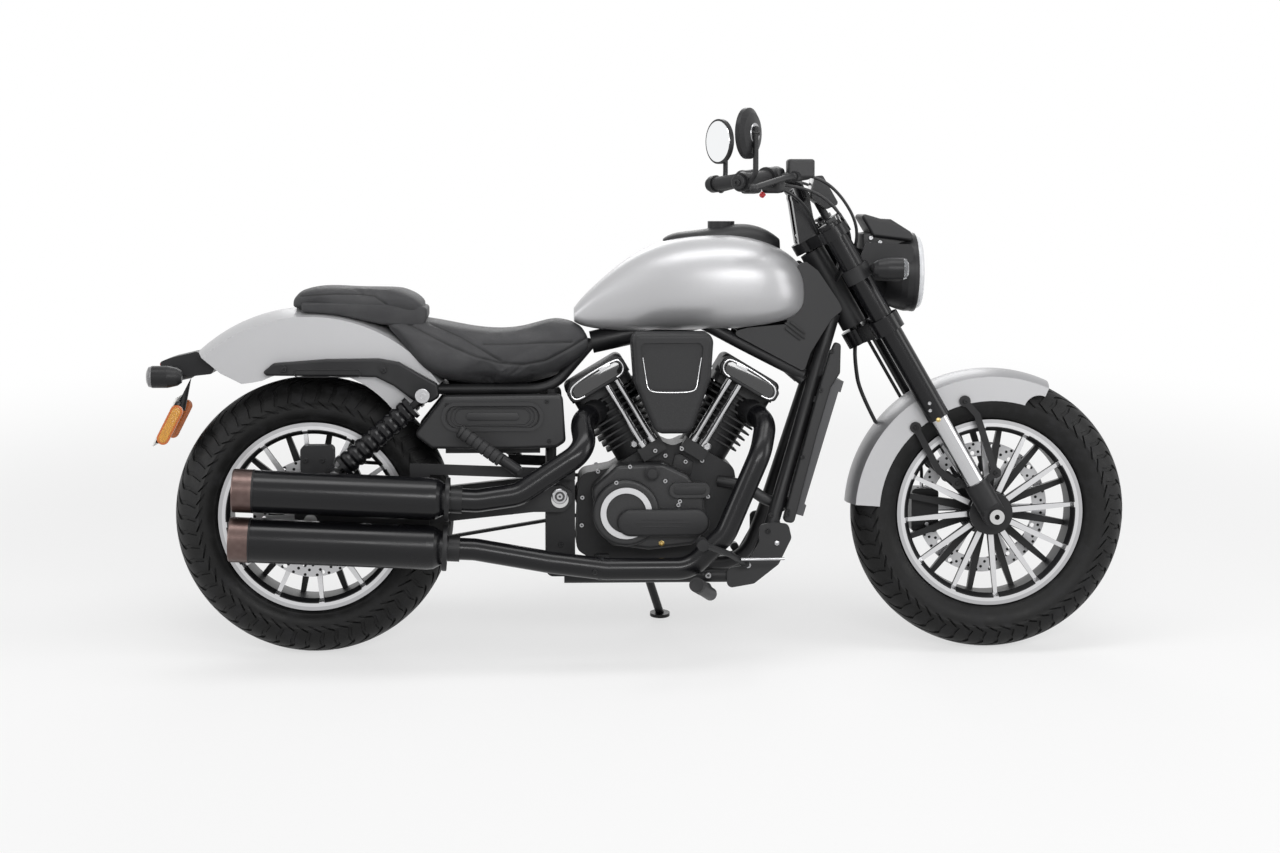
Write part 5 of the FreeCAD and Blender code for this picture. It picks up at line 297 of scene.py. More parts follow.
# Radiator: a dark aluminium core of thin upright fins between its tanks.
# The fins are a fine wave across the machine, and the gaps between them are painted darker as painted shade.
FIN_WAVE = 2500.0
core = Finish("radiator core", (0.03, 0.03, 0.032), Metallic=0.6, Roughness=0.45)
ahead, across, above = core.axes()
fins = core.make("ShaderNodeMath", {"operation": "SINE"}, {0: across * FIN_WAVE})
# Painted shade: the base colour is darker in the gaps between the fins and lighter on their edges.
core.set(Base_Color=core.mix(core.step(fins, -0.2, 0.6), (0.012, 0.012, 0.013), (0.075, 0.075, 0.078)))
core.bump(fins, 0.0004)
core.on("radiator")

# Bodywork: the tank and both fenders are pressed steel in satin silver-grey with fine flakes.
# The front fender's rolled crown is painted darker than its flat sides, as painted shade.
silver_paint = Finish("silver-grey paint", Metallic=0.35, Roughness=0.36, Coat_Weight=0.25,
                      Coat_Roughness=0.3)
flake = silver_paint.noise(2600.0, 1.0)
silver_paint.set(Base_Color=silver_paint.mix(silver_paint.step(flake, 0.4, 0.7), (0.42, 0.42, 0.43),
                                             (0.5, 0.5, 0.51)))
silver_paint.bump(flake, 0.00002)
silver_paint.on("fuel_tank", "rear_fender")
CROWN_EDGE = 0.3195
crown_shade_paint = Finish("silver-grey paint with painted crown shade", Metallic=0.35, Roughness=0.36, Coat_Weight=0.25,
                     Coat_Roughness=0.3)
ahead, across, above = crown_shade_paint.axes((WHEELBASE, 0, FRONT_AXLE_HEIGHT))
# Painted shade: beyond this radius the rolled crown gets a darker base colour than the flat sides.
crown = crown_shade_paint.step((ahead * ahead + above * above) ** 0.5, CROWN_EDGE - 0.003, CROWN_EDGE)
flake = crown_shade_paint.noise(2600.0, 1.0)
crown_shade_paint.set(Base_Color=crown_shade_paint.mix(crown, (0.47, 0.47, 0.48), (0.27, 0.27, 0.28)))
crown_shade_paint.bump(flake, 0.00002)
crown_shade_paint.on("front_fender")

# Bright parts: hard-chromed fork legs and pushrod tubes, and turned steel spindles.
# Each brake disc has rings of small drilled holes, in rows that are turned from one another; the holes are
# dark dots of painted shade on the solid disc.
chrome = Finish("hard chrome", (0.52, 0.52, 0.53), Metallic=1.0, Roughness=0.16)
chrome.bump(chrome.noise(300.0, 2.0), 0.00001)
chrome.on("fork_lower_legs", "pushrod_tubes")
steel = Finish("turned steel", (0.5, 0.5, 0.5), Metallic=1.0, Roughness=0.32)
steel.bump(steel.noise(800.0, 2.0), 0.00004)
steel.on("front_axle", "rear_axle")
DRILLED_ROWS = ((0.108, 0.0), (0.1195, 0.33), (0.131, 0.66), (0.1425, 0.0), (0.150, 0.33))
DRILLED = 30
DRILL_RADIUS = 0.0034
TURNING_WAVE = 7000.0
for node, x, z in (("front_disc", WHEELBASE, FRONT_AXLE_HEIGHT), ("rear_disc", 0.0, TYRE_RADIUS)):
    disc = Finish(node.replace("_", " ") + " steel", Metallic=1.0, Roughness=0.34)
    ahead, across, above = disc.axes((x, 0, z))
    radius = (ahead * ahead + above * above) ** 0.5
    angle = above.calc("ARCTAN2", above, ahead)
    painted_hole_shade = None
    for row, shift in DRILLED_ROWS:
        step = 2 * math.pi / DRILLED
        along = ((angle + (2 * math.pi + shift * step)) % step - step / 2) * row
        hole_shade_dot = ((along * along + (radius - row) * (radius - row)) ** 0.5) < DRILL_RADIUS
        painted_hole_shade = hole_shade_dot if painted_hole_shade is None else painted_hole_shade.calc("MAXIMUM", painted_hole_shade, hole_shade_dot)
    turned = disc.make("ShaderNodeMath", {"operation": "SINE"}, {0: radius * TURNING_WAVE})
    # Painted shade: near-black dots stand in for the drilled holes.
    disc.set(Base_Color=disc.mix(painted_hole_shade, (0.5, 0.5, 0.51), (0.02, 0.02, 0.02)))
    disc.bump(turned, 0.00001)
    disc.on(node)

# Tyres: black rubber on a wide crown, with slanted zigzag grooves cut from the shoulders to the middle.
# The section is spun round the spindle, its rings are turned so that the grooves slant, and the grooves are
# pressed in. The side walls carry fine rings and no lettering.
RIM_FLANGE_RADIUS = 0.2173
BEAD_RADIUS = 0.2043
SIDEWALL_BULGE = 0.003
GROOVES = 54
STEPS_PER_GROOVE = 7
GROOVE_DEPTH = 0.0035
GROOVE_SLANT = 0.21
GROOVE_ZIG = 0.035
CROWN_STEPS = 12
SIDE_STEPS = 14
SHOULDER_RING = 0.0018
BEAD_INSET = 0.0063
GROOVE_TOP = 0.016
SLANT_TOP = 0.03
ZIG_SHARES = (0.45, 0.75)
ZIG_SHARPNESS = 9
SHORT_GROOVE_SHARE = 0.42
PLAIN_MIDDLE_SHARE = 0.1


def only(obj):
    """Selects one object and makes it the active one."""
    bpy.ops.object.select_all(action="DESELECT")
    obj.select_set(True)
    bpy.context.view_layer.objects.active = obj
    return obj


def settle(obj, name, finish, body):
    """Puts a piece from the upright frame in its place, with its finish and the body it rides on."""
    only(obj)
    obj.data.transform(LEANED @ obj.matrix_world)
    obj.matrix_world = Matrix.Identity(4)
    obj.name = obj.data.name = name
    if finish:
        obj.data.materials.clear()
        obj.data.materials.append(finish.material)
    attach(obj, body)


def smooth(obj, degrees=35):
    only(obj)
    bpy.ops.object.shade_smooth_by_angle(angle=math.radians(degrees))


def circle_through(first, middle, last, share):
    """A point on the arc through three points of a section, at a share of its turn."""
    (ax, ay), (bx, by), (cx, cy) = first, middle, last
    d = 2 * (ax * (by - cy) + bx * (cy - ay) + cx * (ay - by))
    a2, b2, c2 = ax * ax + ay * ay, bx * bx + by * by, cx * cx + cy * cy
    ux = (a2 * (by - cy) + b2 * (cy - ay) + c2 * (ay - by)) / d
    uy = (a2 * (cx - bx) + b2 * (ax - cx) + c2 * (bx - ax)) / d
    start, end = math.atan2(ay - uy, ax - ux), math.atan2(cy - uy, cx - ux)
    turn = (end - start + math.pi) % (2 * math.pi) - math.pi
    radius = math.hypot(ax - ux, ay - uy)
    angle = start + share * turn
    return ux + radius * math.cos(angle), uy + radius * math.sin(angle)


def tyre(name, body, x, height, width, crown, rim_width):
    half = width / 2
    shoulder = TYRE_RADIUS - crown + math.sqrt(crown ** 2 - half ** 2)
    bead = rim_width / 2 - BEAD_INSET
    section = [(bead, BEAD_RADIUS)]
    middle = (half + SIDEWALL_BULGE, (RIM_FLANGE_RADIUS + shoulder) / 2)
    for number in range(SIDE_STEPS + 1):
        y, radius = circle_through((bead, RIM_FLANGE_RADIUS), middle, (half, shoulder), number / SIDE_STEPS)
        raised = SHOULDER_RING if number in (2, 3, SIDE_STEPS - 2) else 0
        section.append((y + raised, radius))
    for number in range(1, CROWN_STEPS + 1):
        y = half * (1 - number / CROWN_STEPS)
        section.append((y, TYRE_RADIUS - crown + math.sqrt(crown ** 2 - y ** 2)))
    section += [(-y, radius) for y, radius in reversed(section[:-1])]
    rings = len(section)
    bpy.ops.mesh.primitive_circle_add(vertices=rings)
    obj = bpy.context.object
    for vertex, (y, radius) in zip(obj.data.vertices, section):
        vertex.co = (0, y, radius)
    steps = GROOVES * STEPS_PER_GROOVE
    bpy.ops.object.mode_set(mode="EDIT")
    bpy.ops.mesh.select_all(action="SELECT")
    bpy.ops.mesh.spin(steps=steps, angle=2 * math.pi, center=(0, 0, 0), axis=(0, 1, 0))
    bpy.ops.mesh.select_all(action="SELECT")
    bpy.ops.mesh.remove_doubles(threshold=0.00005)
    bpy.ops.mesh.normals_make_consistent(inside=False)
    bpy.ops.mesh.select_mode(type="FACE")
    bpy.ops.object.mode_set(mode="OBJECT")
    pitch = 2 * math.pi / GROOVES
    for face in obj.data.polygons:
        middle = face.center
        spread = abs(middle.y) / half
        angle = math.atan2(middle.x, middle.z) + (pitch / 2 if middle.y > 0 else 0)
        column = int((angle % (2 * math.pi)) / (pitch / STEPS_PER_GROOVE))
        inside = math.hypot(middle.x, middle.z) > shoulder - GROOVE_TOP and spread > PLAIN_MIDDLE_SHARE
        short = (column // STEPS_PER_GROOVE) % 2 == 1 and spread < SHORT_GROOVE_SHARE
        face.select = inside and column % STEPS_PER_GROOVE in (0, 1) and not short
    for vertex in obj.data.vertices:
        spread = min(abs(vertex.co.y) / half, 1.0)
        radius = math.hypot(vertex.co.x, vertex.co.z)
        if radius > shoulder - SLANT_TOP:
            zig, zag = (GROOVE_ZIG * math.tanh((spread - share) * ZIG_SHARPNESS) for share in ZIG_SHARES)
            rise = min(1.0, (radius - shoulder + SLANT_TOP) / SLANT_TOP)
            turn = -(GROOVE_SLANT * spread + zig - zag) * rise
            vertex.co = Matrix.Rotation(turn, 3, "Y") @ vertex.co
    bpy.ops.object.mode_set(mode="EDIT")
    bpy.ops.mesh.inset(thickness=0.0006, depth=-GROOVE_DEPTH, use_boundary=False)
    bpy.ops.object.mode_set(mode="OBJECT")
    obj.location = (x, 0, height)
    bpy.context.view_layer.update()
    smooth(obj, 28)
    settle(obj, name + "_tread", tyre_rubber, body)
    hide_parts(name)


tyre_rubber = Finish("tyre rubber", Roughness=0.5, Specular_IOR_Level=0.22)
dust = tyre_rubber.noise(26.0, 4.0, 0.6)
tyre_rubber.set(Base_Color=tyre_rubber.mix(tyre_rubber.step(dust, 0.45, 0.75), (0.007, 0.007, 0.007),
                                           (0.016, 0.016, 0.017)),
                Roughness=tyre_rubber.step(dust, 0.35, 0.7, 0.44, 0.62))
tyre_rubber.bump(tyre_rubber.noise(700.0, 3.0), 0.00008)
tyre("front_tyre", "front_wheel", WHEELBASE, FRONT_AXLE_HEIGHT, 0.130, 0.072, 0.096)
tyre("rear_tyre", "rear_wheel", 0.0, TYRE_RADIUS, 0.150, 0.080, 0.124)

# Wheels: cast aluminium in satin black. The right face of the rim's lip and of the twelve near spokes is
# turned bright, with the tool's fine rings, and the far spokes stay black.
SPOKES = 12
FIRST_SPOKE = math.radians(5.0)
SPOKE_HALF = 0.0062
HUB_EDGE = 0.052
LIP_INNER = 0.2005
LIP_HIGHLIGHT_EDGE = 0.2085
LIP_DEPTH = 0.003
SPOKE_DEPTH = 0.0116
CUTTING_WAVE = 9000.0
for name, x, z, rim_half in (("front_wheel", WHEELBASE, FRONT_AXLE_HEIGHT, 0.048),
                             ("rear_wheel", 0.0, TYRE_RADIUS, 0.062)):
    wheel = Finish(name.replace("_", " ") + " casting", Specular_IOR_Level=0.35)
    ahead, across, above = wheel.axes((x, 0, z))
    radius = (ahead * ahead + above * above) ** 0.5
    angle = above.calc("ARCTAN2", above, ahead)
    pitch = 2 * math.pi / SPOKES
    from_spoke = abs((angle - FIRST_SPOKE + pitch / 2) % pitch - pitch / 2) * radius
    near = across < SPOKE_DEPTH - rim_half
    on_spoke = (from_spoke < SPOKE_HALF) * (radius < LIP_INNER) * (radius > HUB_EDGE) * near
    lip = (radius > LIP_INNER) * (across < LIP_DEPTH - rim_half)
    bright = lip.calc("MAXIMUM", on_spoke, lip)
    rings = wheel.make("ShaderNodeMath", {"operation": "SINE"}, {0: radius * CUTTING_WAVE})
    # Painted highlight: the lip's inner band is painted lighter than its outer band.
    turned_tone_with_highlight = wheel.mix((radius > LIP_HIGHLIGHT_EDGE) * lip, (0.60, 0.60, 0.61), (0.42, 0.42, 0.43))
    wheel.set(Base_Color=wheel.mix(bright, (0.008, 0.008, 0.009), turned_tone_with_highlight), Metallic=bright,
              Roughness=bright * -0.12 + 0.4)
    wheel.bump(rings * bright, 0.00001)
    wheel.on(name)

# Rubber trim: the grips, the belt and the brake hose are moulded black rubber.
# It is matt, with a fine grain.
rubber = Finish("moulded rubber", (0.02, 0.02, 0.021), Roughness=0.6, Specular_IOR_Level=0.3)
rubber.bump(rubber.noise(500.0, 3.0), 0.0001)
rubber.on("grips", "drive_belt", "brake_hose")

# Seats: foam pads under dark leather, sewn from a top panel and side panels. Each starts from the pad's
# plain form, slightly smaller, swells under its cover, then the seams are drawn in with painted shade, and
# the grain added.
SEAT_VOXEL = 0.005
SEAT_SHRINK = 0.004
SEAT_SWELL_FRAMES = 20
SEAT_SWELL_CAP = 0.007
SEAM_DEPTH = 0.0028
SEAM_REACH = 0.0032
leather = Finish("seat leather", Specular_IOR_Level=0.35, Roughness=0.52)
cells = leather.make("ShaderNodeTexVoronoi", {"feature": "DISTANCE_TO_EDGE"},
                     {"Vector": leather.place(), "Scale": 520.0})
pores = leather.step(cells, 0.0, 0.28)
# Painted shade: the leather is painted near-black along the bottom of each seam's crease.
seam_shade_mask = leather.make("ShaderNodeAttribute", {"attribute_name": "seam"}, {}, 2)
shade = leather.noise(14.0, 3.0)
hide = leather.mix(leather.step(shade, 0.35, 0.7), (0.030, 0.030, 0.032), (0.042, 0.042, 0.044))
leather.set(Base_Color=leather.mix(seam_shade_mask, hide, (0.006, 0.006, 0.006)),
            Roughness=leather.step(pores, 0.0, 1.0, 0.62, 0.46))
leather.bump(pores, 0.00022)


def from_polyline(x, z, line):
    """The shortest way in the side view from a point to a line of points."""
    best = 1.0
    for (ax, az), (bx, bz) in zip(line, line[1:]):
        dx, dz = bx - ax, bz - az
        share = max(0.0, min(1.0, ((x - ax) * dx + (z - az) * dz) / (dx * dx + dz * dz)))
        best = min(best, math.hypot(x - ax - share * dx, z - az - share * dz))
    return best


def pad(node, seams, low_width):
    source = frame["nodes"][node]
    bpy.ops.object.select_all(action="DESELECT")
    obj = bpy.data.objects.new(node + "_cover", source.data.copy())
    bpy.context.collection.objects.link(obj)
    only(obj)
    obj.data.transform(LEANED.inverted())
    bpy.ops.object.mode_set(mode="EDIT")
    bpy.ops.mesh.select_all(action="SELECT")
    bpy.ops.mesh.remove_doubles(threshold=0.0001)
    bpy.ops.object.mode_set(mode="OBJECT")
    remesh = obj.modifiers.new("even mesh", "REMESH")
    remesh.mode, remesh.voxel_size, remesh.use_smooth_shade = "VOXEL", SEAT_VOXEL, True
    bpy.ops.object.modifier_apply(modifier=remesh.name)
    shrink = obj.modifiers.new("room to swell", "DISPLACE")
    shrink.strength, shrink.mid_level = -SEAT_SHRINK, 0.0
    bpy.ops.object.modifier_apply(modifier=shrink.name)
    even = obj.modifiers.new("eased edges", "SMOOTH")
    even.iterations, even.factor = 6, 0.6
    bpy.ops.object.modifier_apply(modifier=even.name)
    start = [vertex.co.copy() for vertex in obj.data.vertices]
    cloth = obj.modifiers.new("swell", "CLOTH")
    cloth.settings.use_pressure = True
    cloth.settings.uniform_pressure_force = 4
    cloth.settings.effector_weights.gravity = 0
    cloth.settings.quality = 5
    scene = bpy.context.scene
    for number in range(1, SEAT_SWELL_FRAMES + 1):
        scene.frame_set(number)
    bpy.ops.object.modifier_apply(modifier=cloth.name)
    scene.frame_set(1)
    for vertex, place in zip(obj.data.vertices, start):
        move = vertex.co - place
        if move.length > SEAT_SWELL_CAP:
            vertex.co = place + move.normalized() * SEAT_SWELL_CAP
    finer = obj.modifiers.new("fine cover", "SUBSURF")
    finer.levels = finer.render_levels = 1
    bpy.ops.object.modifier_apply(modifier=finer.name)
    attribute = obj.data.attributes.new("seam", "FLOAT", "POINT")
    normals = [vertex.normal.copy() for vertex in obj.data.vertices]
    for number, vertex in enumerate(obj.data.vertices):
        if abs(vertex.co.y) < low_width:
            continue
        away = min(from_polyline(vertex.co.x, vertex.co.z, line) for line in seams)
        if away < 4 * SEAM_REACH:
            depth = math.exp(-(away / SEAM_REACH) ** 2)
            vertex.co -= normals[number] * SEAM_DEPTH * depth
            # The seam attribute holds the painted shade, narrower than the crease.
            attribute.data[number].value = math.exp(-(away / (0.4 * SEAM_REACH)) ** 2)
    smooth(obj, 60)
    settle(obj, node + "_cover", leather, "chassis")
    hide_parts(node)


pad("rider_seat", [[(0.183, 0.776), (0.215, 0.768), (0.262, 0.744), (0.315, 0.716), (0.375, 0.691),
                    (0.430, 0.676), (0.484, 0.671), (0.536, 0.680), (0.584, 0.704), (0.636, 0.735)],
                   [(0.270, 0.766), (0.345, 0.734), (0.430, 0.681)], [(0.392, 0.720), (0.593, 0.720)]], 0.05)
pad("pillion_seat", [[(-0.025, 0.827), (0.060, 0.832), (0.114, 0.832), (0.145, 0.828), (0.171, 0.808),
                      (0.182, 0.780)]], 0.05)

# Front lenses and number plate: the headlamp and the front signals have clear moulded lenses.
# The plate is a blank white sheet.
lens = Finish("clear lens", (0.85, 0.87, 0.9), Roughness=0.05, Transmission_Weight=0.9)
lens.on("front_lenses")
white = Finish("plate white", (0.78, 0.78, 0.76), Roughness=0.4)
white.on("number_plate")

# Engine screws: zinc-plated cap screws hold the engine's covers on both sides.
# A screw is turned from its section, and a line square to the machine's side seats it on its casting.
RIGHT_COVERS = ("engine_crankcase", "right_engine_cover")
LEFT_COVERS = ("engine_crankcase", "left_engine_covers")
SCREW_PLACES = ((0.6806, 0.4398), (0.723, 0.4411), (0.7823, 0.4736), (0.8074, 0.4593), (0.8429, 0.4779),
                (0.8537, 0.445), (0.8918, 0.4472), (0.8031, 0.4082), (0.8329, 0.3533), (0.8364, 0.3619),
                (0.9056, 0.3641), (0.9316, 0.3978), (0.6525, 0.4234), (0.6165, 0.3632), (0.6148, 0.2992))
FAR = 2.0


def nearest(point, *names):
    """The place on these CAD pieces that lies nearest to a point."""
    best = None
    for name in names:
        found, place, normal, face = frame["nodes"][name].closest_point_on_mesh(LEANED @ Vector(point))
        place = LEANED.inverted() @ place
        if found and (best is None or (place - Vector(point)).length < (best - Vector(point)).length):
            best = place
    return best


def touch(start, ray, names):
    """Where a line first meets one of the CAD pieces of these names, or else their place nearest to it."""
    best = None
    for name in names:
        found, place, normal, face = frame["nodes"][name].ray_cast(LEANED @ start, LEANED.to_3x3() @ ray)
        place = LEANED.inverted() @ place
        if found and (best is None or (place - start).length < (best - start).length):
            best = place
    return best or nearest(start - ray * start.dot(ray) * 0.9, *names)


def skin(x, z, names, way=-1):
    """Where a line square to the machine's side first meets one of the CAD pieces."""
    return touch(Vector((x, FAR * way, z)), Vector((0, -way, 0)), names)


def spun(section, place, axis, steps=40):
    """A body turned about an axis. Its closed section is pairs of a distance along the axis and a radius."""
    bpy.ops.mesh.primitive_circle_add(vertices=len(section))
    obj = bpy.context.object
    for vertex, (along, radius) in zip(obj.data.vertices, section):
        vertex.co = (0, radius, along)
    bpy.ops.object.mode_set(mode="EDIT")
    bpy.ops.mesh.select_all(action="SELECT")
    bpy.ops.mesh.spin(steps=steps, angle=2 * math.pi, center=(0, 0, 0), axis=(0, 0, 1))
    bpy.ops.mesh.select_all(action="SELECT")
    bpy.ops.mesh.remove_doubles(threshold=0.00002)
    bpy.ops.mesh.normals_make_consistent(inside=False)
    bpy.ops.object.mode_set(mode="OBJECT")
    obj.matrix_world = Matrix.Translation(place) @ Vector(axis).to_track_quat("Z", "Y").to_matrix().to_4x4()
    smooth(obj)
    return obj


def joined(pieces):
    only(pieces[0])
    for piece in pieces:
        piece.select_set(True)
    bpy.ops.object.join()
    return bpy.context.object


def screw(place, axis=(0, -1, 0), radius=0.0055, height=0.005, sockets=None):
    """A cap screw with a socket, its foot on the place. The socket's floor, a dark disc of painted shade,
    joins the list of sockets.
    """
    if sockets is not None:
        # Painted shade: a dark disc on the socket's floor.
        sockets.append(spun([(-0.001, 0), (-0.001, radius * 0.47), (height * 0.4, radius * 0.47),
                             (height * 0.4, 0)], place, axis, 6))
    return spun([(-0.001, 0), (-0.001, radius), (height * 0.7, radius), (height, radius * 0.82),
                 (height, radius * 0.5), (height * 0.35, radius * 0.45), (height * 0.35, 0)], place, axis, 16)


zinc = Finish("bright zinc", (0.42, 0.42, 0.43), Metallic=1.0, Roughness=0.3)
zinc.bump(zinc.noise(1500.0, 2.0), 0.00002)
sockets = []
case_screws = [screw(skin(x, z, RIGHT_COVERS), sockets=sockets) for x, z in SCREW_PLACES]
case_screws += [screw(skin(x, z, LEFT_COVERS, 1), (0, 1, 0), sockets=sockets) for x, z in SCREW_PLACES[::2]]
settle(joined(case_screws), "case_screws", zinc, "chassis")

# Rocker covers and air cleaner: each rocker cover has a glossy black insert with a polished line round it
# and a short bright bar, and the air cleaner's recess has a polished line. The plates are cut along each
# cylinder's lean.
CRANK = Vector((0.824, 0, 0.345))
CYLINDER_LEAN = math.radians(31)
INSERT_HALF = 0.076
INSERT_FOOT = 0.316
INSERT_RISE = 0.048
LINE_FACE, INSERT_FACE, BAR_FACE = -0.1035, -0.1048, -0.1062
LINE_RADIUS = 0.0022
LINE_FLAT = 0.8
LINE_SHARES = ((0.56, 0.10), (0.76, 0.10), (0.90, 0.26), (0.90, 0.58), (0.67, 0.89), (-0.78, 0.89),
               (-0.90, 0.66), (-0.90, 0.36), (-0.76, 0.10), (-0.56, 0.10))
INSERT_SHARES = ((-0.72, 0.16), (-0.82, 0.38), (-0.82, 0.64), (-0.72, 0.80), (0.62, 0.80), (0.82, 0.54),
                 (0.82, 0.30), (0.72, 0.16))
BAR_CORNERS = ((-0.044, 0.034), (-0.016, 0.034), (-0.016, 0.041), (-0.044, 0.041))
RECESS = ((0.7495, 0.6917), (0.7570, 0.6420), (0.7607, 0.6233), (0.7703, 0.6143), (0.8153, 0.6130),
          (0.8600, 0.6143), (0.8703, 0.6233), (0.8740, 0.6420), (0.8820, 0.6917))
RECESS_LINE_RADIUS = 0.0014
RECESS_LINE_PROUD = 0.0008


def cut_plate(points, y, depth, edge, about=None):
    """A plate seen from the side: the outline, its outer face's Y, its depth inward and its rounded edge."""
    bpy.ops.mesh.primitive_circle_add(vertices=len(points), fill_type="NGON")
    obj = bpy.context.object
    for vertex, (x, z) in zip(obj.data.vertices, points):
        vertex.co = (x, y, z)
    bpy.ops.object.mode_set(mode="EDIT")
    bpy.ops.mesh.select_all(action="SELECT")
    bpy.ops.mesh.extrude_region_move(TRANSFORM_OT_translate={"value": (0, depth, 0)})
    bpy.ops.mesh.select_all(action="SELECT")
    bpy.ops.mesh.normals_make_consistent(inside=False)
    bpy.ops.object.mode_set(mode="OBJECT")
    bevel = obj.modifiers.new("edge", "BEVEL")
    bevel.width, bevel.segments, bevel.limit_method = edge, 3, "ANGLE"
    bpy.ops.object.modifier_apply(modifier=bevel.name)
    if about:
        obj.matrix_world = about
    smooth(obj, 40)
    return obj


def rail(points, radius, about=None, flat=1.0):
    """A round or flattened wire through the points."""
    while len(points) < 5:
        points = [points[0], points[0].lerp(points[1], 0.5)] + list(points[1:])
    bpy.ops.curve.primitive_nurbs_path_add()
    obj = bpy.context.object
    spline = obj.data.splines[0]
    spline.points.add(len(points) - len(spline.points))
    for knot, point in zip(spline.points, points):
        knot.co = (*point, 1)
    spline.order_u, spline.use_endpoint_u, spline.resolution_u = 3, True, 6
    obj.data.bevel_depth, obj.data.bevel_resolution, obj.data.use_fill_caps = radius, 4, True
    only(obj)
    bpy.ops.object.convert(target="MESH")
    obj = bpy.context.object
    if flat != 1.0:
        middle = sum((Vector(point) for point in points), Vector()) / len(points)
        for vertex in obj.data.vertices:
            vertex.co.y = middle.y + (vertex.co.y - middle.y) * flat
    if about:
        obj.matrix_world = about
    smooth(obj, 60)
    return obj


bright = Finish("polished line", (0.66, 0.66, 0.67), Metallic=1.0, Roughness=0.16)
bright.bump(bright.noise(900.0, 2.0), 0.00001)
gloss = Finish("gloss black enamel", (0.006, 0.006, 0.007), Roughness=0.12, Coat_Weight=1.0,
               Coat_Roughness=0.05)
gloss.bump(gloss.noise(30.0, 2.0), 0.00006)
lines, inserts = [], []
for way in (-1, 1):
    about = Matrix.Translation(CRANK) @ Matrix.Rotation(way * CYLINDER_LEAN, 4, "Y")
    path = [Vector((way * INSERT_HALF * a, LINE_FACE, INSERT_FOOT + INSERT_RISE * b)) for a, b in LINE_SHARES]
    lines.append(rail(path, LINE_RADIUS, about, LINE_FLAT))
    plate = [(way * INSERT_HALF * a, INSERT_FOOT + INSERT_RISE * b) for a, b in INSERT_SHARES]
    inserts.append(cut_plate(plate, INSERT_FACE, 0.004, 0.0012, about))
    bar = [(way * x, INSERT_FOOT + z) for x, z in BAR_CORNERS]
    lines.append(cut_plate(bar, BAR_FACE, 0.003, 0.0008, about))
settle(joined(inserts), "rocker_inserts", gloss, "chassis")
recess = [skin(x, z, ("air_cleaner",)) - Vector((0, RECESS_LINE_PROUD, 0)) for x, z in RECESS]
lines.append(rail(recess, RECESS_LINE_RADIUS))
settle(joined(lines), "engine_bright_lines", bright, "chassis")

# Lids on the right cover: a long lid with three ribs crosses the clutch's ring, and a short lid, a shield
# and the filler's round cap stand ahead of it. All are black castings cut from their outlines.
LONG_LID = (0.798, 0.316, 0.2096, 0.0616)
LONG_LID_FACE, LONG_LID_DEPTH, LONG_LID_EDGE = -0.1835, 0.0165, 0.007
RIB_MIDDLE, RIB_LENGTH, RIB_HEIGHT, RIB_PROUD = 0.795, 0.118, 0.0022, 0.0006
RIB_LEVELS = (-0.008, 0.0, 0.008)
SHORT_LID = (0.858, 0.388)
SHIELD = ((0.829, 0.462), (0.842, 0.464), (0.872, 0.445), (0.866, 0.412), (0.815, 0.410))
SHIELD_SEAT = (0.845, 0.435)
FILLER = (0.773, 0.427)


def stadium(x, z, length, height, steps=10):
    """The outline of a long round-ended plate."""
    half, radius = (length - height) / 2, height / 2
    points = []
    for number in range(2 * steps + 2):
        way = 1 if number <= steps else -1
        angle = math.pi * (number - (0 if way > 0 else 1)) / steps - math.pi / 2
        points.append((x + way * half + radius * math.cos(angle), z + radius * math.sin(angle)))
    return points


lids = [cut_plate(stadium(*LONG_LID, 16), LONG_LID_FACE, LONG_LID_DEPTH, LONG_LID_EDGE)]
for level in RIB_LEVELS:
    outline = stadium(RIB_MIDDLE, LONG_LID[1] + level, RIB_LENGTH - abs(level) * 3, RIB_HEIGHT, 4)
    lids.append(cut_plate(outline, LONG_LID_FACE - RIB_PROUD, 0.002, 0.0004))
lids.append(cut_plate(stadium(*SHORT_LID, 0.074, 0.020, 8), skin(*SHORT_LID, RIGHT_COVERS).y - 0.0018, 0.003,
                      0.0009))
lids.append(cut_plate(SHIELD, skin(*SHIELD_SEAT, RIGHT_COVERS).y - 0.003, 0.006, 0.0014))
lids.append(spun([(-0.002, 0), (-0.002, 0.0165), (0.001, 0.0165), (0.003, 0.0125), (0.0055, 0.0115),
                  (0.006, 0)], skin(*FILLER, RIGHT_COVERS), (0, -1, 0), 24))
settle(joined(lids), "case_ribs", cast_black, "chassis")

# Nuts and plug: a hexagon nut stands at the foot of each pair of pushrod tubes, and a brass drain plug
# closes the sump below the long lid.
TAPPET_SEATS = ("pushrod_tubes", "engine_crankcase", "cylinders")
tappet_nuts = [spun([(-0.004, 0), (-0.004, 0.0105), (0.004, 0.0105), (0.007, 0.007), (0.007, 0.003),
                     (0.003, 0.003), (0.003, 0)], skin(x, z, TAPPET_SEATS), (0, -1, 0), 6)
               for x, z in ((0.7365, 0.484), (0.9008, 0.4816))]
settle(joined(tappet_nuts), "tappet_nuts", zinc, "chassis")
brass = Finish("brass plug", (0.55, 0.42, 0.18), Metallic=1.0, Roughness=0.3)
brass.bump(brass.noise(900.0, 2.0), 0.00003)
drain = spun([(-0.002, 0), (-0.002, 0.007), (0.004, 0.007), (0.005, 0.005), (0.003, 0.003), (0.003, 0)],
             skin(0.7947, 0.2659, RIGHT_COVERS), (0, -1, 0), 6)
settle(drain, "drain_plug", brass, "chassis")

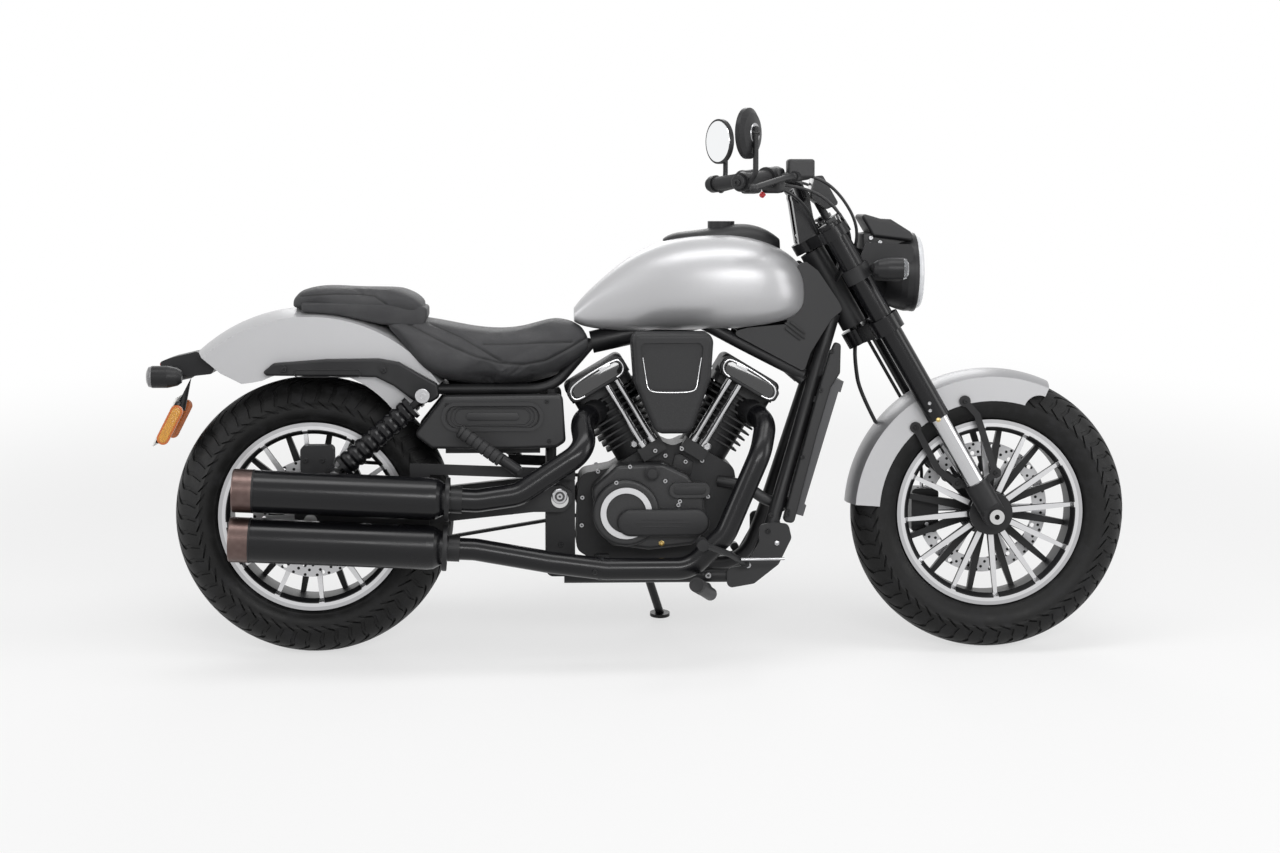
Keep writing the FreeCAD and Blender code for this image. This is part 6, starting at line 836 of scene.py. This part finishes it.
# Clutch cover: the black casting carries a silver ring round the clutch's lid, on its outer face only.
# The ring is open where the long lid crosses it.
CLUTCH = (0.714, 0.337)
RING_INNER, RING_OUTER, RING_FACE = 0.0455, 0.0585, -0.12
cover = Finish("clutch cover", Roughness=0.46, Specular_IOR_Level=0.4)
ahead, across, above = cover.axes((CLUTCH[0], 0, CLUTCH[1]))
distance = (ahead * ahead + above * above) ** 0.5
ring = (distance > RING_INNER) * (distance < RING_OUTER) * (across < RING_FACE)
grain = cover.noise(420.0, 4.0, 0.65)
black = cover.mix(cover.step(grain, 0.45, 0.75), (0.016, 0.016, 0.017), (0.03, 0.03, 0.032))
cover.set(Base_Color=cover.mix(ring, black, (0.5, 0.5, 0.51)), Metallic=ring * 0.8,
          Roughness=cover.step(grain, 0.3, 0.7, 0.36, 0.5))
cover.bump(grain, 0.00022)
cover.on("right_engine_cover")

# Silencers: heat-tinted bronze sleeves on their outlets, each behind a thin band, and a wider band round each
# silencer's front end. The cone is narrow there, so the wider bands stand 11 mm clear of it. All are turned
# about the silencers' own lines.
SILENCERS = ((Vector((-0.166, -0.207, 0.398)), Vector((0.318, -0.207, 0.375)), 0.048),
             (Vector((-0.175, -0.207, 0.288)), Vector((0.312, -0.207, 0.265)), 0.050))
SKIN = 0.0008
SUNK = 0.001
TIP_LENGTH = 0.043
TIP_DEPTH = 0.05
TIP_BORE = 0.030
bronze = Finish("heat-tinted outlet", Metallic=0.9, Roughness=0.34)
tint = bronze.noise(60.0, 3.0)
bronze.set(Base_Color=bronze.mix(tint, (0.085, 0.055, 0.05), (0.16, 0.115, 0.105)))
bronze.bump(bronze.noise(700.0, 2.0), 0.00003)
tips, bands = [], []
for rear, front, radius in SILENCERS:
    outer, inner, bore = radius + SKIN, radius - SUNK, TIP_BORE - 0.0004
    along = (front - rear).length
    tips.append(spun([(TIP_LENGTH, inner), (TIP_LENGTH, outer), (0.002, outer), (-0.0008, outer - 0.002),
                      (-0.0008, TIP_BORE + 0.003), (0.002, bore), (TIP_DEPTH, bore),
                      (TIP_DEPTH, TIP_BORE + 0.002)], rear, front - rear, 64))
    bands.append(spun([(along - 0.012, inner), (along - 0.012, outer), (along - 0.010, outer + 0.0008),
                       (along - 0.004, outer + 0.0008), (along - 0.002, outer), (along - 0.002, inner)],
                      rear, front - rear, 64))
    bands.append(spun([(TIP_LENGTH + 0.0005, inner), (TIP_LENGTH + 0.0005, outer + 0.0003),
                       (TIP_LENGTH + 0.004, outer + 0.0003), (TIP_LENGTH + 0.005, inner)],
                      rear, front - rear, 64))
settle(joined(tips), "outlet_sleeves", bronze, "chassis")
settle(joined(bands), "silencer_bands", satin_black, "chassis")

# Screws along the exhaust and pedals: black clamp screws, two bright screws, the swingarm pivot's turned
# end with painted shade in its groove and socket, the brake pedal's bright rod and the stop beside it.
PIPES = ("exhaust_headers", "mufflers", "rear_hangers", "frame", "frame_covers", "foot_controls", "swingarm",
         "radiator_shroud", "rear_axle")
CLAMP_PLACES = ((0.6411, 0.2112), (0.5665, 0.2595), (1.040, 0.2888), (1.048, 0.3250), (1.085, 0.3267))
clamp_screws = [screw(skin(x, z, PIPES), radius=0.006) for x, z in CLAMP_PLACES]
settle(joined(clamp_screws), "clamp_screws", satin_black, "chassis")
bright_screws = [screw(skin(x, z, PIPES), radius=0.007, sockets=sockets)
                 for x, z in ((0.9939, 0.2112), (0.9033, 0.1874))]
pivot = skin(0.5636, 0.374, PIPES)
bright_screws.append(spun([(-0.004, 0), (-0.004, 0.0175), (0.003, 0.0175), (0.005, 0.0155), (0.005, 0.0115),
                           (0.0015, 0.0105), (0.0015, 0.007), (0.006, 0.0065), (0.006, 0.003),
                           (0.002, 0.0025), (0.002, 0)], pivot, (0, -1, 0)))
# Painted shade: a dark ring in the pivot's groove and a dark disc in its socket.
sockets.append(spun([(0.0, 0.0069), (0.0, 0.0106), (0.0022, 0.0106), (0.0022, 0.0069)], pivot, (0, -1, 0)))
sockets.append(spun([(0.0, 0), (0.0, 0.0029), (0.0028, 0.0029), (0.0028, 0)], pivot, (0, -1, 0), 6))
rod_ends = [skin(1.000, 0.236, PIPES), skin(1.072, 0.234, PIPES)]
rod_y = min(end.y for end in rod_ends) - 0.004
bright_screws.append(rail([Vector((end.x, rod_y, end.z)) for end in rod_ends], 0.003))
settle(joined(bright_screws), "pivot_screws", zinc, "chassis")
pedal_stop = spun([(-0.003, 0), (-0.003, 0.006), (0.003, 0.006), (0.004, 0.004), (0.004, 0)],
                  skin(1.060, 0.262, PIPES), (0, -1, 0), 6)
settle(pedal_stop, "pedal_stop", zinc, "chassis")

# Hoses and band: the coolant hose runs from the crankcase to the foot of the radiator, the rear brake hose
# lies along the swingarm, and a band clamps the lower header's sleeve. The hoses are braided rubber.
COOLANT_RADIUS = 0.0135
BRAKE_RADIUS = 0.0038
ON_ARM = Vector((0, -0.004, 0))
BAND_X, BAND_Z, BAND_HALF, BAND_WALL = 0.655, 0.228, 0.006, 0.0016
braided = Finish("reinforced hose", (0.012, 0.012, 0.013), Roughness=0.45)
braid = braided.make("ShaderNodeTexVoronoi", {}, {"Vector": braided.place(), "Scale": 900.0})
braided.bump(braid, 0.0001)
coolant = [nearest((0.930, -0.070, 0.400), "engine_crankcase"), Vector((0.985, -0.095, 0.395)),
           Vector((1.020, -0.100, 0.370)), Vector((1.050, -0.090, 0.350)),
           nearest((1.085, -0.070, 0.350), "radiator")]
brake = [nearest((0.020, -0.100, 0.430), "rear_caliper"), Vector((0.060, -0.112, 0.425)),
         Vector((0.110, -0.112, 0.405)), nearest((0.200, -0.112, 0.385), "swingarm") + ON_ARM,
         nearest((0.320, -0.112, 0.380), "swingarm") + ON_ARM, nearest((0.430, -0.100, 0.378), "swingarm")]
hoses = [rail(coolant, COOLANT_RADIUS), rail(brake, BRAKE_RADIUS)]
settle(joined(hoses), "hoses", braided, "chassis")
pipe = ("exhaust_headers",)
middle = Vector((BAND_X, skin(BAND_X, BAND_Z, pipe).y + 0.025, BAND_Z))
below = touch(middle - Vector((0, 0, 0.2)), Vector((0, 0, 1)), pipe)
above = touch(middle + Vector((0, 0, 0.2)), Vector((0, 0, -1)), pipe)
middle.z = (below.z + above.z) / 2
outer = (above.z - below.z) / 2
band = spun([(-BAND_HALF, outer - SUNK), (-BAND_HALF, outer + BAND_WALL), (BAND_HALF, outer + BAND_WALL),
             (BAND_HALF, outer - SUNK)], middle, (1, 0, 0), 48)
settle(band, "header_band", satin_black, "chassis")

# Headlamp: a polished bowl and a black projector behind the clear lens, a black bezel, and a frosted rim
# round the lens. Each is turned about the lamp's level axis.
LAMP = Vector((1.384, 0, 0.877))
FORWARD = Vector((1, 0, 0))
bowl = Finish("lamp reflector", (0.75, 0.75, 0.76), Metallic=1.0, Roughness=0.16)
facets = bowl.make("ShaderNodeTexVoronoi", {}, {"Vector": bowl.place(), "Scale": 60.0})
bowl.bump(facets, 0.0006)
reflector = spun([(-0.030, 0.0), (-0.028, 0.028), (-0.018, 0.055), (-0.002, 0.0765), (-0.004, 0.0775),
                  (-0.020, 0.057), (-0.031, 0.029), (-0.032, 0.0)], LAMP, FORWARD)
settle(reflector, "headlamp_bowl", bowl, "steering")
projector = spun([(-0.029, 0), (-0.029, 0.030), (-0.012, 0.031), (-0.008, 0.028), (-0.002, 0.020),
                  (0.001, 0.010), (0.002, 0)], LAMP, FORWARD)
settle(projector, "headlamp_projector", gloss, "steering")
bezel = spun([(-0.006, 0.0905), (0.000, 0.0915), (0.004, 0.0905), (0.006, 0.0875), (0.005, 0.0838),
              (0.0004, 0.0836), (0.0004, 0.0895)], LAMP, FORWARD, 72)
settle(bezel, "headlamp_bezel", satin_black, "steering")
frosted = Finish("frosted lens edge", (0.62, 0.63, 0.65), Roughness=0.25, Coat_Weight=0.5,
                 Coat_Roughness=0.05)
ribs = frosted.make("ShaderNodeTexVoronoi", {}, {"Vector": frosted.place(), "Scale": 300.0})
frosted.bump(ribs, 0.0003)
rim = spun([(-0.002, 0.0829), (-0.002, 0.0842), (0.010, 0.0842), (0.0155, 0.0815), (0.0185, 0.0765),
            (0.0178, 0.0755), (0.0145, 0.0806), (0.009, 0.0829)], LAMP, FORWARD, 72)
settle(rim, "headlamp_lens_rim", frosted, "steering")

# Handlebar ends: mirror glass with a bright back plate, a bar-end weight with its screw, ribs on the grip's
# inner end, and a rounded switch housing with three buttons, the same on both sides along the bar's own
# line.
BAR_END = Vector((0.950, 0.400, 1.082))
BAR_ELBOW = Vector((1.048, 0.258, 1.097))
MIRROR_YAW = math.radians(30)
MIRROR_ALONG = 0.008
MIRROR_RISE = Vector((0.008, 0, 0.104))
WEIGHT_INSET = 0.05
GRIP_COLLAR = 0.112
COLLARS = ((0.002, 0.0238), (0.010, 0.0226), (0.018, 0.0214))
COLLAR_LENGTH = 0.005
SWITCH_ALONG = 0.147
SWITCH_DROP = Vector((0, 0, -0.008))
SWITCH_SIZE = (0.033, 0.050, 0.056, 1)
SWITCH_EDGE = 0.010
BUTTON_REACH = 0.024
BUTTONS = ((-0.009, 0.004), (0.008, -0.012), (0.002, -0.026))
mirror_glass = Finish("mirror glass", (0.9, 0.91, 0.92), Metallic=1.0, Roughness=0.02)
mirror_glass.bump(mirror_glass.noise(3.0, 1.0), 0.00002)
glasses, backs, housings, buttons, ends = [], [], [], [], []
for way in (-1, 1):
    end = Vector((BAR_END.x, way * BAR_END.y, BAR_END.z))
    inward = (Vector((BAR_ELBOW.x, way * BAR_ELBOW.y, BAR_ELBOW.z)) - end).normalized()
    outward = Vector((math.cos(MIRROR_YAW), way * math.sin(MIRROR_YAW), 0))
    head = end + inward * MIRROR_ALONG + MIRROR_RISE
    glasses.append(spun([(0.0002, 0), (0.0002, 0.0505), (-0.0012, 0.0500), (-0.0014, 0)], head, outward, 64))
    backs.append(spun([(0.0215, 0), (0.0215, 0.0225), (0.0232, 0.0215), (0.0232, 0)], head, outward, 48))
    tip = nearest(end - inward * WEIGHT_INSET, "grips", "handlebar")
    ends.append(spun([(-0.004, 0), (-0.004, 0.0165), (0.010, 0.0165), (0.012, 0.0145), (0.012, 0)],
                     tip, -inward))
    ends.append(screw(tip - inward * 0.0118, -inward, 0.0075, 0.004))
    for step, radius in COLLARS:
        low, high = GRIP_COLLAR + step, GRIP_COLLAR + step + COLLAR_LENGTH
        ends.append(spun([(low, 0.013), (low, radius), (high, radius), (high, 0.013)], end, inward, 48))
    turn = inward.to_track_quat("X", "Z").to_matrix().to_4x4()
    middle = end + inward * SWITCH_ALONG
    bpy.ops.mesh.primitive_cube_add(size=1)
    box = bpy.context.object
    box.matrix_world = Matrix.Translation(middle + SWITCH_DROP) @ turn @ Matrix.Diagonal(SWITCH_SIZE)
    bpy.ops.object.transform_apply(location=True, rotation=True, scale=True)
    edge = box.modifiers.new("edge", "BEVEL")
    edge.width, edge.segments = SWITCH_EDGE, 4
    bpy.ops.object.modifier_apply(modifier=edge.name)
    smooth(box, 40)
    housings.append(box)
    front = Vector((abs(inward.y), -math.copysign(inward.x, inward.y), 0)).normalized()
    for along, height in BUTTONS:
        place = middle + inward * along - front * BUTTON_REACH + Vector((0, 0, height))
        buttons.append(spun([(-0.002, 0), (-0.002, 0.0055), (0.003, 0.0055), (0.004, 0.004), (0.004, 0)],
                            place, -front, 20))
settle(joined(glasses), "mirror_glass", mirror_glass, "steering")
settle(joined(ends), "bar_end_weights", satin_black, "steering")
settle(joined(backs), "mirror_backs", zinc, "steering")
settle(joined(housings), "switch_housings", plastic, "steering")
settle(joined(buttons), "switch_buttons", gloss, "steering")

# Stop switch: a small red plastic button under the right controls, turned and pointing down and back.
# It is the one red spot on the bar, and it stands 3 mm clear of the switch housing.
red = Finish("red switch", (0.45, 0.01, 0.015), Roughness=0.35)
red.bump(red.noise(600.0, 2.0), 0.00004)
stop = spun([(-0.003, 0), (-0.003, 0.0065), (0.005, 0.006), (0.007, 0.004), (0.007, 0)],
            Vector((1.010, -0.282, 1.056)), (-0.6, -0.3, -0.75), 20)
settle(stop, "stop_switch", red, "steering")

# Cables and hoses: rubber-sleeved runs from the controls to the steering head, three on the right and two
# on the left, and two strands from the lower yoke down to the front fender. Their ends are seated on what
# holds them.
CABLE_RADIUS = 0.0036
ROUTES = (((1.105, -0.262, 1.098), (1.150, -0.200, 1.092), (1.205, -0.140, 1.050), (1.245, -0.105, 0.985),
           (1.240, -0.080, 0.920), (1.222, -0.050, 0.870)),
          ((1.058, -0.215, 1.082), (1.120, -0.170, 1.074), (1.190, -0.125, 1.030), (1.232, -0.095, 0.965),
           (1.225, -0.070, 0.900), (1.205, -0.045, 0.850)),
          ((1.040, -0.235, 1.072), (1.090, -0.160, 1.058), (1.132, -0.105, 1.020), (1.152, -0.080, 0.978),
           (1.170, -0.062, 0.945), (1.190, -0.050, 0.915)))
LEFT_ROUTES = tuple(tuple((x, -y, z) for x, y, z in route) for route in ROUTES[:2])
cable_rubber = Finish("cable sleeve", (0.012, 0.012, 0.013), Roughness=0.38)
cable_rubber.bump(cable_rubber.noise(900.0, 2.0), 0.00004)
cables = []
for route in ROUTES + LEFT_ROUTES:
    path = [nearest(route[0], "hand_controls")] + [Vector(point) for point in route[1:-1]]
    cables.append(rail(path + [nearest(route[-1], "steering_yokes", "headlamp_shell")], CABLE_RADIUS))
settle(joined(cables), "bar_cables", cable_rubber, "steering")

# Steering head: a toothed nut on the stem and a glossy cap on each fork leg, turned about the raked axis and
# seated by a line along it, and a dark glass on the display.
RAKE = math.radians(30)
UPWARD = Vector((-math.sin(RAKE), 0, math.cos(RAKE)))
HEAD_X, HEAD_Z, HEAD_RISE = 1.195, 0.990, 0.15
LEG_Y, LEG_CAP_RADIUS, LEG_CAP_TEETH = 0.105, 0.0215, 40
STEM_BACK, STEM_NUT_RADIUS, STEM_NUT_TEETH = Vector((-0.048, 0, -0.028)), 0.030, 14
DISPLAY = ((1.1436, 1.0515), (1.1508, 1.0965), (1.1526, 1.0965), (1.1460, 1.0515))
display_glass = cut_plate(DISPLAY, -0.046, 0.092, 0.0006)
settle(display_glass, "display_glass", gloss, "steering")
capped = []
for y, back, radius, teeth in ((-LEG_Y, Vector(), LEG_CAP_RADIUS, LEG_CAP_TEETH),
                               (LEG_Y, Vector(), LEG_CAP_RADIUS, LEG_CAP_TEETH),
                               (0.0, STEM_BACK, STEM_NUT_RADIUS, STEM_NUT_TEETH)):
    start = Vector((HEAD_X, y, HEAD_Z)) + UPWARD * HEAD_RISE + back
    top = touch(start, -UPWARD, ("fork_upper_legs", "steering_yokes"))
    capped.append(spun([(-0.002, 0), (-0.002, radius), (0.007, radius), (0.009, radius * 0.88),
                        (0.009, radius * 0.5), (0.006, radius * 0.42), (0.006, 0)], top, UPWARD, teeth))
settle(joined(capped), "steering_caps", gloss, "steering")

# Cowl: a moulded filler plate closes the gap over the headlamp, held by two bright screws on each side.
# The plate is cut from its outline across the lamp's width.
COWL = ((1.262, 0.968), (1.300, 0.972), (1.345, 0.958), (1.376, 0.950), (1.376, 0.930), (1.262, 0.930))
COWL_HALF = 0.052
COWL_SCREWS = ((1.281, 0.957), (1.302, 0.947))
cowl = cut_plate(COWL, -COWL_HALF, 2 * COWL_HALF, 0.004)
settle(cowl, "cowl_filler", plastic, "steering")
cowl_screws = [screw(Vector((x, way * COWL_HALF, z)), (0, way, 0)) for x, z in COWL_SCREWS for way in (-1, 1)]
settle(joined(cowl_screws), "cowl_screws", zinc, "steering")

# Fork: an amber-coloured spot above each leg's foot, two bright pinch screws on each sleeve, and the two
# hoses that hang from the lower yoke to the fender.
SPOT_SEATS = ("fork_upper_legs", "fork_lower_legs", "front_fender")
spots = [spun([(-0.002, 0), (-0.002, 0.0052), (0.002, 0.0052), (0.0035, 0.003), (0.0035, 0)],
              skin(1.4221, 0.5227, SPOT_SEATS, way), (0, way, 0), 20) for way in (-1, 1)]
settle(joined(spots), "fork_spots", brass, "steering")
seal_screws = [screw(skin(x, z, ("fork_upper_legs",), way), (0, way, 0), 0.0045)
               for x, z in ((1.4074, 0.5816), (1.4095, 0.5647)) for way in (-1, 1)]
settle(joined(seal_screws), "seal_screws", zinc, "steering")
strands = [rail([nearest((1.258, way * 0.007, 0.745), "steering_yokes"), Vector((1.252, way * 0.007, 0.705)),
                 Vector((1.2546, way * 0.008, 0.659)), Vector((1.264, way * 0.010, 0.601)),
                 nearest((1.2824, way * 0.012, 0.5428), "front_fender")], CABLE_RADIUS) for way in (-1, 1)]
settle(joined(strands), "fork_hoses", rubber, "steering")

# Side covers: three raised ovals, one in another, round a long boss on each cover.
# They are moulded in the same black plastic, as wires and a plate on the cover's face.
OVAL = (0.4125, 0.5565)
OVAL_LENGTH, OVAL_HEIGHT, OVAL_STEP = 0.206, 0.050, 0.128
OVAL_SHARES = (1.0, 0.86, 0.72)
OVAL_RADIUS = 0.0013
ridges = []
for way in (-1, 1):
    face = skin(0.412, OVAL[1], ("side_covers",), way).y
    for share in OVAL_SHARES:
        outline = stadium(*OVAL, OVAL_LENGTH - OVAL_STEP * (1 - share), OVAL_HEIGHT * share)
        ring = [Vector((x, face + way * 0.0004, z)) for x, z in outline]
        ridges.append(rail(ring + ring[:2], OVAL_RADIUS))
    ridges.append(cut_plate(stadium(*OVAL, 0.120, 0.018, 8), face + way * 0.0022, -way * 0.004, 0.0009))
settle(joined(ridges), "side_cover_ridges", plastic, "chassis")

# Black screws and slats: the radiator panels, fender struts, side covers and rear calliper are screwed on,
# each strut has a long recess with a raised edge, and each neck cover has three slats.
PANEL_SCREWS = (("radiator_shroud", 0.0055, ((1.1543, 0.6131), (1.185, 0.700), (1.112, 0.46),
                                             (1.080, 0.335))),
                ("fender_struts", 0.0065, ((-0.0566, 0.6626), (0.1669, 0.66))),
                ("side_covers", 0.0045, ((0.310, 0.583), (0.535, 0.590), (0.540, 0.500))))
CALLIPER_PLACES = ((-0.012, 0.455), (0.026, 0.455))
RECESS_EDGE_RADIUS = 0.0014
SLATS = (1.105, 0.745)
SLATS_TURN = math.radians(38)
SLAT_LEVELS = (-0.009, 0.0, 0.009)
black_screws = []
for way in (-1, 1):
    for name, radius, places in PANEL_SCREWS:
        black_screws += [screw(skin(x, z, (name,), way), (0, way, 0), radius) for x, z in places]
    face = skin(0.035, 0.652, ("fender_struts",), way).y + way * 0.0006
    ring = [Vector((x, face, z)) for x, z in stadium(0.040, 0.6535, 0.150, 0.017, 8)]
    black_screws.append(rail(ring + ring[:2], RECESS_EDGE_RADIUS))
    inlet = Matrix.Translation((SLATS[0], 0, SLATS[1])) @ Matrix.Rotation(SLATS_TURN, 4, "Y")
    face = skin(*SLATS, ("frame_covers",), way).y
    for level in SLAT_LEVELS:
        slat = stadium(0, level, 0.060 - abs(level) * 1.6, 0.0056, 5)
        black_screws.append(cut_plate(slat, face + way * 0.0036, -way * 0.006, 0.0014, inlet))
black_screws += [screw(skin(x, z, ("rear_caliper",)), radius=0.006) for x, z in CALLIPER_PLACES]
settle(joined(black_screws), "trim_screws", satin_black, "chassis")

# Shock mounts: a large bright washer with painted shade in its groove holds each shock's upper eye, and a
# hexagon nut its lower eye. With these the painted shade discs in all the sockets and grooves are complete,
# and they become one piece.
UPPER_EYE = (0.2553, 0.6045)
LOWER_EYE = (0.057, 0.428)
washers = []
for way in (-1, 1):
    axis = (0, way, 0)
    place = skin(*UPPER_EYE, ("fender_struts", "shock_bodies"), way)
    washers.append(spun([(-0.003, 0.0055), (-0.003, 0.0165), (0.002, 0.0165), (0.003, 0.0155),
                         (0.003, 0.0085), (0.0055, 0.008), (0.0055, 0.0045), (0.002, 0.004), (0.002, 0),
                         (-0.003, 0)], place, axis))
    # Painted shade: a dark ring in the washer's groove.
    sockets.append(spun([(0.0, 0.0042), (0.0, 0.0087), (0.0026, 0.0087), (0.0026, 0.0042)], place, axis))
    place = skin(*LOWER_EYE, ("shock_bodies", "swingarm"), way)
    washers.append(spun([(-0.003, 0), (-0.003, 0.011), (0.002, 0.011), (0.006, 0.008), (0.006, 0)],
                        place, axis, 6))
settle(joined(washers), "shock_washers", zinc, "chassis")
# All the dark discs and rings are painted shade in sockets and grooves.
settle(joined(sockets), "screw_socket_shade", gloss, "chassis")

# Front screws: black ones hold the fender's arms at both their ends, and bright ones the front calliper.
# All are the engine's cap screws, seated on their own pieces.
ARM_SCREWS = ((1.4982, 0.5820), (1.3846, 0.5215), (1.571, 0.416), (1.483, 0.392))
CALLIPER_SCREWS = ((1.425, 0.345), (1.432, 0.282))
arm_screws = [screw(skin(x, z, ("fender_stays",), way), (0, way, 0)) for way in (-1, 1)
              for x, z in ARM_SCREWS]
settle(joined(arm_screws), "fender_arm_screws", satin_black, "steering")
calliper_screws = [screw(skin(x, z, ("front_caliper",), way), (0, way, 0)) for x, z in CALLIPER_SCREWS
                   for way in (-1, 1)]
settle(joined(calliper_screws), "calliper_screws", zinc, "steering")

# Pegs: the rider's and the passenger's foot pegs have ribbed rubber sleeves over their outer lengths.
# Each sleeve is turned about its peg, with seven grooves.
PEGS = ((Vector((0.8945, 0, 0.166)), Vector((0.862, 0.332, 0.197)), 0.0165, (0.45, 1.0)),
        (Vector((0.470, 0.178, 0.436)), Vector((0.338, 0.20, 0.529)), 0.0148, (0.30, 0.98)))
PEG_ROOT_Y = 0.226
PEG_GROOVES = 7
SLEEVE_WALL = 0.004
GROOVE_HALF, GROOVE_FLOOR_HALF, GROOVE_CUT = 0.0016, 0.0008, 0.0022
sleeves = []
for start, end, radius, (low, high) in PEGS:
    for way in (-1, 1):
        first = Vector((start.x, way * max(start.y, PEG_ROOT_Y), start.z))
        last = Vector((end.x, way * end.y, end.z))
        run = (last - first).length
        section = [(run * low, radius - SLEEVE_WALL), (run * low, radius)]
        for number in range(PEG_GROOVES):
            here = run * (low + (high - low) * (number + 0.5) / PEG_GROOVES)
            floor_radius = radius - GROOVE_CUT
            section += [(here - GROOVE_HALF, radius), (here - GROOVE_FLOOR_HALF, floor_radius),
                        (here + GROOVE_FLOOR_HALF, floor_radius), (here + GROOVE_HALF, radius)]
        section += [(run * high, radius), (run * high, radius - SLEEVE_WALL)]
        sleeves.append(spun(section, first, last - first, 28))
settle(joined(sleeves), "peg_rubbers", rubber, "chassis")

# Tail: a red lamp lens between smoke-grey signal lenses, and amber reflectors with an orange edge on both
# sides of the number plate. The reflectors are long round-ended plates, turned with the plate.
LAMP_HALF = 0.075
PLATE = Matrix.Translation((-0.330, 0, 0.540)) @ Matrix.Rotation(math.radians(27), 4, "Y")
PLATE_EDGE = 0.0822
REFLECTOR_Z = 0.0113
tail_lens = Finish("tail lenses", Roughness=0.12, Coat_Weight=0.6, Coat_Roughness=0.05)
ahead, across, above = tail_lens.axes()
lamp_lens = (across < LAMP_HALF) * (across > -LAMP_HALF)
facets = tail_lens.make("ShaderNodeTexVoronoi", {}, {"Vector": tail_lens.place(), "Scale": 260.0})
tail_lens.set(Base_Color=tail_lens.mix(lamp_lens, (0.16, 0.16, 0.165), (0.30, 0.004, 0.006)))
tail_lens.bump(facets, 0.0006)
tail_lens.on("rear_lenses")
amber = Finish("amber reflector", Roughness=0.15, Coat_Weight=0.8, Coat_Roughness=0.05)
cubes = amber.make("ShaderNodeTexVoronoi", {"feature": "DISTANCE_TO_EDGE"},
                   {"Vector": amber.place(), "Scale": 330.0})
amber.set(Base_Color=amber.mix(amber.step(cubes, 0.0, 0.3), (0.50, 0.20, 0.010), (0.75, 0.36, 0.02)))
amber.bump(cubes, 0.0005)
orange = Finish("reflector edge", (0.55, 0.13, 0.01), Roughness=0.3, Coat_Weight=0.5, Coat_Roughness=0.1)
orange.bump(orange.noise(400.0, 2.0), 0.00005)
rims, faces = [], []
for way in (-1, 1):
    for plates, length, width, proud, depth, edge in ((rims, 0.098, 0.0284, 0.0090, 0.010, 0.0012),
                                                      (faces, 0.088, 0.0190, 0.0104, 0.002, 0.0006)):
        outline = [(REFLECTOR_Z + z, x) for x, z in stadium(0, 0, length, width)]
        plates.append(cut_plate(outline, way * (PLATE_EDGE + proud), -way * depth, edge, PLATE))
settle(joined(rims), "reflector_rims", orange, "chassis")
settle(joined(faces), "reflector_faces", amber, "chassis")

# Pillion skirt: the pillion pad stands on a firm skirt under the same leather, which meets the rider's seat
# and the fender. It is cut from its side outline.
SKIRT = ((-0.020, 0.790), (0.060, 0.784), (0.160, 0.762), (0.256, 0.756), (0.264, 0.780), (0.264, 0.800),
         (0.240, 0.806), (0.060, 0.812), (-0.020, 0.812))
SKIRT_HALF = 0.088
skirt = cut_plate(SKIRT, -SKIRT_HALF, 2 * SKIRT_HALF, 0.006)
settle(skirt, "pillion_skirt", leather, "chassis")

# Neck braces: a steel tube on each side runs down from under the tank to the downtubes, behind the neck
# covers. Its lower end is seated on the frame.
BRACE_RADIUS = 0.0145
braces = [rail([Vector((0.880, way * 0.060, 0.768)), Vector((0.905, way * 0.060, 0.757)),
                Vector((1.010, way * 0.058, 0.701)), nearest((1.125, way * 0.055, 0.640), "frame")],
               BRACE_RADIUS) for way in (-1, 1)]
settle(joined(braces), "neck_braces", satin_black, "chassis")
